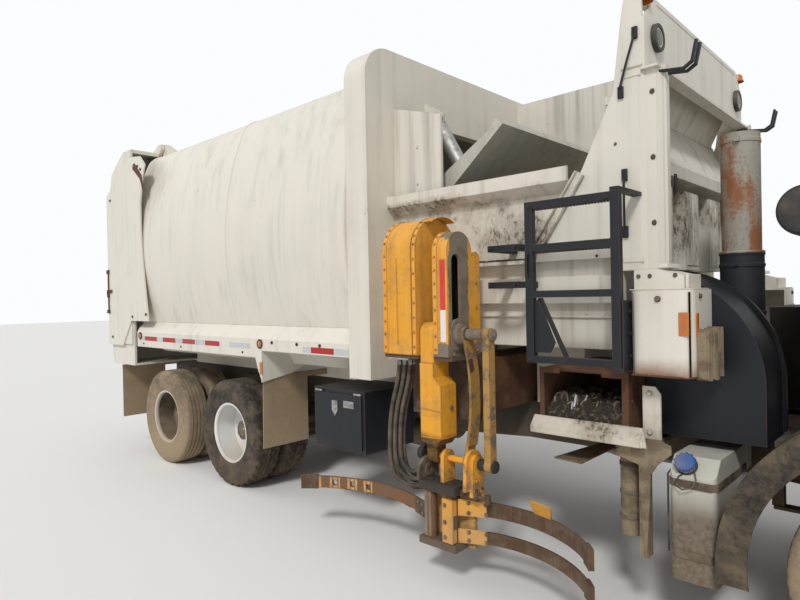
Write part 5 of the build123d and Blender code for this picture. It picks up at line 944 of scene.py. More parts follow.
TYRE_RADIUS = 525
TREAD_EDGE_RADIUS = 515
SHOULDER_RADIUS = 503
BEAD_SHARE = 0.78
RIM_RADIUS = 286
REAR_TYRE_WIDTH = 280
FRONT_TYRE_WIDTH = 315
OUTER_TWIN_Y = 1080
INNER_TWIN_Y = 745
FRONT_WHEEL_Y = 1030
FRONT_AXLE_X = 6600
REAR_AXLES = ((1, 0), (2, 1350))
SIDEWALL = ((286, 0.78), (289, 0.835), (306, 0.885), (318, 0.925), (326, 0.93), (345, 0.955), (385, 0.985),
            (425, 0.998), (436, 1.0), (442, 0.99), (465, 0.975), (487, 0.955), (503, 0.905), (515, 0.85))
GROOVES = ((0.50, 0.43), (0.19, 0.12))
TREAD_STEPS = 192
LUGS = 32
RIBS = 64
# Where a wheel's disc and hub face out, and its hub's radius
REAR_WHEEL = (928.5, 1049, 86)
FRONT_WHEEL = (1106, 1170, 74)
NUTS = 10
NUT_CIRCLE = 165
HUB_BOLTS = 8
RIM_LIP = ((274, 0), (270, 12), (270, 26), (276, 34), (288, 40), (296, 40), (297, 34), (289, 28), (286, 20),
           (286, 0), (274, 0))


def tyre_rows(depth):
    """Rows of (radius, place across as a share of half the width, groove floor) for half a tyre."""
    rows = [(radius, across, False) for radius, across in SIDEWALL]
    rows += [(TYRE_RADIUS - 3, 0.77, False), (TYRE_RADIUS - 1, 0.64, False)]
    floor = TYRE_RADIUS - depth
    for outer, inner in GROOVES:
        rows += [(TYRE_RADIUS, outer + 0.012, False), (floor, outer - 0.006, True),
                 (floor, inner + 0.006, True), (TYRE_RADIUS, inner - 0.012, False)]
    rows.append((TYRE_RADIUS, 0.0, False))
    return rows


def notch_depth(step, across, lugs, skew):
    """How deep a cross groove cuts the tread there, from 0 to 1."""
    if abs(across) < 0.42 and not lugs:
        return 0.0
    count = LUGS if lugs else RIBS
    per = TREAD_STEPS // count
    shift = round(skew * across * per)
    place = (step + shift + (per // 2 if across > 0 else 0)) % per
    if lugs:
        return 1.0 if place < 2 and abs(across) > 0.2 else 0.0
    return 0.35 if place == 0 and abs(across) > 0.55 else 0.0


def add_tyre(form, x, y, width, lugs, depth):
    """A tyre whose tread has ring grooves and cross grooves, cut as lugs or as fine ribs."""
    half = 0.5 * width
    one_side = tyre_rows(depth)
    rows = one_side + [(radius, -across, floor) for radius, across, floor in one_side[-2::-1]]
    skin = []
    for radius, across, floor in rows:
        ring = []
        for step, turn in enumerate(around(TREAD_STEPS)):
            reach = radius
            if radius >= SHOULDER_RADIUS and not floor:
                share = 1.0 if radius > TREAD_EDGE_RADIUS else 0.6
                reach -= depth * notch_depth(step, across, lugs, 1.6) * share
            ring.append((x + reach * math.sin(turn), y + across * half,
                         TYRE_RADIUS - reach * math.cos(turn)))
        skin.append(ring)
    form.rings(skin)
    inner = [[(x + RIM_RADIUS * math.sin(turn), y + across * half, TYRE_RADIUS - RIM_RADIUS * math.cos(turn))
              for turn in around(TREAD_STEPS)] for across in (BEAD_SHARE, -BEAD_SHARE)]
    form.rings(inner)
    bmesh.ops.remove_doubles(form.mesh, verts=form.mesh.verts, dist=0.01)


class TRUCK_OT_tyres(Builder, bpy.types.Operator):
    """Cut the treads of the tyres in place of the plain ones"""

    bl_idname = "truck.tyres"
    bl_label = "Tyres"

    def execute(self, context):
        depth = self.sizes.tread_depth * 1000
        for name, side in SIDES:
            for number, x in REAR_AXLES:
                body = f"rear_wheel_{name}_{number}"
                form = Form()
                for y in (OUTER_TWIN_Y, INNER_TWIN_Y):
                    add_tyre(form, x, side * y, REAR_TYRE_WIDTH, number == 2, depth)
                rubber = "tyre" if number == 2 else "dusty_tyre"
                piece = form.make(f"treads_{name}_{number}", body, rubber, "tyre", smooth=28)
                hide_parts(f"rear_tyres_{name}_{number}")
            form = Form()
            add_tyre(form, FRONT_AXLE_X, side * FRONT_WHEEL_Y, FRONT_TYRE_WIDTH, False, depth)
            piece = form.make(f"front_tread_{name}", f"front_wheel_{name}", "dusty_tyre", "tyre", smooth=28)
            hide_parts(f"front_tyre_{name}")
        return {"FINISHED"}


class TRUCK_OT_wheel_fittings(Builder, bpy.types.Operator):
    """Bolt on the wheel nuts, axle flanges, hub caps and valves"""

    bl_idname = "truck.wheel_fittings"
    bl_label = "Wheel nuts and hubs"

    def execute(self, context):
        for name, side in SIDES:
            for number, x in REAR_AXLES:
                self.wheel(f"rear_nuts_{name}_{number}", f"rear_wheel_{name}_{number}", x, side, *REAR_WHEEL)
            self.wheel(f"front_nuts_{name}", f"front_wheel_{name}", FRONT_AXLE_X, side, *FRONT_WHEEL)
        return {"FINISHED"}

    def wheel(self, piece, body, x, side, disc_y, hub_y, hub_r):
        """The fittings of one wheel."""
        out = (0, side, 0)
        form = Form()
        for turn in around(NUTS):
            place = (x + NUT_CIRCLE * math.cos(turn), side * disc_y,
                     TYRE_RADIUS + NUT_CIRCLE * math.sin(turn))
            form.bolt(place, out, 36, 26)
            form.bar(place, (place[0], side * (disc_y + 38), place[2]), 9, 8)
        flange = [(hub_r + 8, 0), (hub_r + 8, 30), (hub_r - 4, 36), (0.5 * hub_r, 40), (0, 42)]
        form.turned((x, side * (hub_y - 22), TYRE_RADIUS), out, flange, 32)
        circle = 0.78 * hub_r
        for turn in around(HUB_BOLTS, math.pi / HUB_BOLTS):
            place = (x + circle * math.cos(turn), side * (hub_y + 13), TYRE_RADIUS + circle * math.sin(turn))
            form.bolt(place, out, 17, 12)
        form.make(piece, body, "muddy_steel", smooth=30)
        lip = Form()
        face = FRONT_WHEEL_Y + 0.41 * FRONT_TYRE_WIDTH
        if body.startswith("rear"):
            face = OUTER_TWIN_Y + 0.41 * REAR_TYRE_WIDTH
        lip.turned((x, side * (face - 34), TYRE_RADIUS), out, RIM_LIP, 96)
        valve = (x + 215, side * (face - 70), TYRE_RADIUS + 60)
        lip.bar(valve, (x + 232, side * (face - 6), TYRE_RADIUS + 66), 5, 8)
        paint = "rim_white" if body.endswith("_2") else "rim_paint"
        lip.make(piece.replace("nuts", "lip"), body, paint, "rim_paint")


# The body's left half seen from behind: a side arc, a shoulder arc and the roof's
BODY_LINE = ((1125, 1600), (1240, 2474), (1020, 3500), (930, 3618), (800, 3668), (0, 3745))


def body_line(count=24):
    """The (y, z) points of the body's outline, from one sill over the roof to the other."""
    half = arc_through(BODY_LINE[0], BODY_LINE[1], BODY_LINE[2], count)
    half += arc_through(BODY_LINE[2], BODY_LINE[3], BODY_LINE[4], 6)[1:]
    half += [(y, z) for y, z in arc_through(BODY_LINE[4], BODY_LINE[5], (-800, 3668), 16)[1:9]]
    return half + [(-y, z) for y, z in half[-2::-1]]


# The tape along the side rails, as it runs in the photograph
TAPE_RUNS = {"tape_white": ((-620, -472), (-156, -6), (295, 455), (729, 939), (1402, 1769), (2569, 2684),
                            (2977, 3155)),
             "tape_red": ((-472, -156), (-6, 295), (455, 729), (939, 1222), (2684, 2977))}
RAIL_FACE_Y = -1220
RAIL_LAMPS_X = (1936, -590)
RAIL_LAMP_Z = 1430


class TRUCK_OT_body_fittings(Builder, bpy.types.Operator):
    """Weld the body's seam and fit the tape, lamps and bolts of the side rails"""

    bl_idname = "truck.body_fittings"
    bl_label = "Body seam, tape and lamps"

    def execute(self, context):
        seam = Form()
        for x0, x1, high in ((1402, 1424, 9), (-738, -712, 10), (3134, 3158, 8)):
            seam.ribbon(body_line(), x0, x1, -3, high)
        seam.make("body_seams", "chassis", "cab_white", "body_cream", smooth=50)
        tall = self.sizes.tape_height * 1000
        for finish, runs in TAPE_RUNS.items():
            form = Form()
            for x0, x1 in runs:
                low = 1382 if x0 > 2400 else 1378
                form.block(x0, x1, RAIL_FACE_Y - 1.2, RAIL_FACE_Y + 1, low, low + tall)
            form.mirrored().make(f"rail_{finish}", "chassis", finish, "body_cream")
        form = Form()
        for x in RAIL_LAMPS_X:
            form.turned((x, RAIL_FACE_Y, RAIL_LAMP_Z), TO_RIGHT,
                        [(0, 0), (44, 0), (44, 8), (36, 14), (30, 10), (0, 10)], 32)
        form.bolts([(x, RAIL_FACE_Y, 1448) for x in (2125, 2492, 2800)], TO_RIGHT, 24, 12)
        form.bolts([(x, RAIL_FACE_Y, 1340) for x in (-500, 420, 1640)], TO_RIGHT, 19, 9)
        form.mirrored().make("rail_bolts_and_bezels", "chassis", "trim_black", bevel=1.5)
        form = Form()
        form.block(1926, 1966, RAIL_FACE_Y - 6, RAIL_FACE_Y + 1, 1150, 1262)
        form.block(5640, 5690, RAIL_FACE_Y - 5, RAIL_FACE_Y + 1, 1616, 1734)
        form.block(5704, 5710, -1166, -1128, 1612, 1730)
        form.mirrored().make("amber_markers", "chassis", "lens_amber", bevel=2)
        form = Form()
        for x in RAIL_LAMPS_X:
            form.turned((x, RAIL_FACE_Y - 9, RAIL_LAMP_Z), TO_RIGHT,
                        [(0, 6), (18, 5), (30, 0), (30, -4), (0, -4)], 28)
        form.mirrored().make("side_lamps", "chassis", "lens_amber", smooth=60)
        return {"FINISHED"}


REAR_LAMP_Y = 1010
STRIP_STEP = 170


class TRUCK_OT_tailgate_fittings(Builder, bpy.types.Operator):
    """Fit the tailgate's ribs, the rust and painted shade of its slots, its latches and rear lamps"""

    bl_idname = "truck.tailgate_fittings"
    bl_label = "Tailgate fittings"

    def execute(self, context):
        form = Form()
        for y in (-1216, -1010, 970, 1176):
            form.side_plate([(-1448, 1500), (-1448, 3100), (-1462, 3090), (-1462, 1510)], y, y + 40)
        for x, z in ((-1330, 3440), (-1180, 3590)):
            form.block(x - 30, x, -1200, 1200, z, z + 26)
        form.side_plate([(-1010, 3690), (-760, 3690), (-760, 3712), (-1000, 3712)], -1215, 1215)
        form.make("tailgate_ribs", "tailgate", "body_cream", bevel=3)
        # Thin rust-coloured plates where the slots are: rust, and painted shade of their dark recesses
        form = Form()
        outline = [(-600, 3490), (-560, 3500), (-370, 3330), (-330, 3170), (-355, 3150), (-420, 3290),
                   (-620, 3440)]
        form.side_plate(outline, -1264.5, -1261)
        form.mirrored().make("tailgate_slot_rust_and_shade", "tailgate", "deep_rust")
        form = Form()
        for x, z in ((-480, 3450), (-400, 3400), (-330, 3010), (-330, 1690), (-700, 1660), (-1300, 1400),
                     (-1300, 3140)):
            form.bolt((x, -1262, z), TO_RIGHT, 28, 14)
        form.mirrored().make("tailgate_bolts", "tailgate", "muddy_steel")
        latch = Form()
        latch.block(-1440, -1290, -1275, -1225, 1960, 2000)
        latch.bar((-1400, -1262, 1700), (-1400, -1262, 2260), 15, 14)
        latch.turned((-1400, -1262, 1900), UP, [(15, 0), (26, 8), (26, 92), (15, 100)], 14)
        for z in (1720, 2230):
            latch.block(-1430, -1370, -1282, -1240, z - 22, z + 22)
        latch.bar((-1400, -1290, 1955), (-1400, -1225, 1955), 12, 12)
        latch.mirrored().make("tailgate_latches", "tailgate", "deep_rust", bevel=2)
        self.lamps()
        return {"FINISHED"}

    def lamps(self):
        """The rear lamps, the blank number plate and the striped tape."""
        box = Form()
        for side in (RIGHT, LEFT):
            y = side * REAR_LAMP_Y
            box.side_plate([(-1385, 1180), (-1412, 1320), (-1440, 1330), (-1414, 1172)], y - 190, y + 190)
        box.block(-1406, -1392, -170, 170, 1150, 1270)
        box.make("rear_lamp_boxes", "tailgate", "trim_black", bevel=4)
        for finish, places in (("lens_red", (-120, 0)), ("lens_clear", (120,))):
            form = Form()
            for side in (RIGHT, LEFT):
                for offset in places:
                    y = side * (REAR_LAMP_Y + offset)
                    form.turned((-1426, y, 1251), (-1, 0, -0.19),
                                [(0, 11), (30, 9), (48, 2), (50, -3), (0, -3)], 28)
            form.make(f"rear_{finish}", "tailgate", finish, "trim_black", smooth=60)
        form = Form()
        form.block(-1411, -1406, -155, 155, 1160, 1260)
        form.make("blank_plate", "tailgate", "tape_white", bevel=2)
        for finish, start in (("tape_red", 0), ("tape_white", 1)):
            form = Form()
            for step in range(start, 14, 2):
                y = -1190 + step * STRIP_STEP
                form.side_plate([(-1361, 1070), (-1371.5, 1120), (-1373, 1120), (-1362.5, 1070)],
                                y, y + STRIP_STEP)
            form.make(f"rear_{finish}_strip", "tailgate", finish, "body_cream")


class TRUCK_OT_hopper_fittings(Builder, bpy.types.Operator):
    """Fit the hopper's edge channels, hooks and loose dirt"""

    bl_idname = "truck.hopper_fittings"
    bl_label = "Hopper edges and dirt"

    def execute(self, context):
        form = Form()
        foot = Vector((4700, -985, 2165))
        top = Vector((4985, -985, 2580))
        way = (top - foot).normalized()
        out = Vector((way.z, 0, -way.x))
        for near, far in ((0, 8), (52, 60)):
            corners = [foot + out * near, foot + out * far, top + out * far, top + out * near]
            form.prism(corners, (0, -32, 0))
        form.prism([foot, foot + out * 60, top + out * 60, top], (0, -8, 0))
        form.mirrored().make("sheet_edge_channels", "chassis", "hopper_cream", bevel=2)
        dirt = Form()
        dirt.heap(4640, 4800, -1012, -936, 2130, 26, 3.0, 20)
        dirt.heap(3440, 5140, -880, 880, 1521, 60, 9.0, 60)
        dirt.heap(3420, 4660, -996, -930, 2061, 16, 5.0, 60)
        dirt.make("hopper_dirt", "chassis", "loose_dirt", smooth=70)
        hooks = Form()
        for y in (760, 830):
            hooks.side_plate([(3398, 3420), (3398, 3500), (3440, 3490), (3452, 3440), (3430, 3420)],
                             y, y + 12)
        hooks.turned((3430, 795, 3455), TO_LEFT, [(26, -4), (32, -4), (32, 4), (26, 4), (26, -4)], 28)
        hooks.bar((3425, 750, 3455), (3425, 850, 3455), 10)
        hooks.make("collar_hooks", "chassis", "guard_black", bevel=2)
        ribs = Form()
        for y in (-560.0, -60.0, 440.0):
            ribs.block(5348, 5354, y - 110, y + 110, 2010, 2470)
            ribs.bar((5352, y, 2020), (5352, y, 2460), 7, 8)
        ribs.side_plate([(4100, 1780), (5250, 1780), (5250, 1945), (4100, 1945)], -975, -918)
        ribs.side_plate([(4100, 1690), (5250, 1690), (5250, 1700), (4100, 1700)], -935, -918)
        ribs.make("hopper_ribs", "chassis", "hopper_cream", bevel=6)
        plate = Form()
        plate.side_plate([(3398, 2486), (3884, 2486), (3884, 3185), (3398, 3330)], -914, -902)
        plate.side_plate([(3870, 2486), (3884, 2486), (3884, 3185), (3870, 3189)], -924, -914)
        plate.bolts([(3640, -914, z) for z in (2700, 2980)], TO_RIGHT, 18, 8)
        plate.make("hopper_side_plate", "chassis", "hopper_cream", bevel=1.5)
        lines = Form()
        for side in (RIGHT, LEFT):
            y = side * 480
            lines.pipe([(3420, y + 90, 3400), (3470, y + 92, 3330), (3520, y + 82, 3250),
                        (3560, y + 60, 3200), (3566, y + 40, 3180)], 12)
        lines.make("ram_fittings", "crusher_barrels", "hose_rubber")
        return {"FINISHED"}


POST_BOLTS = (2228, 2595, 2962)


class TRUCK_OT_header_fittings(Builder, bpy.types.Operator):
    """Fit the front portal's lamps, brackets, bolts and grab bars"""

    bl_idname = "truck.header_fittings"
    bl_label = "Portal lamps and brackets"

    def execute(self, context):
        bolts = Form()
        bolts.bolts([(5430, -950, z) for z in POST_BOLTS], (0.3, -1, 0), 24, 10)
        for x, z in ((4760, 2120), (4880, 2120), (5100, 2060), (5210, 2060), (5225, 2700)):
            bolts.bolt((x, -980, z), TO_RIGHT, 15, 7)
        bolts.mirrored().make("post_bolts", "chassis", "muddy_steel")
        lamps = Form()
        glass = Form()
        for y in (-820, 820):
            lamps.ring((5406, y, 3300), FORWARD, 80, 56, 26, 40)
            glass.turned((5424, y, 3300), FORWARD, [(0, 6), (30, 5), (57, 0), (57, -8), (0, -8)], 36)
        lamps.make("portal_lamp_bezels", "chassis", "trim_black", bevel=2)
        glass.make("portal_lamp_glass", "chassis", "dark_lens", "trim_black", smooth=60)
        beacon = Form()
        for y in (-935, 935):
            beacon.turned((5390, y, 3478), UP,
                          [(46, 0), (46, 10), (38, 12), (38, 40), (30, 54), (0, 58)], 28)
        beacon.make("amber_beacons", "chassis", "lens_amber", smooth=50)
        bracket = Form()
        line = [(5400, 3072), (5590, 3046), (5640, 3075), (5665, 3190), (5650, 3192), (5627, 3084),
                (5588, 3060), (5400, 3086)]
        for y in (-925, -865, 925, 865):
            bracket.side_plate(line, y - 13, y + 13)
        bracket.make("lamp_brackets", "chassis", "guard_black", bevel=3)
        grabs = Form()
        for (x0, z0), (x1, z1) in (((5350, 3301), (5264, 2985)), ((5279, 2512), (5279, 2186))):
            for x, z in ((x0, z0), (x1, z1)):
                grabs.block(x - 16, x + 16, -996, -978, z - 34, z + 34)
            middle = (0.5 * (x0 + x1) + 6, -1016, 0.5 * (z0 + z1))
            grabs.pipe([(x0, -1000, z0 - 20), middle, (x1, -1000, z1 + 20)], 7)
        grabs.block(5488, 5500, -810, -780, 2400, 2510)
        grabs.mirrored().make("rubber_latches", "chassis", "guard_black", bevel=3)
        folds = Form()
        for z in (2010, 3060):
            folds.block(5262, 5378, -984, -978, z, z + 30)
        folds.side_plate([(5268, 3112), (5388, 3112), (5388, 3126), (5268, 3126)], -990, -979)
        folds.mirrored().make("post_seams", "chassis", "body_cream", bevel=2)
        gutter = Form()
        gutter.block(5392, 5398, -800, 800, 3120, 3170)
        gutter.block(5402, 5407, -800, 800, 3498, 3512)
        gutter.make("header_seams", "chassis", "body_cream", bevel=1.5)
        return {"FINISHED"}


class TRUCK_OT_guard_fittings(Builder, bpy.types.Operator):
    """Cut the side gate's foothold teeth and fit its latch and brace"""

    bl_idname = "truck.guard_fittings"
    bl_label = "Gate teeth and latch"

    def execute(self, context):
        teeth = Form()
        for z in (2090, 2340):
            for x in range(4862, 5310, 18):
                teeth.side_plate([(x, z + 1), (x + 14, z + 1), (x + 7, z - 13)], -1288, -1252)
        teeth.make("gate_teeth", "side_gate", "guard_black", smooth=10)
        brace = Form()
        brace.side_plate([(4852, 1790), (4878, 1815), (4985, 1560), (4950, 1500), (4852, 1500)],
                         -1278, -1272)
        brace.side_plate([(4870, 1818), (4900, 1818), (5060, 1482), (5030, 1482)], -1272, -1262)
        brace.bolts([(x, -1290, z) for z in (1452, 2352) for x in (4825, 5300)], TO_RIGHT, 22, 9)
        brace.bar((4812, -1296, 1960), (4812, -1296, 2060), 9, 10)
        for z in (1940, 2062):
            brace.block(4804, 4822, -1300, -1288, z, z + 18)
        brace.make("gate_brace", "side_gate", "guard_black", bevel=1.5)
        plate = Form()
        plate.side_plate([(5376, 1440), (5384, 1440), (5384, 1790), (5376, 1800)], -1286, -1110)
        plate.bolts([(5384, -1200, z) for z in (1500, 1620, 1740)], FORWARD, 18, 8)
        plate.make("gate_post_plate", "chassis", "guard_black", bevel=2)
        rungs = Form()
        rungs.bolts([(x, -1216, z + 20) for z in (1880, 2110) for x in (4500, 4680)], TO_RIGHT, 18, 8)
        rungs.make("rung_bolts", "chassis", "guard_black", smooth=10)
        return {"FINISHED"}


class TRUCK_OT_corner_fittings(Builder, bpy.types.Operator):
    """Fit the corner panels' bolts, top flange and the finned core beside them"""

    bl_idname = "truck.corner_fittings"
    bl_label = "Corner panels and core"

    def execute(self, context):
        form = Form()
        form.bolts([(5704, -1100, z) for z in (1547, 1815, 1470)], FORWARD, 24, 12)
        form.bolt((5538, -1220, 1803), TO_RIGHT, 26, 14)
        form.bolts([(x, -1141, 1925) for x in (5410, 5470, 5600)], TO_RIGHT, 18, 8)
        form.mirrored().make("corner_bolts", "chassis", "muddy_steel")
        form = Form()
        form.plan_plate([(5388, -1216), (5640, -1216), (5700, -1160), (5700, -920), (5388, -920)],
                        1850, 1856)
        form.block(5646, 5662, -1130, -930, 1850, 1930)
        form.side_plate([(5500, 1966), (5560, 1966), (5552, 1990), (5508, 1990)], -1120, -920)
        form.mirrored().make("corner_flanges", "chassis", "body_cream", bevel=3)
        core = Form()
        rng = random.Random(5)
        for step in range(17):
            y = -965 - step * 11.5
            core.block(5700, 5768 + rng.uniform(-6, 14), y - 8, y,
                       1392 + rng.uniform(-8, 10), 1640 + rng.uniform(-20, 16))
        core.block(5700, 5752, -1162, -960, 1400, 1630)
        core.make("finned_core", "chassis", "caked_mud", bevel=1)
        edge = Form()
        edge.pipe([(5400, -1226, 1404), (5640, -1226, 1404), (5696, -1196, 1404), (5712, -1150, 1404)], 5)
        edge.mirrored().make("corner_edges", "chassis", "deep_rust")
        return {"FINISHED"}


TROUGH_HEAP = (4812, 5328, -1128, -740, 1052, 205, 21.0)
# What lies on the heap: its name, count, reach in x, finish and slot
TROUGH_LITTER = (("trough_scraps", 7, (4960, 5140), "tape_white", "body_cream"),
                 ("trough_sticks", 26, (4840, 5300), "caked_mud", "rusty_steel"))
# The bars of the trough's rim: from and to in x, outer face, bottom and top
TROUGH_RIM = ((4796, 4930, -1140, 1366, 1400), (4930, 5190, -1138, 1388, 1400),
              (5190, 5344, -1140, 1362, 1400), (4796, 4826, -1140, 1042, 1366),
              (5306, 5344, -1142, 1042, 1362), (4826, 5306, -1138, 1040, 1064))


class TRUCK_OT_trough_fittings(Builder, bpy.types.Operator):
    """Fill the trough with dirt and fit its rim and ledge"""

    bl_idname = "truck.trough_fittings"
    bl_label = "Trough and ledge"

    def execute(self, context):
        dirt = Form()
        dirt.heap(*TROUGH_HEAP, 70)
        dirt.make("trough_dirt", "chassis", "loose_dirt", smooth=70)
        rng = random.Random(11)
        for name, count, reach_x, finish, slot in TROUGH_LITTER:
            form = Form()
            for step in range(count):
                x = rng.uniform(*reach_x)
                y = rng.uniform(-1112, -1000)
                turn = rng.uniform(0, math.pi)
                reach = rng.uniform(14, 34)
                along = Vector((math.cos(turn) * reach, math.sin(turn) * reach, 0))
                line = []
                for part in (0.0, 0.5, 1.0):
                    point = Vector((x, y, 0)) + along * part
                    line.append((point.x, point.y, heap_height(*TROUGH_HEAP, point.x, point.y) + 6 * part))
                form.pipe(line, rng.uniform(3, 7), 6)
            form.make(name, "chassis", finish, slot)
        rim = Form()
        for x0, x1, y, z0, z1 in TROUGH_RIM:
            rim.block(x0, x1, y, -1126, z0, z1)
        rim.bolts([(5344, -1100, z) for z in (1100, 1240, 1350)], FORWARD, 18, 8)
        rim.make("trough_rim", "chassis", "deep_rust", bevel=3)
        ledge = Form()
        ledge.cross_plate([(-1196, 1008), (-1196, 1046), (-1142, 1108), (-1138, 1102), (-1188, 1044),
                           (-1188, 1014), (-1120, 1014), (-1120, 1008)], 4758, 5422)
        ledge.prism([(5422, -1196, 1008), (5422, -1196, 1046), (5422, -1142, 1108), (5456, -1190, 1012)],
                    (0, 6, 0))
        ledge.side_plate([(5400, 1040), (5500, 1040), (5500, 1290), (5470, 1330), (5400, 1330)],
                         -1092, -1084)
        ledge.bolts([(5440, -1092, z) for z in (1290, 1080)], TO_RIGHT, 26, 12)
        ledge.make("cream_ledge", "chassis", "fouled_cream", "body_cream", bevel=3)
        outrigger = Form()
        outrigger.plan_plate([(4875, -1125), (5063, -1145), (5051, -430), (4958, -430)], 850, 860)
        outrigger.block(4958, 5051, -440, -430, 800, 850)
        outrigger.side_plate([(5234, 937), (5301, 1008), (5424, 1008), (5424, 1044), (5500, 1050),
                              (5560, 1028), (5562, 982), (5489, 916), (5456, 862), (5402, 852),
                              (5392, 899), (5310, 923)], -1128, -1120)
        outrigger.side_plate([(5390, 860), (5452, 860), (5424, 404), (5410, 404)], -1126, -1120)
        outrigger.make("outrigger_plates", "chassis", "caked_mud", bevel=2)
        return {"FINISHED"}


# The round tops of the mast's two cases: across, up and radius
CASE_ARCH = (-1235.0, 2145.0, 215.0)
MAST_ARCH = (-1322.5, 2122.5, 127.5)
# The line that the arm's pins and the slot stand on, and the pins' heights
ARM_Y = -1365
PIN_Z = 1600
WRIST_Z = 800
# The slot's lower and upper centres and half its width
SLOT = (1545, 2060, 45)


def arch_line(arch, low_z, first=0.0, last=math.pi, steps=20, grow=0.0):
    """The (y, z) points of a round-topped case's outline: up its outer face, then round the top."""
    centre_y, centre_z, radius = arch
    reach = radius + grow
    points = [] if first > 0 else [(centre_y - reach, low_z)]
    for step in range(steps + 1):
        turn = first + (last - first) * step / steps
        points.append((centre_y - reach * math.cos(turn), centre_z + reach * math.sin(turn)))
    return points


def add_cover(form, arch, x0, x1, low_z, thick, first=0.0, last=math.pi, sunk=2.0):
    """A strip that hugs a round-topped case, standing proud by its thickness."""
    near = arch_line(arch, low_z, first, last, grow=-sunk)
    far = arch_line(arch, low_z, first, last, grow=thick)
    form.rings([[(x0, *a), (x0, *b), (x1, *b), (x1, *a)] for a, b in zip(near, far)], ends=True)


def bolt_arch(form, arch, x, pitch, first_z, last, across, height, grow):
    """Bolts up a round-topped case's outer face and round its top."""
    centre_y, centre_z, radius = arch
    reach = radius + grow
    z = first_z
    while z < centre_z:
        form.bolt((x, centre_y - reach, z), TO_RIGHT, across, height)
        z += pitch
    turn = (z - centre_z) / reach
    while turn < last:
        out = (0, -math.cos(turn), math.sin(turn))
        form.bolt((x, centre_y + reach * out[1], centre_z + reach * out[2]), out, across, height)
        turn += 0.62 * pitch / reach


class TRUCK_OT_mast_fittings(Builder, bpy.types.Operator):
    """Bolt on the mast's covers, wear plates and tape"""

    bl_idname = "truck.mast_fittings"
    bl_label = "Mast covers and tape"

    def execute(self, context):
        covers = Form()
        add_cover(covers, CASE_ARCH, 3778, 3816, 1462, 5)
        add_cover(covers, CASE_ARCH, 4046, 4077, 1462, 6, last=2.2)
        add_cover(covers, CASE_ARCH, 4030, 4150, 0, 5, 1.0, 2.1, sunk=-9)
        covers.pipe([(4040, y, z) for y, z in arch_line(CASE_ARCH, 0, 1.0, 2.1, grow=8)], 6)
        add_cover(covers, MAST_ARCH, 4221, 4258, 1470, 5)
        covers.block(3900, 3912, -1453, -1449, 1520, 2100)
        covers.make("mast_covers", "reach", "arm_yellow", bevel=2)
        bolts = Form()
        bolt_arch(bolts, CASE_ARCH, 3797, 88, 1500, 2.6, 15, 7, 5)
        bolt_arch(bolts, CASE_ARCH, 4061, 96, 1510, 2.0, 14, 7, 6)
        bolt_arch(bolts, MAST_ARCH, 4239, 84, 1500, 2.4, 15, 7, 5)
        bolts.bolts([(4341, -1150, z) for z in (1480, 1600, 1760, 1920)], FORWARD, 15, 7)
        bolts.bolts([(4341, y, 1470) for y in (-1400, -1310, -1225)], FORWARD, 16, 7)
        bolts.make("mast_bolts", "reach", "arm_scuffed", "bare_steel")
        foot = Form()
        foot.bolts([(x, -1163, 1400) for x in (3820, 3900, 3990, 4240, 4310)], TO_RIGHT, 28, 13)
        foot.make("mast_foot_bolts", "reach", "muddy_steel")
        self.wear_plate()
        for finish, low, high in (("bright_red", 1752, 2070), ("bright_white", 1552, 1752)):
            form = Form()
            form.block(4280, 4322, -1451.2, -1449, low, high)
            form.make(f"mast_{finish}", "reach", finish, "body_cream")
        ends = Form()
        ends.block(3800, 3990, -1440, -1165, 1418, 1431)
        for _, top_x, top_y, end_x, end_y, _, _ in HOSES:
            ends.turned((top_x, top_y, 1432), DOWN,
                        [(0, 0), (19, 0), (19, 26), (17, 30), (17, 62), (0, 62)], 6)
            ends.turned((end_x, end_y, 1012), DOWN,
                        [(0, 0), (19, 0), (19, 24), (17, 28), (17, 54), (0, 54)], 6)
        ends.make("hose_ends", "reach", "bare_steel", smooth=25)
        return {"FINISHED"}

    def wear_plate(self):
        """Worn steel around the slot, up to the uneven edge of the paint, and dark plates inside the slot as
        painted shade.
        """
        rng = random.Random(7)
        low, high, half = SLOT
        stops = [(high, math.pi * step / 18) for step in range(19)]
        stops += [(high - (high - low) * step / 30, math.pi) for step in range(1, 30)]
        stops += [(low, math.pi + math.pi * step / 18) for step in range(19)]
        stops += [(low + (high - low) * step / 30, 2 * math.pi) for step in range(1, 30)]
        rows = []
        for z, turn in stops:
            out = Vector((-math.cos(turn), math.sin(turn)))
            wide = 30 + 46 * max(0.0, out.x) + 16 * abs(out.y) + rng.uniform(-4, 4)
            near = Vector((ARM_Y, z)) + out * (half + 1)
            far = Vector((ARM_Y, z)) + out * (half + wide)
            rows.append([(4338, *near), (4343, *near), (4342, *far), (4338, *far)])
        plate = Form()
        plate.rings([*rows, rows[0]])
        plate.make("slot_wear_plate", "reach", "scraped_steel")
        # Painted shade: dark plates behind and beside the slot, where the mast's inside is dark
        slot_shade = Form()
        for y0, y1 in ((-1431, -1417), (-1313, -1215)):
            slot_shade.block(4236, 4240, y0, y1, 1476, 2110)
        for y in (-1431, -1217):
            slot_shade.block(4240, 4320, y - 1, y + 3, 1476, 2110)
        slot_shade.make("mast_slot_painted_shade", "reach", "grease_and_shade_steel", "rusty_steel")


# Three points of each finger band's arc, and the heights of the front fingers
FRONT_BAND = ((4320, -1420), (4820, -1300), (5330, -1590))
REAR_BAND = ((4150, -1420), (3450, -1265), (2900, -1510))
FRONT_HEIGHTS = ((292, 383), (462, 568))
REAR_HOLES_X = (2990, 3130, 3270, 3410)


def add_pin_cap(form, z):
    """The cap and bolt on a pin's end."""
    form.turned((4608, ARM_Y, z), FORWARD, [(22, 0), (38, 0), (38, 12), (30, 18), (0, 20)], 24)
    form.bolt((4624, ARM_Y, z), FORWARD, 26, 10)


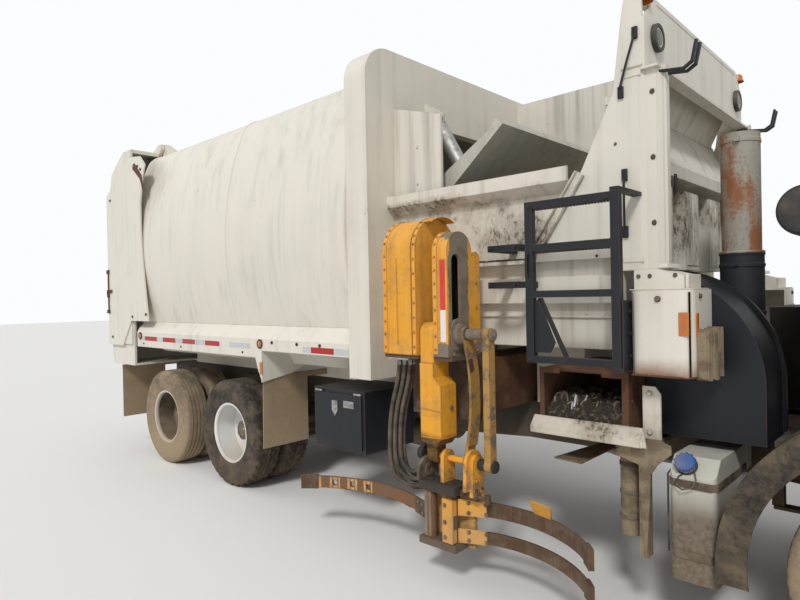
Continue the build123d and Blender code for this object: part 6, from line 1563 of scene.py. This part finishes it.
class TRUCK_OT_arm_fittings(Builder, bpy.types.Operator):
    """Fit the arm's bosses, seams and pin caps"""

    bl_idname = "truck.arm_fittings"
    bl_label = "Arm bosses and pins"

    def execute(self, context):
        y = ARM_Y
        flange = Form()
        flange.ring((4392, y, PIN_Z), FORWARD, 60, 26, 5, 32)
        for turn in around(6):
            flange.bolt((4391, y + 47 * math.cos(turn), PIN_Z + 47 * math.sin(turn)), FORWARD, 17, 8)
        flange.cross_plate([(y - 70, 1548), (y - 74, 1630), (y - 40, 1690), (y + 30, 1700), (y + 78, 1640),
                            (y + 118, 1560), (y + 112, 1520), (y + 60, 1500), (y - 40, 1498)], 4345, 4357)
        flange.turned((4430, y, PIN_Z), FORWARD,
                      [(22, 0), (33, 0), (36, 12), (36, 100), (33, 116), (22, 116)], 24)
        add_pin_cap(flange, PIN_Z)
        flange.make("carriage_bosses", "carriage", "scraped_steel", bevel=1.5)
        seam = Form()
        seam.pipe([(4096, -1448, 932), (4150, -1449, 930), (4230, -1448, 934), (4262, -1448, 936)], 4, 8)
        seam.pipe([(4265, -1446, 934), (4266, -1370, 930), (4265, -1290, 934)], 4, 8)
        seam.pipe([(4266, -1446, 1266), (4266, -1446, 932)], 4, 8)
        seam.side_plate([(4096, 1120), (4264, 1108), (4264, 1100), (4096, 1112)], -1450, -1446)
        seam.make("arm_seams", "arm", "arm_yellow", bevel=1)
        bolts = Form()
        for z in (PIN_Z, WRIST_Z):
            bolts.ring((4424, y, z), FORWARD, 40, 23, 5)
            bolts.ring((4606, y, z), FORWARD, 36, 23, 2)
        bolts.bar((4265, y + 20, 1120), (4280, y + 20, 1120), 14)
        bolts.make("arm_bolts", "arm", "muddy_steel")
        spine = arc_between((PIN_Z, y), (0.5 * (PIN_Z + WRIST_Z), y + 75), (WRIST_Z, y), 40)[2:36]
        lever = Form()
        lever.cross_plate([(across - 54, z) for z, across in spine]
                          + [(across + 44, z) for z, across in spine[::-1]], 4423, 4431)
        lever.make("lever_flange", "arm", "lever_worn", "arm_yellow", bevel=2)
        patch = Form()
        patch.cross_plate([(-1372, 1440), (-1330, 1446), (-1310, 1370), (-1352, 1352)], 4430, 4434)
        patch.make("lever_patch", "arm", "deep_rust", bevel=1)
        self.gripper()
        self.fingers()
        return {"FINISHED"}

    def gripper(self):
        """The fittings of the gripper's frame."""
        y = ARM_Y
        dome = Form()
        dome.cross_plate([(y - 100, 640), *half_round(y, 690, -100, 16), (y + 100, 640)], 4066, 4090)
        dome.ring((4090, y, 700), FORWARD, 46, 22, 8)
        dome.make("wrist_dome", "gripper", "muddy_steel", bevel=2)
        ear = Form()
        ear.cross_plate([(y - 92, 636), *half_round(y, WRIST_Z, -80, 16), (y + 84, 636)], 4434, 4462)
        ear.bolt((4492, y - 30, 700), FORWARD, 26, 12)
        ear.make("wrist_ear", "gripper", "arm_scuffed", "arm_yellow", bevel=2)
        head = Form()
        for z0, z1 in ((597, 652), (246, 291)):
            head.block(4086, 4384, -1474, -1311, z0, z1)
        head.turned((4502, y, WRIST_Z), FORWARD,
                    [(22, 0), (33, 0), (36, 8), (36, 44), (33, 52), (22, 52)], 24)
        add_pin_cap(head, WRIST_Z)
        head.turned((4066, y, WRIST_Z), REARWARD,
                    [(0, 0), (50, 0), (50, 10), (44, 14), (44, 44), (34, 50), (0, 50)], 32)
        for x in (4150, 4320):
            head.turned((x, -1420, 640), UP, [(30, 0), (30, 8), (20, 12), (20, 22), (0, 24)], 20)
            head.turned((x, -1420, 250), DOWN, [(30, 0), (30, 8), (18, 12), (0, 14)], 20)
        head.make("gripper_plates", "gripper", "grease_and_shade_steel", "bare_steel", bevel=2)
        ram = Form()
        foot = (4384, -1392, 603)
        ram.turned(foot, FORWARD, [(0, 0), (30, 0), (30, 120), (26, 124), (12, 126), (12, 190), (0, 190)], 24)
        ram.turned(foot, FORWARD, [(30, 14), (34, 14), (34, 26), (30, 26)], 24)
        ram.bar((4574, -1392, 578), (4574, -1392, 628), 20)
        ram.make("gripper_ram", "gripper", "arm_worn", bevel=1)
        bolts = Form()
        for x, z in ((4085, 600), (4440, 600), (4085, 290), (4410, 290), (4225, 420)):
            bolts.bolt((x, -1346 if z < 560 else -1366, z), TO_RIGHT, 24, 12)
        bolts.bolts([(x, y + offset, 640) for x in (4262, 4492) for offset in (30, -30)], FORWARD, 22, 10)
        bolts.make("gripper_bolts", "gripper", "muddy_steel")

    def fingers(self):
        """The pads, root plates and stop of the fingers."""
        front = arc_between(*FRONT_BAND, 60)
        rear = arc_between(*REAR_BAND, 60)
        roots = Form()
        for low, high in FRONT_HEIGHTS:
            roots.band(front[2:13], low, high, 9, 15)
            roots.block(4336, 4360, -1460, -1424, low + 4, high - 4)
        roots.block(4276, 4360, -1469, -1456, 294, 570)
        roots.make("finger_roots", "front_fingers", "arm_yellow", bevel=1.5)
        bolts = Form()
        for index in (6, 12):
            x, y = front[index]
            bolts.bolts([(x, y - 15, z) for z in (312, 364, 485, 546)], (0.15, -1, 0), 22, 11)
        bolts.bolts([(4300, -1469, z) for z in (330, 424, 530)], TO_RIGHT, 22, 11)
        bolts.make("finger_bolts", "front_fingers", "muddy_steel")
        pads = Form()
        for low, high in FRONT_HEIGHTS:
            pads.band(front[55:61], low, high, -15, 15)
            for start in range(18, 52, 8):
                pads.band(front[start:start + 4], low + 14, high - 14, 9, 12)
        pads.make("finger_pads", "front_fingers", "arm_worn", bevel=2)
        tab = Form()
        (xa, ya), (xb, yb) = front[29], front[36]
        tab.prism([(xa, ya - 4, 558), (xb, yb - 4, 558), (xb + 30, yb - 60, 640), (xa + 6, ya - 66, 652)],
                  (0, 10, 4))
        tab.prism([(xa, ya - 6, 550), (xb, yb - 6, 550), (xb, yb - 6, 606), (xa, ya - 6, 622)], (0, 8, 0))
        tab.make("finger_stop", "front_fingers", "arm_yellow", bevel=1.5)
        rods = Form()
        rods.bar((4134, -1447, 300), (4134, -1447, 590), 15)
        rods.bar((4166, -1450, 300), (4166, -1450, 590), 10)
        rods.turned((4134, -1447, 300), UP, [(15, 0), (18, 0), (18, 14), (15, 14)], 16)
        rods.make("finger_rods", "rear_finger", "scraped_steel")
        grips = Form()
        grips.band(rear[54:61], 366, 474, -15, 15)
        grips.band(rear[4:12], 366, 474, 9, 15)
        for start in range(14, 50, 9):
            grips.band(rear[start:start + 4], 372, 380, 9, 13)
        grips.make("rear_finger_pads", "rear_finger", "arm_worn", bevel=2)
        fine = arc_between(*REAR_BAND, 240)
        edges = ((-46, -20, 377, 463), (20, 44, 377, 463), (-20, 20, 377, 400), (-20, 20, 440, 463))
        ochre = Form()
        for hole in REAR_HOLES_X:
            for low, high, z0, z1 in edges:
                ochre.band([point for point in fine if low <= point[0] - hole <= high], z0, z1, 9, 11)
        ochre.make("finger_patches", "rear_finger", "band_ochre", "arm_yellow")
        bolts = Form()
        for index in (6, 9, 56):
            x, y = rear[index]
            bolts.bolts([(x, y - 15, z) for z in (390, 450)], (-0.1, -1, 0), 20, 10)
        bolts.make("rear_finger_bolts", "rear_finger", "muddy_steel")


AIR_TANKS_Y = (-210, 210)
# The outer face of the right chassis rail, and where bolts show along it
RAIL_OUTER_Y = -430
RAIL_BOLTS_X = (-1200, -900, -300, 560, 760, 1700, 2000, 3160, 3500, 4560, 5300, 5900, 6700, 7300)
# The stack's centre in plan, and the air cleaner's as seen from the side
STACK = (5705, -300)
AIR_CLEANER = (6170, 2200)


class TRUCK_OT_chassis_fittings(Builder, bpy.types.Operator):
    """Fit the toolbox hasps, tank caps, brake chambers, driveshafts and lines"""

    bl_idname = "truck.chassis_fittings"
    bl_label = "Chassis fittings"

    def execute(self, context):
        self.boxes_and_tanks()
        self.underside()
        self.stack()
        return {"FINISHED"}

    def boxes_and_tanks(self):
        """The toolbox hasps and the tanks' caps and straps."""
        hasp = Form()
        hasp.side_plate([(2928, 1014), (2996, 1014), (2996, 934), (2962, 888), (2928, 934)], -1214, -1210)
        hasp.turned((2962, -1214, 960), TO_RIGHT, [(0, 8), (16, 8), (20, 0), (0, 0)], 20)
        hasp.block(2940, 2984, -1222, -1212, 988, 1006)
        hasp.block(3070, 3190, -1215, -1208, 968, 1022)
        hasp.bar((3084, -1217, 996), (3176, -1217, 996), 7)
        for x in (2760, 3230):
            hasp.bar((x - 40, -1206, 1082), (x + 40, -1206, 1082), 9)
        hasp.mirrored().make("toolbox_hasps", "chassis", "bare_steel", bevel=1.5)
        cap = Form()
        axis = (0, -1, 1)
        cap.turned((5640, -1150, 955), axis, [(42, 0), (50, 4), (50, 26), (44, 32), (0, 34)], 20)
        for turn in around(12):
            side = Vector((math.cos(turn), 0.7071 * math.sin(turn), 0.7071 * math.sin(turn))) * 50
            foot = Vector((5640, -1153, 958)) + side
            cap.bar(foot, foot + Vector(axis) * 17, 5, 6)
        cap.make("fluid_cap", "chassis", "cap_blue", "trim_black", smooth=20)
        tether = Form()
        tether.pipe([(5640, -1140, 905), (5620, -1195, 900), (5600, -1210, 860), (5640, -1215, 838),
                     (5690, -1208, 856), (5700, -1190, 890), (5686, -1166, 930)], 4, 8)
        tether.turned((5640, -1128, 933), axis, [(44, 0), (54, 0), (54, 14), (44, 14), (44, 0)], 28)
        tether.pipe([(5566, -1100, 930), (5562, -1184, 900), (5562, -1186, 500)], 5, 6)
        tether.make("cap_tether", "chassis", "trim_black")
        strap = Form()
        for z in (480, 840):
            strap.plan_plate([(5560, -640), (5560, -1160), (5590, -1186), (5765, -1186), (5795, -1160),
                              (5795, -640), (5788, -640), (5788, -1156), (5761, -1178), (5594, -1178),
                              (5567, -1156), (5567, -640)], z, z + 40)
        strap.make("fluid_tank_straps", "chassis", "muddy_steel")
        ports = Form()
        for x, out in ((2150, REARWARD), (3150, FORWARD)):
            for y in AIR_TANKS_Y:
                ports.turned((x, y, 600), out, [(0, 6), (20, 4), (60, -6), (0, -6)], 20)
        for y in AIR_TANKS_Y:
            ports.bar((2400, y, 470), (2400, y, 440), 10, 8)
            ports.bolt((2650, y, 471), DOWN, 26, 14)
        ports.make("air_tank_ports", "chassis", "muddy_steel")
        fuel = Form()
        fuel.turned((4560, 1030, 986), (0, 0.5, 1),
                    [(0, 40), (46, 38), (52, 30), (52, 10), (44, 0), (44, -20), (0, -20)], 24)
        for x in (4700, 4900, 5100):
            fuel.bar((x, 1152, 720), (x, 1158, 720), 14, 12)
        fuel.make("fuel_cap", "chassis", "bare_steel")
        clamps = Form()
        for z in (520, 640):
            clamps.block(5386, 5432, -1124, -1119, z, z + 60)
        for z in (560, 700, 860):
            clamps.ring((5290, -1000, z), UP, 60, 54, 22, 28)
        clamps.bolts([(x, y, 1001) for x, y in ((5340, -1080), (5200, -900))], UP, 26, 12)
        clamps.make("strut_clamps", "chassis", "muddy_steel")

    def underside(self):
        """Brake chambers, driveshafts, air lines and frame bolts."""
        drive = Form()
        for x in (0, 1350):
            for side in (RIGHT, LEFT):
                drive.turned((x - 215, side * 250, 560), (1, 0, 0.15),
                             [(0, 0), (60, 0), (78, 20), (84, 60), (84, 76), (78, 92), (70, 120),
                              (0, 126)], 28)
                drive.bar((x - 100, side * 250, 575), (x - 60, side * 330, 560), 12)
            drive.turned((x + 205, 0, 545), FORWARD, [(0, -60), (120, -60), (150, -30), (150, -18),
                                                      (100, 0), (70, 30), (60, 60), (0, 60)], 28)
        drive.pipe([(270, 0, 548), (700, 0, 560), (1130, 0, 552)], 50, 20)
        drive.pipe([(1610, 0, 560), (2600, 0, 620), (3700, 0, 690), (4480, 0, 745)], 58, 20)
        for x, z in ((1625, 562), (3080, 652), (4460, 742)):
            drive.turned((x, 0, z), (1, 0, 0.06), [(58, -30), (76, -24), (76, 24), (58, 30), (58, -30)], 20)
        drive.make("driveshafts", "chassis", "frame_black", smooth=40)
        bolts = Form()
        bolts.bolts([(x, RAIL_OUTER_Y, z) for x in RAIL_BOLTS_X for z in (830, 980)], TO_RIGHT, 24, 12)
        bolts.bolts([(x, -535, z) for x in (610, 740) for z in (700, 760)], TO_RIGHT, 30, 16)
        bolts.mirrored().make("frame_bolts", "chassis", "muddy_steel")
        lines = Form()
        for y, z in ((-412, 1010), (-398, 1000), (-405, 985)):
            lines.pipe([(x, y + 5 * math.sin(x / 310 + z), z + 6 * math.sin(x / 270))
                        for x in range(-1200, 6200, 100)], 7, 6)
        lines.mirrored().make("air_lines", "chassis", "hose_rubber")

    def stack(self):
        """The clamps of the stack and of the air cleaner."""
        bands = Form()
        bands.ring((*STACK, 2722), UP, 112, 104, 24, 40)
        bands.block(5700, 5730, -428, -405, 2720, 2748)
        bands.ring((*STACK, 2050), UP, 124, 116, 26, 40)
        for z in (1300, 1700, 1980):
            bands.ring((*STACK, z), UP, 125, 118, 20, 40)
            bands.bolt((STACK[0], STACK[1] - 124, z + 10), TO_RIGHT, 20, 12)
        bands.make("stack_clamps", "chassis", "stack_steel", "rusty_steel", smooth=30)
        cleaner = Form()
        x, z = AIR_CLEANER
        for y in (-1128, -1020, -840, -745):
            cleaner.ring((x, y, z), TO_LEFT, 118, 108, 16, 40)
        cleaner.turned((x, -1150, z), TO_RIGHT, [(104, 0), (104, 10), (60, 24), (20, 26), (0, 26)], 40)
        for turn in around(24):
            cleaner.bar((x + 60 * math.cos(turn), -1170, z + 60 * math.sin(turn)),
                        (x + 100 * math.cos(turn), -1161, z + 100 * math.sin(turn)), 3, 6)
        cleaner.make("air_cleaner_bands", "chassis", "trim_black", smooth=30)


CAB_SIDE_Y = 1160
ROOF_MARKER_X = 7760
ROOF_MARKERS_Y = (-700, -350, 0, 350, 700)
MIRROR_Y = 1440
HEADLAMP_Y = 860
SEAT_Y = 807.5
STEERING_CENTRE = (7560, 620, 1770)


class TRUCK_OT_cab_fittings(Builder, bpy.types.Operator):
    """Fit the cab's lamps, wipers, handles, steps and mirror glass"""

    bl_idname = "truck.cab_fittings"
    bl_label = "Cab fittings"

    def execute(self, context):
        black = Form()
        for side in (RIGHT, LEFT):
            y = side * 620
            black.bar((7985, y, 1800), (8010, y, 1800), 20)
            black.pipe([(8004, y, 1800), (7996, y + side * -120, 1960), (7972, y + side * -330, 2180)], 7)
            black.pipe([(7996, y + side * -180, 1990), (7950, y + side * -400, 2400)], 9)
        for y in ROOF_MARKERS_Y:
            black.turned((ROOF_MARKER_X, y, 2788), UP, [(60, -4), (56, 16), (0, 16)], 24)
        for x in (6380, 6500, 6620):
            black.block(x, x + 40, -1166, -1158, 1500, 1560)
        black.make("cab_trim", "cab", "trim_black", bevel=2)
        amber = Form()
        for y in ROOF_MARKERS_Y:
            amber.turned((ROOF_MARKER_X, y, 2802), UP, [(48, -2), (44, 18), (28, 26), (0, 28)], 24)
        for side in (RIGHT, LEFT):
            y = side * CAB_SIDE_Y
            amber.block(7700, 7790, y - 6, y + 6, 1640, 1690)
        amber.make("cab_markers", "cab", "lens_amber", bevel=2)
        grab = Form()
        for side in (RIGHT, LEFT):
            near = side * 1158
            far = side * 1195
            grab.pipe([(6860, near, 2420), (6860, far, 2400), (6860, far, 1620), (6860, near, 1600)], 12)
            y = side * 1050
            grab.pipe([(8000, y, 1250), (8040, y, 1260), (8040, y, 1560), (7995, y, 1570)], 11)
        grab.make("grab_rails", "cab", "bare_steel")
        steps = Form()
        for side in (RIGHT, LEFT):
            y = side * 1165
            steps.block(7480, 7860, y - 22, y + 22, 786, 800)
            for x in range(7490, 7850, 24):
                steps.block(x, x + 10, y - 20, y + 20, 799, 806)
        steps.make("cab_steps", "cab", "trim_black")
        plate = Form()
        for y in (-380, -190, 0, 190, 380):
            plate.block(7983, 7992, y - 4, y + 4, 1170, 1560)
        plate.make("grille_bars", "cab", "frame_black", bevel=1)
        for side_name, side in SIDES:
            handle = Form()
            near = side * CAB_SIDE_Y
            far = side * 1192
            handle.block(6980, 7110, near - 6, near + 6, 1655, 1715)
            handle.pipe([(6992, near, 1686), (6998, far, 1686), (7092, far, 1686), (7098, near, 1686)], 9)
            handle.make(f"door_handle_{side_name}", f"door_{side_name}", "trim_black", bevel=2)
            rubber = Form()
            y = side * (CAB_SIDE_Y + 1)
            line = [(7010, y, 2530), (7730, y, 2530), (7790, y, 1820), (7010, y, 1820)]
            for start, end in zip(line, line[1:] + line[:1]):
                rubber.bar(start, end, 9, 8)
            rubber.make(f"window_rubber_{side_name}", f"door_{side_name}", "trim_black")
        mirror = Form()
        for side in (RIGHT, LEFT):
            y = side * MIRROR_Y
            for low, high in ((2110, 2462), (1918, 2080)):
                mirror.block(7877, 7880.5, y - 86, y + 86, low, high)
        mirror.make("mirror_glass", "cab", "mirror", "glass", bevel=1)
        self.lamps()
        self.inside()
        return {"FINISHED"}

    def lamps(self):
        """Headlamps and indicators in the bumper's recesses."""
        rims = Form()
        glass = Form()
        amber = Form()
        for side in (RIGHT, LEFT):
            for offset in (-85, 20):
                y = side * HEADLAMP_Y + offset
                rims.ring((8081, y, 565), FORWARD, 56, 46, 22, 32)
                glass.turned((8081, y, 565), FORWARD, [(0, 18), (24, 16), (46, 8), (46, 0), (0, 0)], 32)
            y = side * HEADLAMP_Y + 110
            amber.block(8080, 8096, y - 28, y + 28, 515, 615)
        rims.bolts([(8110, y, 480) for y in (-560, 0, 560)], FORWARD, 30, 14)
        rims.make("headlamp_rims", "chassis", "bare_steel")
        glass.make("headlamps", "chassis", "lens_clear", "glass", smooth=60)
        amber.make("front_indicators", "chassis", "lens_amber", bevel=3)
        plate = Form()
        plate.block(8109, 8113, -260, 260, 540, 650)
        plate.make("front_blank_plate", "chassis", "tape_white", bevel=2)

    def inside(self):
        """The seats, dashboard and steering wheel in place of their plain solids."""
        seats = Form()
        for y in (-SEAT_Y, SEAT_Y):
            seats.pad((7000, y, 1600), (500, 470, 160), 0.06, 3)
            seats.pad((6672, y, 1985), (170, 450, 760), -0.13, 3)
            seats.pad((6622, y, 2400), (110, 280, 150), -0.13, 1, 18)
        seat = seats.make("seats", "cab", "seat_fabric", "trim_black", smooth=60)
        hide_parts("cab_interior")
        frames = Form()
        for y in (-SEAT_Y, SEAT_Y):
            frames.block(6790, 7200, y - 190, y + 190, 1414, 1530)
            frames.side_plate([(6700, 1500), (6760, 1500), (6680, 2330), (6640, 2330)], y - 40, y + 40)
            for x in (6820, 7160):
                frames.block(x - 20, x + 20, y - 210, y + 210, 1414, 1440)
        frames.side_plate([(7895, 1300), (7895, 1730), (7850, 1745), (7700, 1712), (7665, 1690),
                           (7690, 1600), (7745, 1580), (7760, 1320)], -1085, 1085)
        frames.side_plate([(7700, 1714), (7850, 1746), (7850, 1790), (7780, 1790), (7715, 1740)], 440, 800)
        frames.bar((7560, 620, 1752), (7745, 620, 1660), 30)
        for y in (-900, -620, -340, 0, 340, 900):
            frames.block(7655, 7672, y - 60, y + 60, 1640, 1690)
        for y in (500, 560, 700):
            frames.block(7440, 7500, y - 22, y + 22, 1414, 1440)
        frames.block(7200, 7640, -500, 500, 1640, 1652)
        dash = frames.make("dash_and_seat_frames", "cab", "trim_black", bevel=4)
        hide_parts("cab_interior")
        wheel = Form()
        centre = Vector(STEERING_CENTRE)
        lean = Matrix.Rotation(math.radians(25), 3, "Y")
        turns = [math.pi * step / 24 for step in range(49)]
        wheel.pipe([centre + lean @ Vector((205 * math.cos(turn), 205 * math.sin(turn), 0))
                    for turn in turns], 15, 12)
        for turn in (0.0, 2.1, 4.2):
            way = lean @ Vector((math.cos(turn), math.sin(turn), 0))
            middle = centre + way * 120 + lean @ Vector((0, 0, -8))
            wheel.pipe([centre + way * 30, middle, centre + way * 200], 10)
        wheel.turned(centre, lean @ Vector(UP), [(0, 14), (40, 10), (52, -6), (40, -20), (0, -20)], 24)
        rim_piece = wheel.make("steering_wheel", "cab", "trim_black", smooth=50)
        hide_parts("cab_interior")


CLASSES = (
    TruckPaint,
    TruckSizes,
    TRUCK_OT_camera,
    TRUCK_OT_stage,
    TRUCK_OT_finishes,
    TRUCK_OT_hoses,
    TRUCK_OT_tyres,
    TRUCK_OT_wheel_fittings,
    TRUCK_OT_body_fittings,
    TRUCK_OT_tailgate_fittings,
    TRUCK_OT_hopper_fittings,
    TRUCK_OT_header_fittings,
    TRUCK_OT_guard_fittings,
    TRUCK_OT_corner_fittings,
    TRUCK_OT_trough_fittings,
    TRUCK_OT_mast_fittings,
    TRUCK_OT_arm_fittings,
    TRUCK_OT_chassis_fittings,
    TRUCK_OT_cab_fittings,
)


class TRUCK_PT_panel(bpy.types.Panel):
    """The truck's operators and sizes"""

    bl_label = "Garbage truck"
    bl_idname = "TRUCK_PT_panel"
    bl_space_type = "VIEW_3D"
    bl_region_type = "UI"
    bl_category = "Truck"

    def draw(self, context):
        layout = self.layout
        for group in (context.scene.truck_paint, context.scene.truck_sizes):
            for name in group.__annotations__:
                layout.prop(group, name)
        for kind in CLASSES:
            if issubclass(kind, bpy.types.Operator):
                layout.operator(kind.bl_idname)


def register():
    """Register the classes and their properties."""
    for kind in (*CLASSES, TRUCK_PT_panel):
        bpy.utils.register_class(kind)
    bpy.types.Scene.truck_paint = bpy.props.PointerProperty(type=TruckPaint)
    bpy.types.Scene.truck_sizes = bpy.props.PointerProperty(type=TruckSizes)


def unregister():
    """Take the properties and classes away again."""
    del bpy.types.Scene.truck_sizes
    del bpy.types.Scene.truck_paint
    for kind in (TRUCK_PT_panel, *reversed(CLASSES)):
        bpy.utils.unregister_class(kind)


def main():
    """Make the truck's visual model."""
    register()
    for kind in CLASSES:
        if issubclass(kind, bpy.types.Operator):
            family, name = kind.bl_idname.split(".")
            getattr(getattr(bpy.ops, family), name)()


if __name__ == "__main__":
    main()
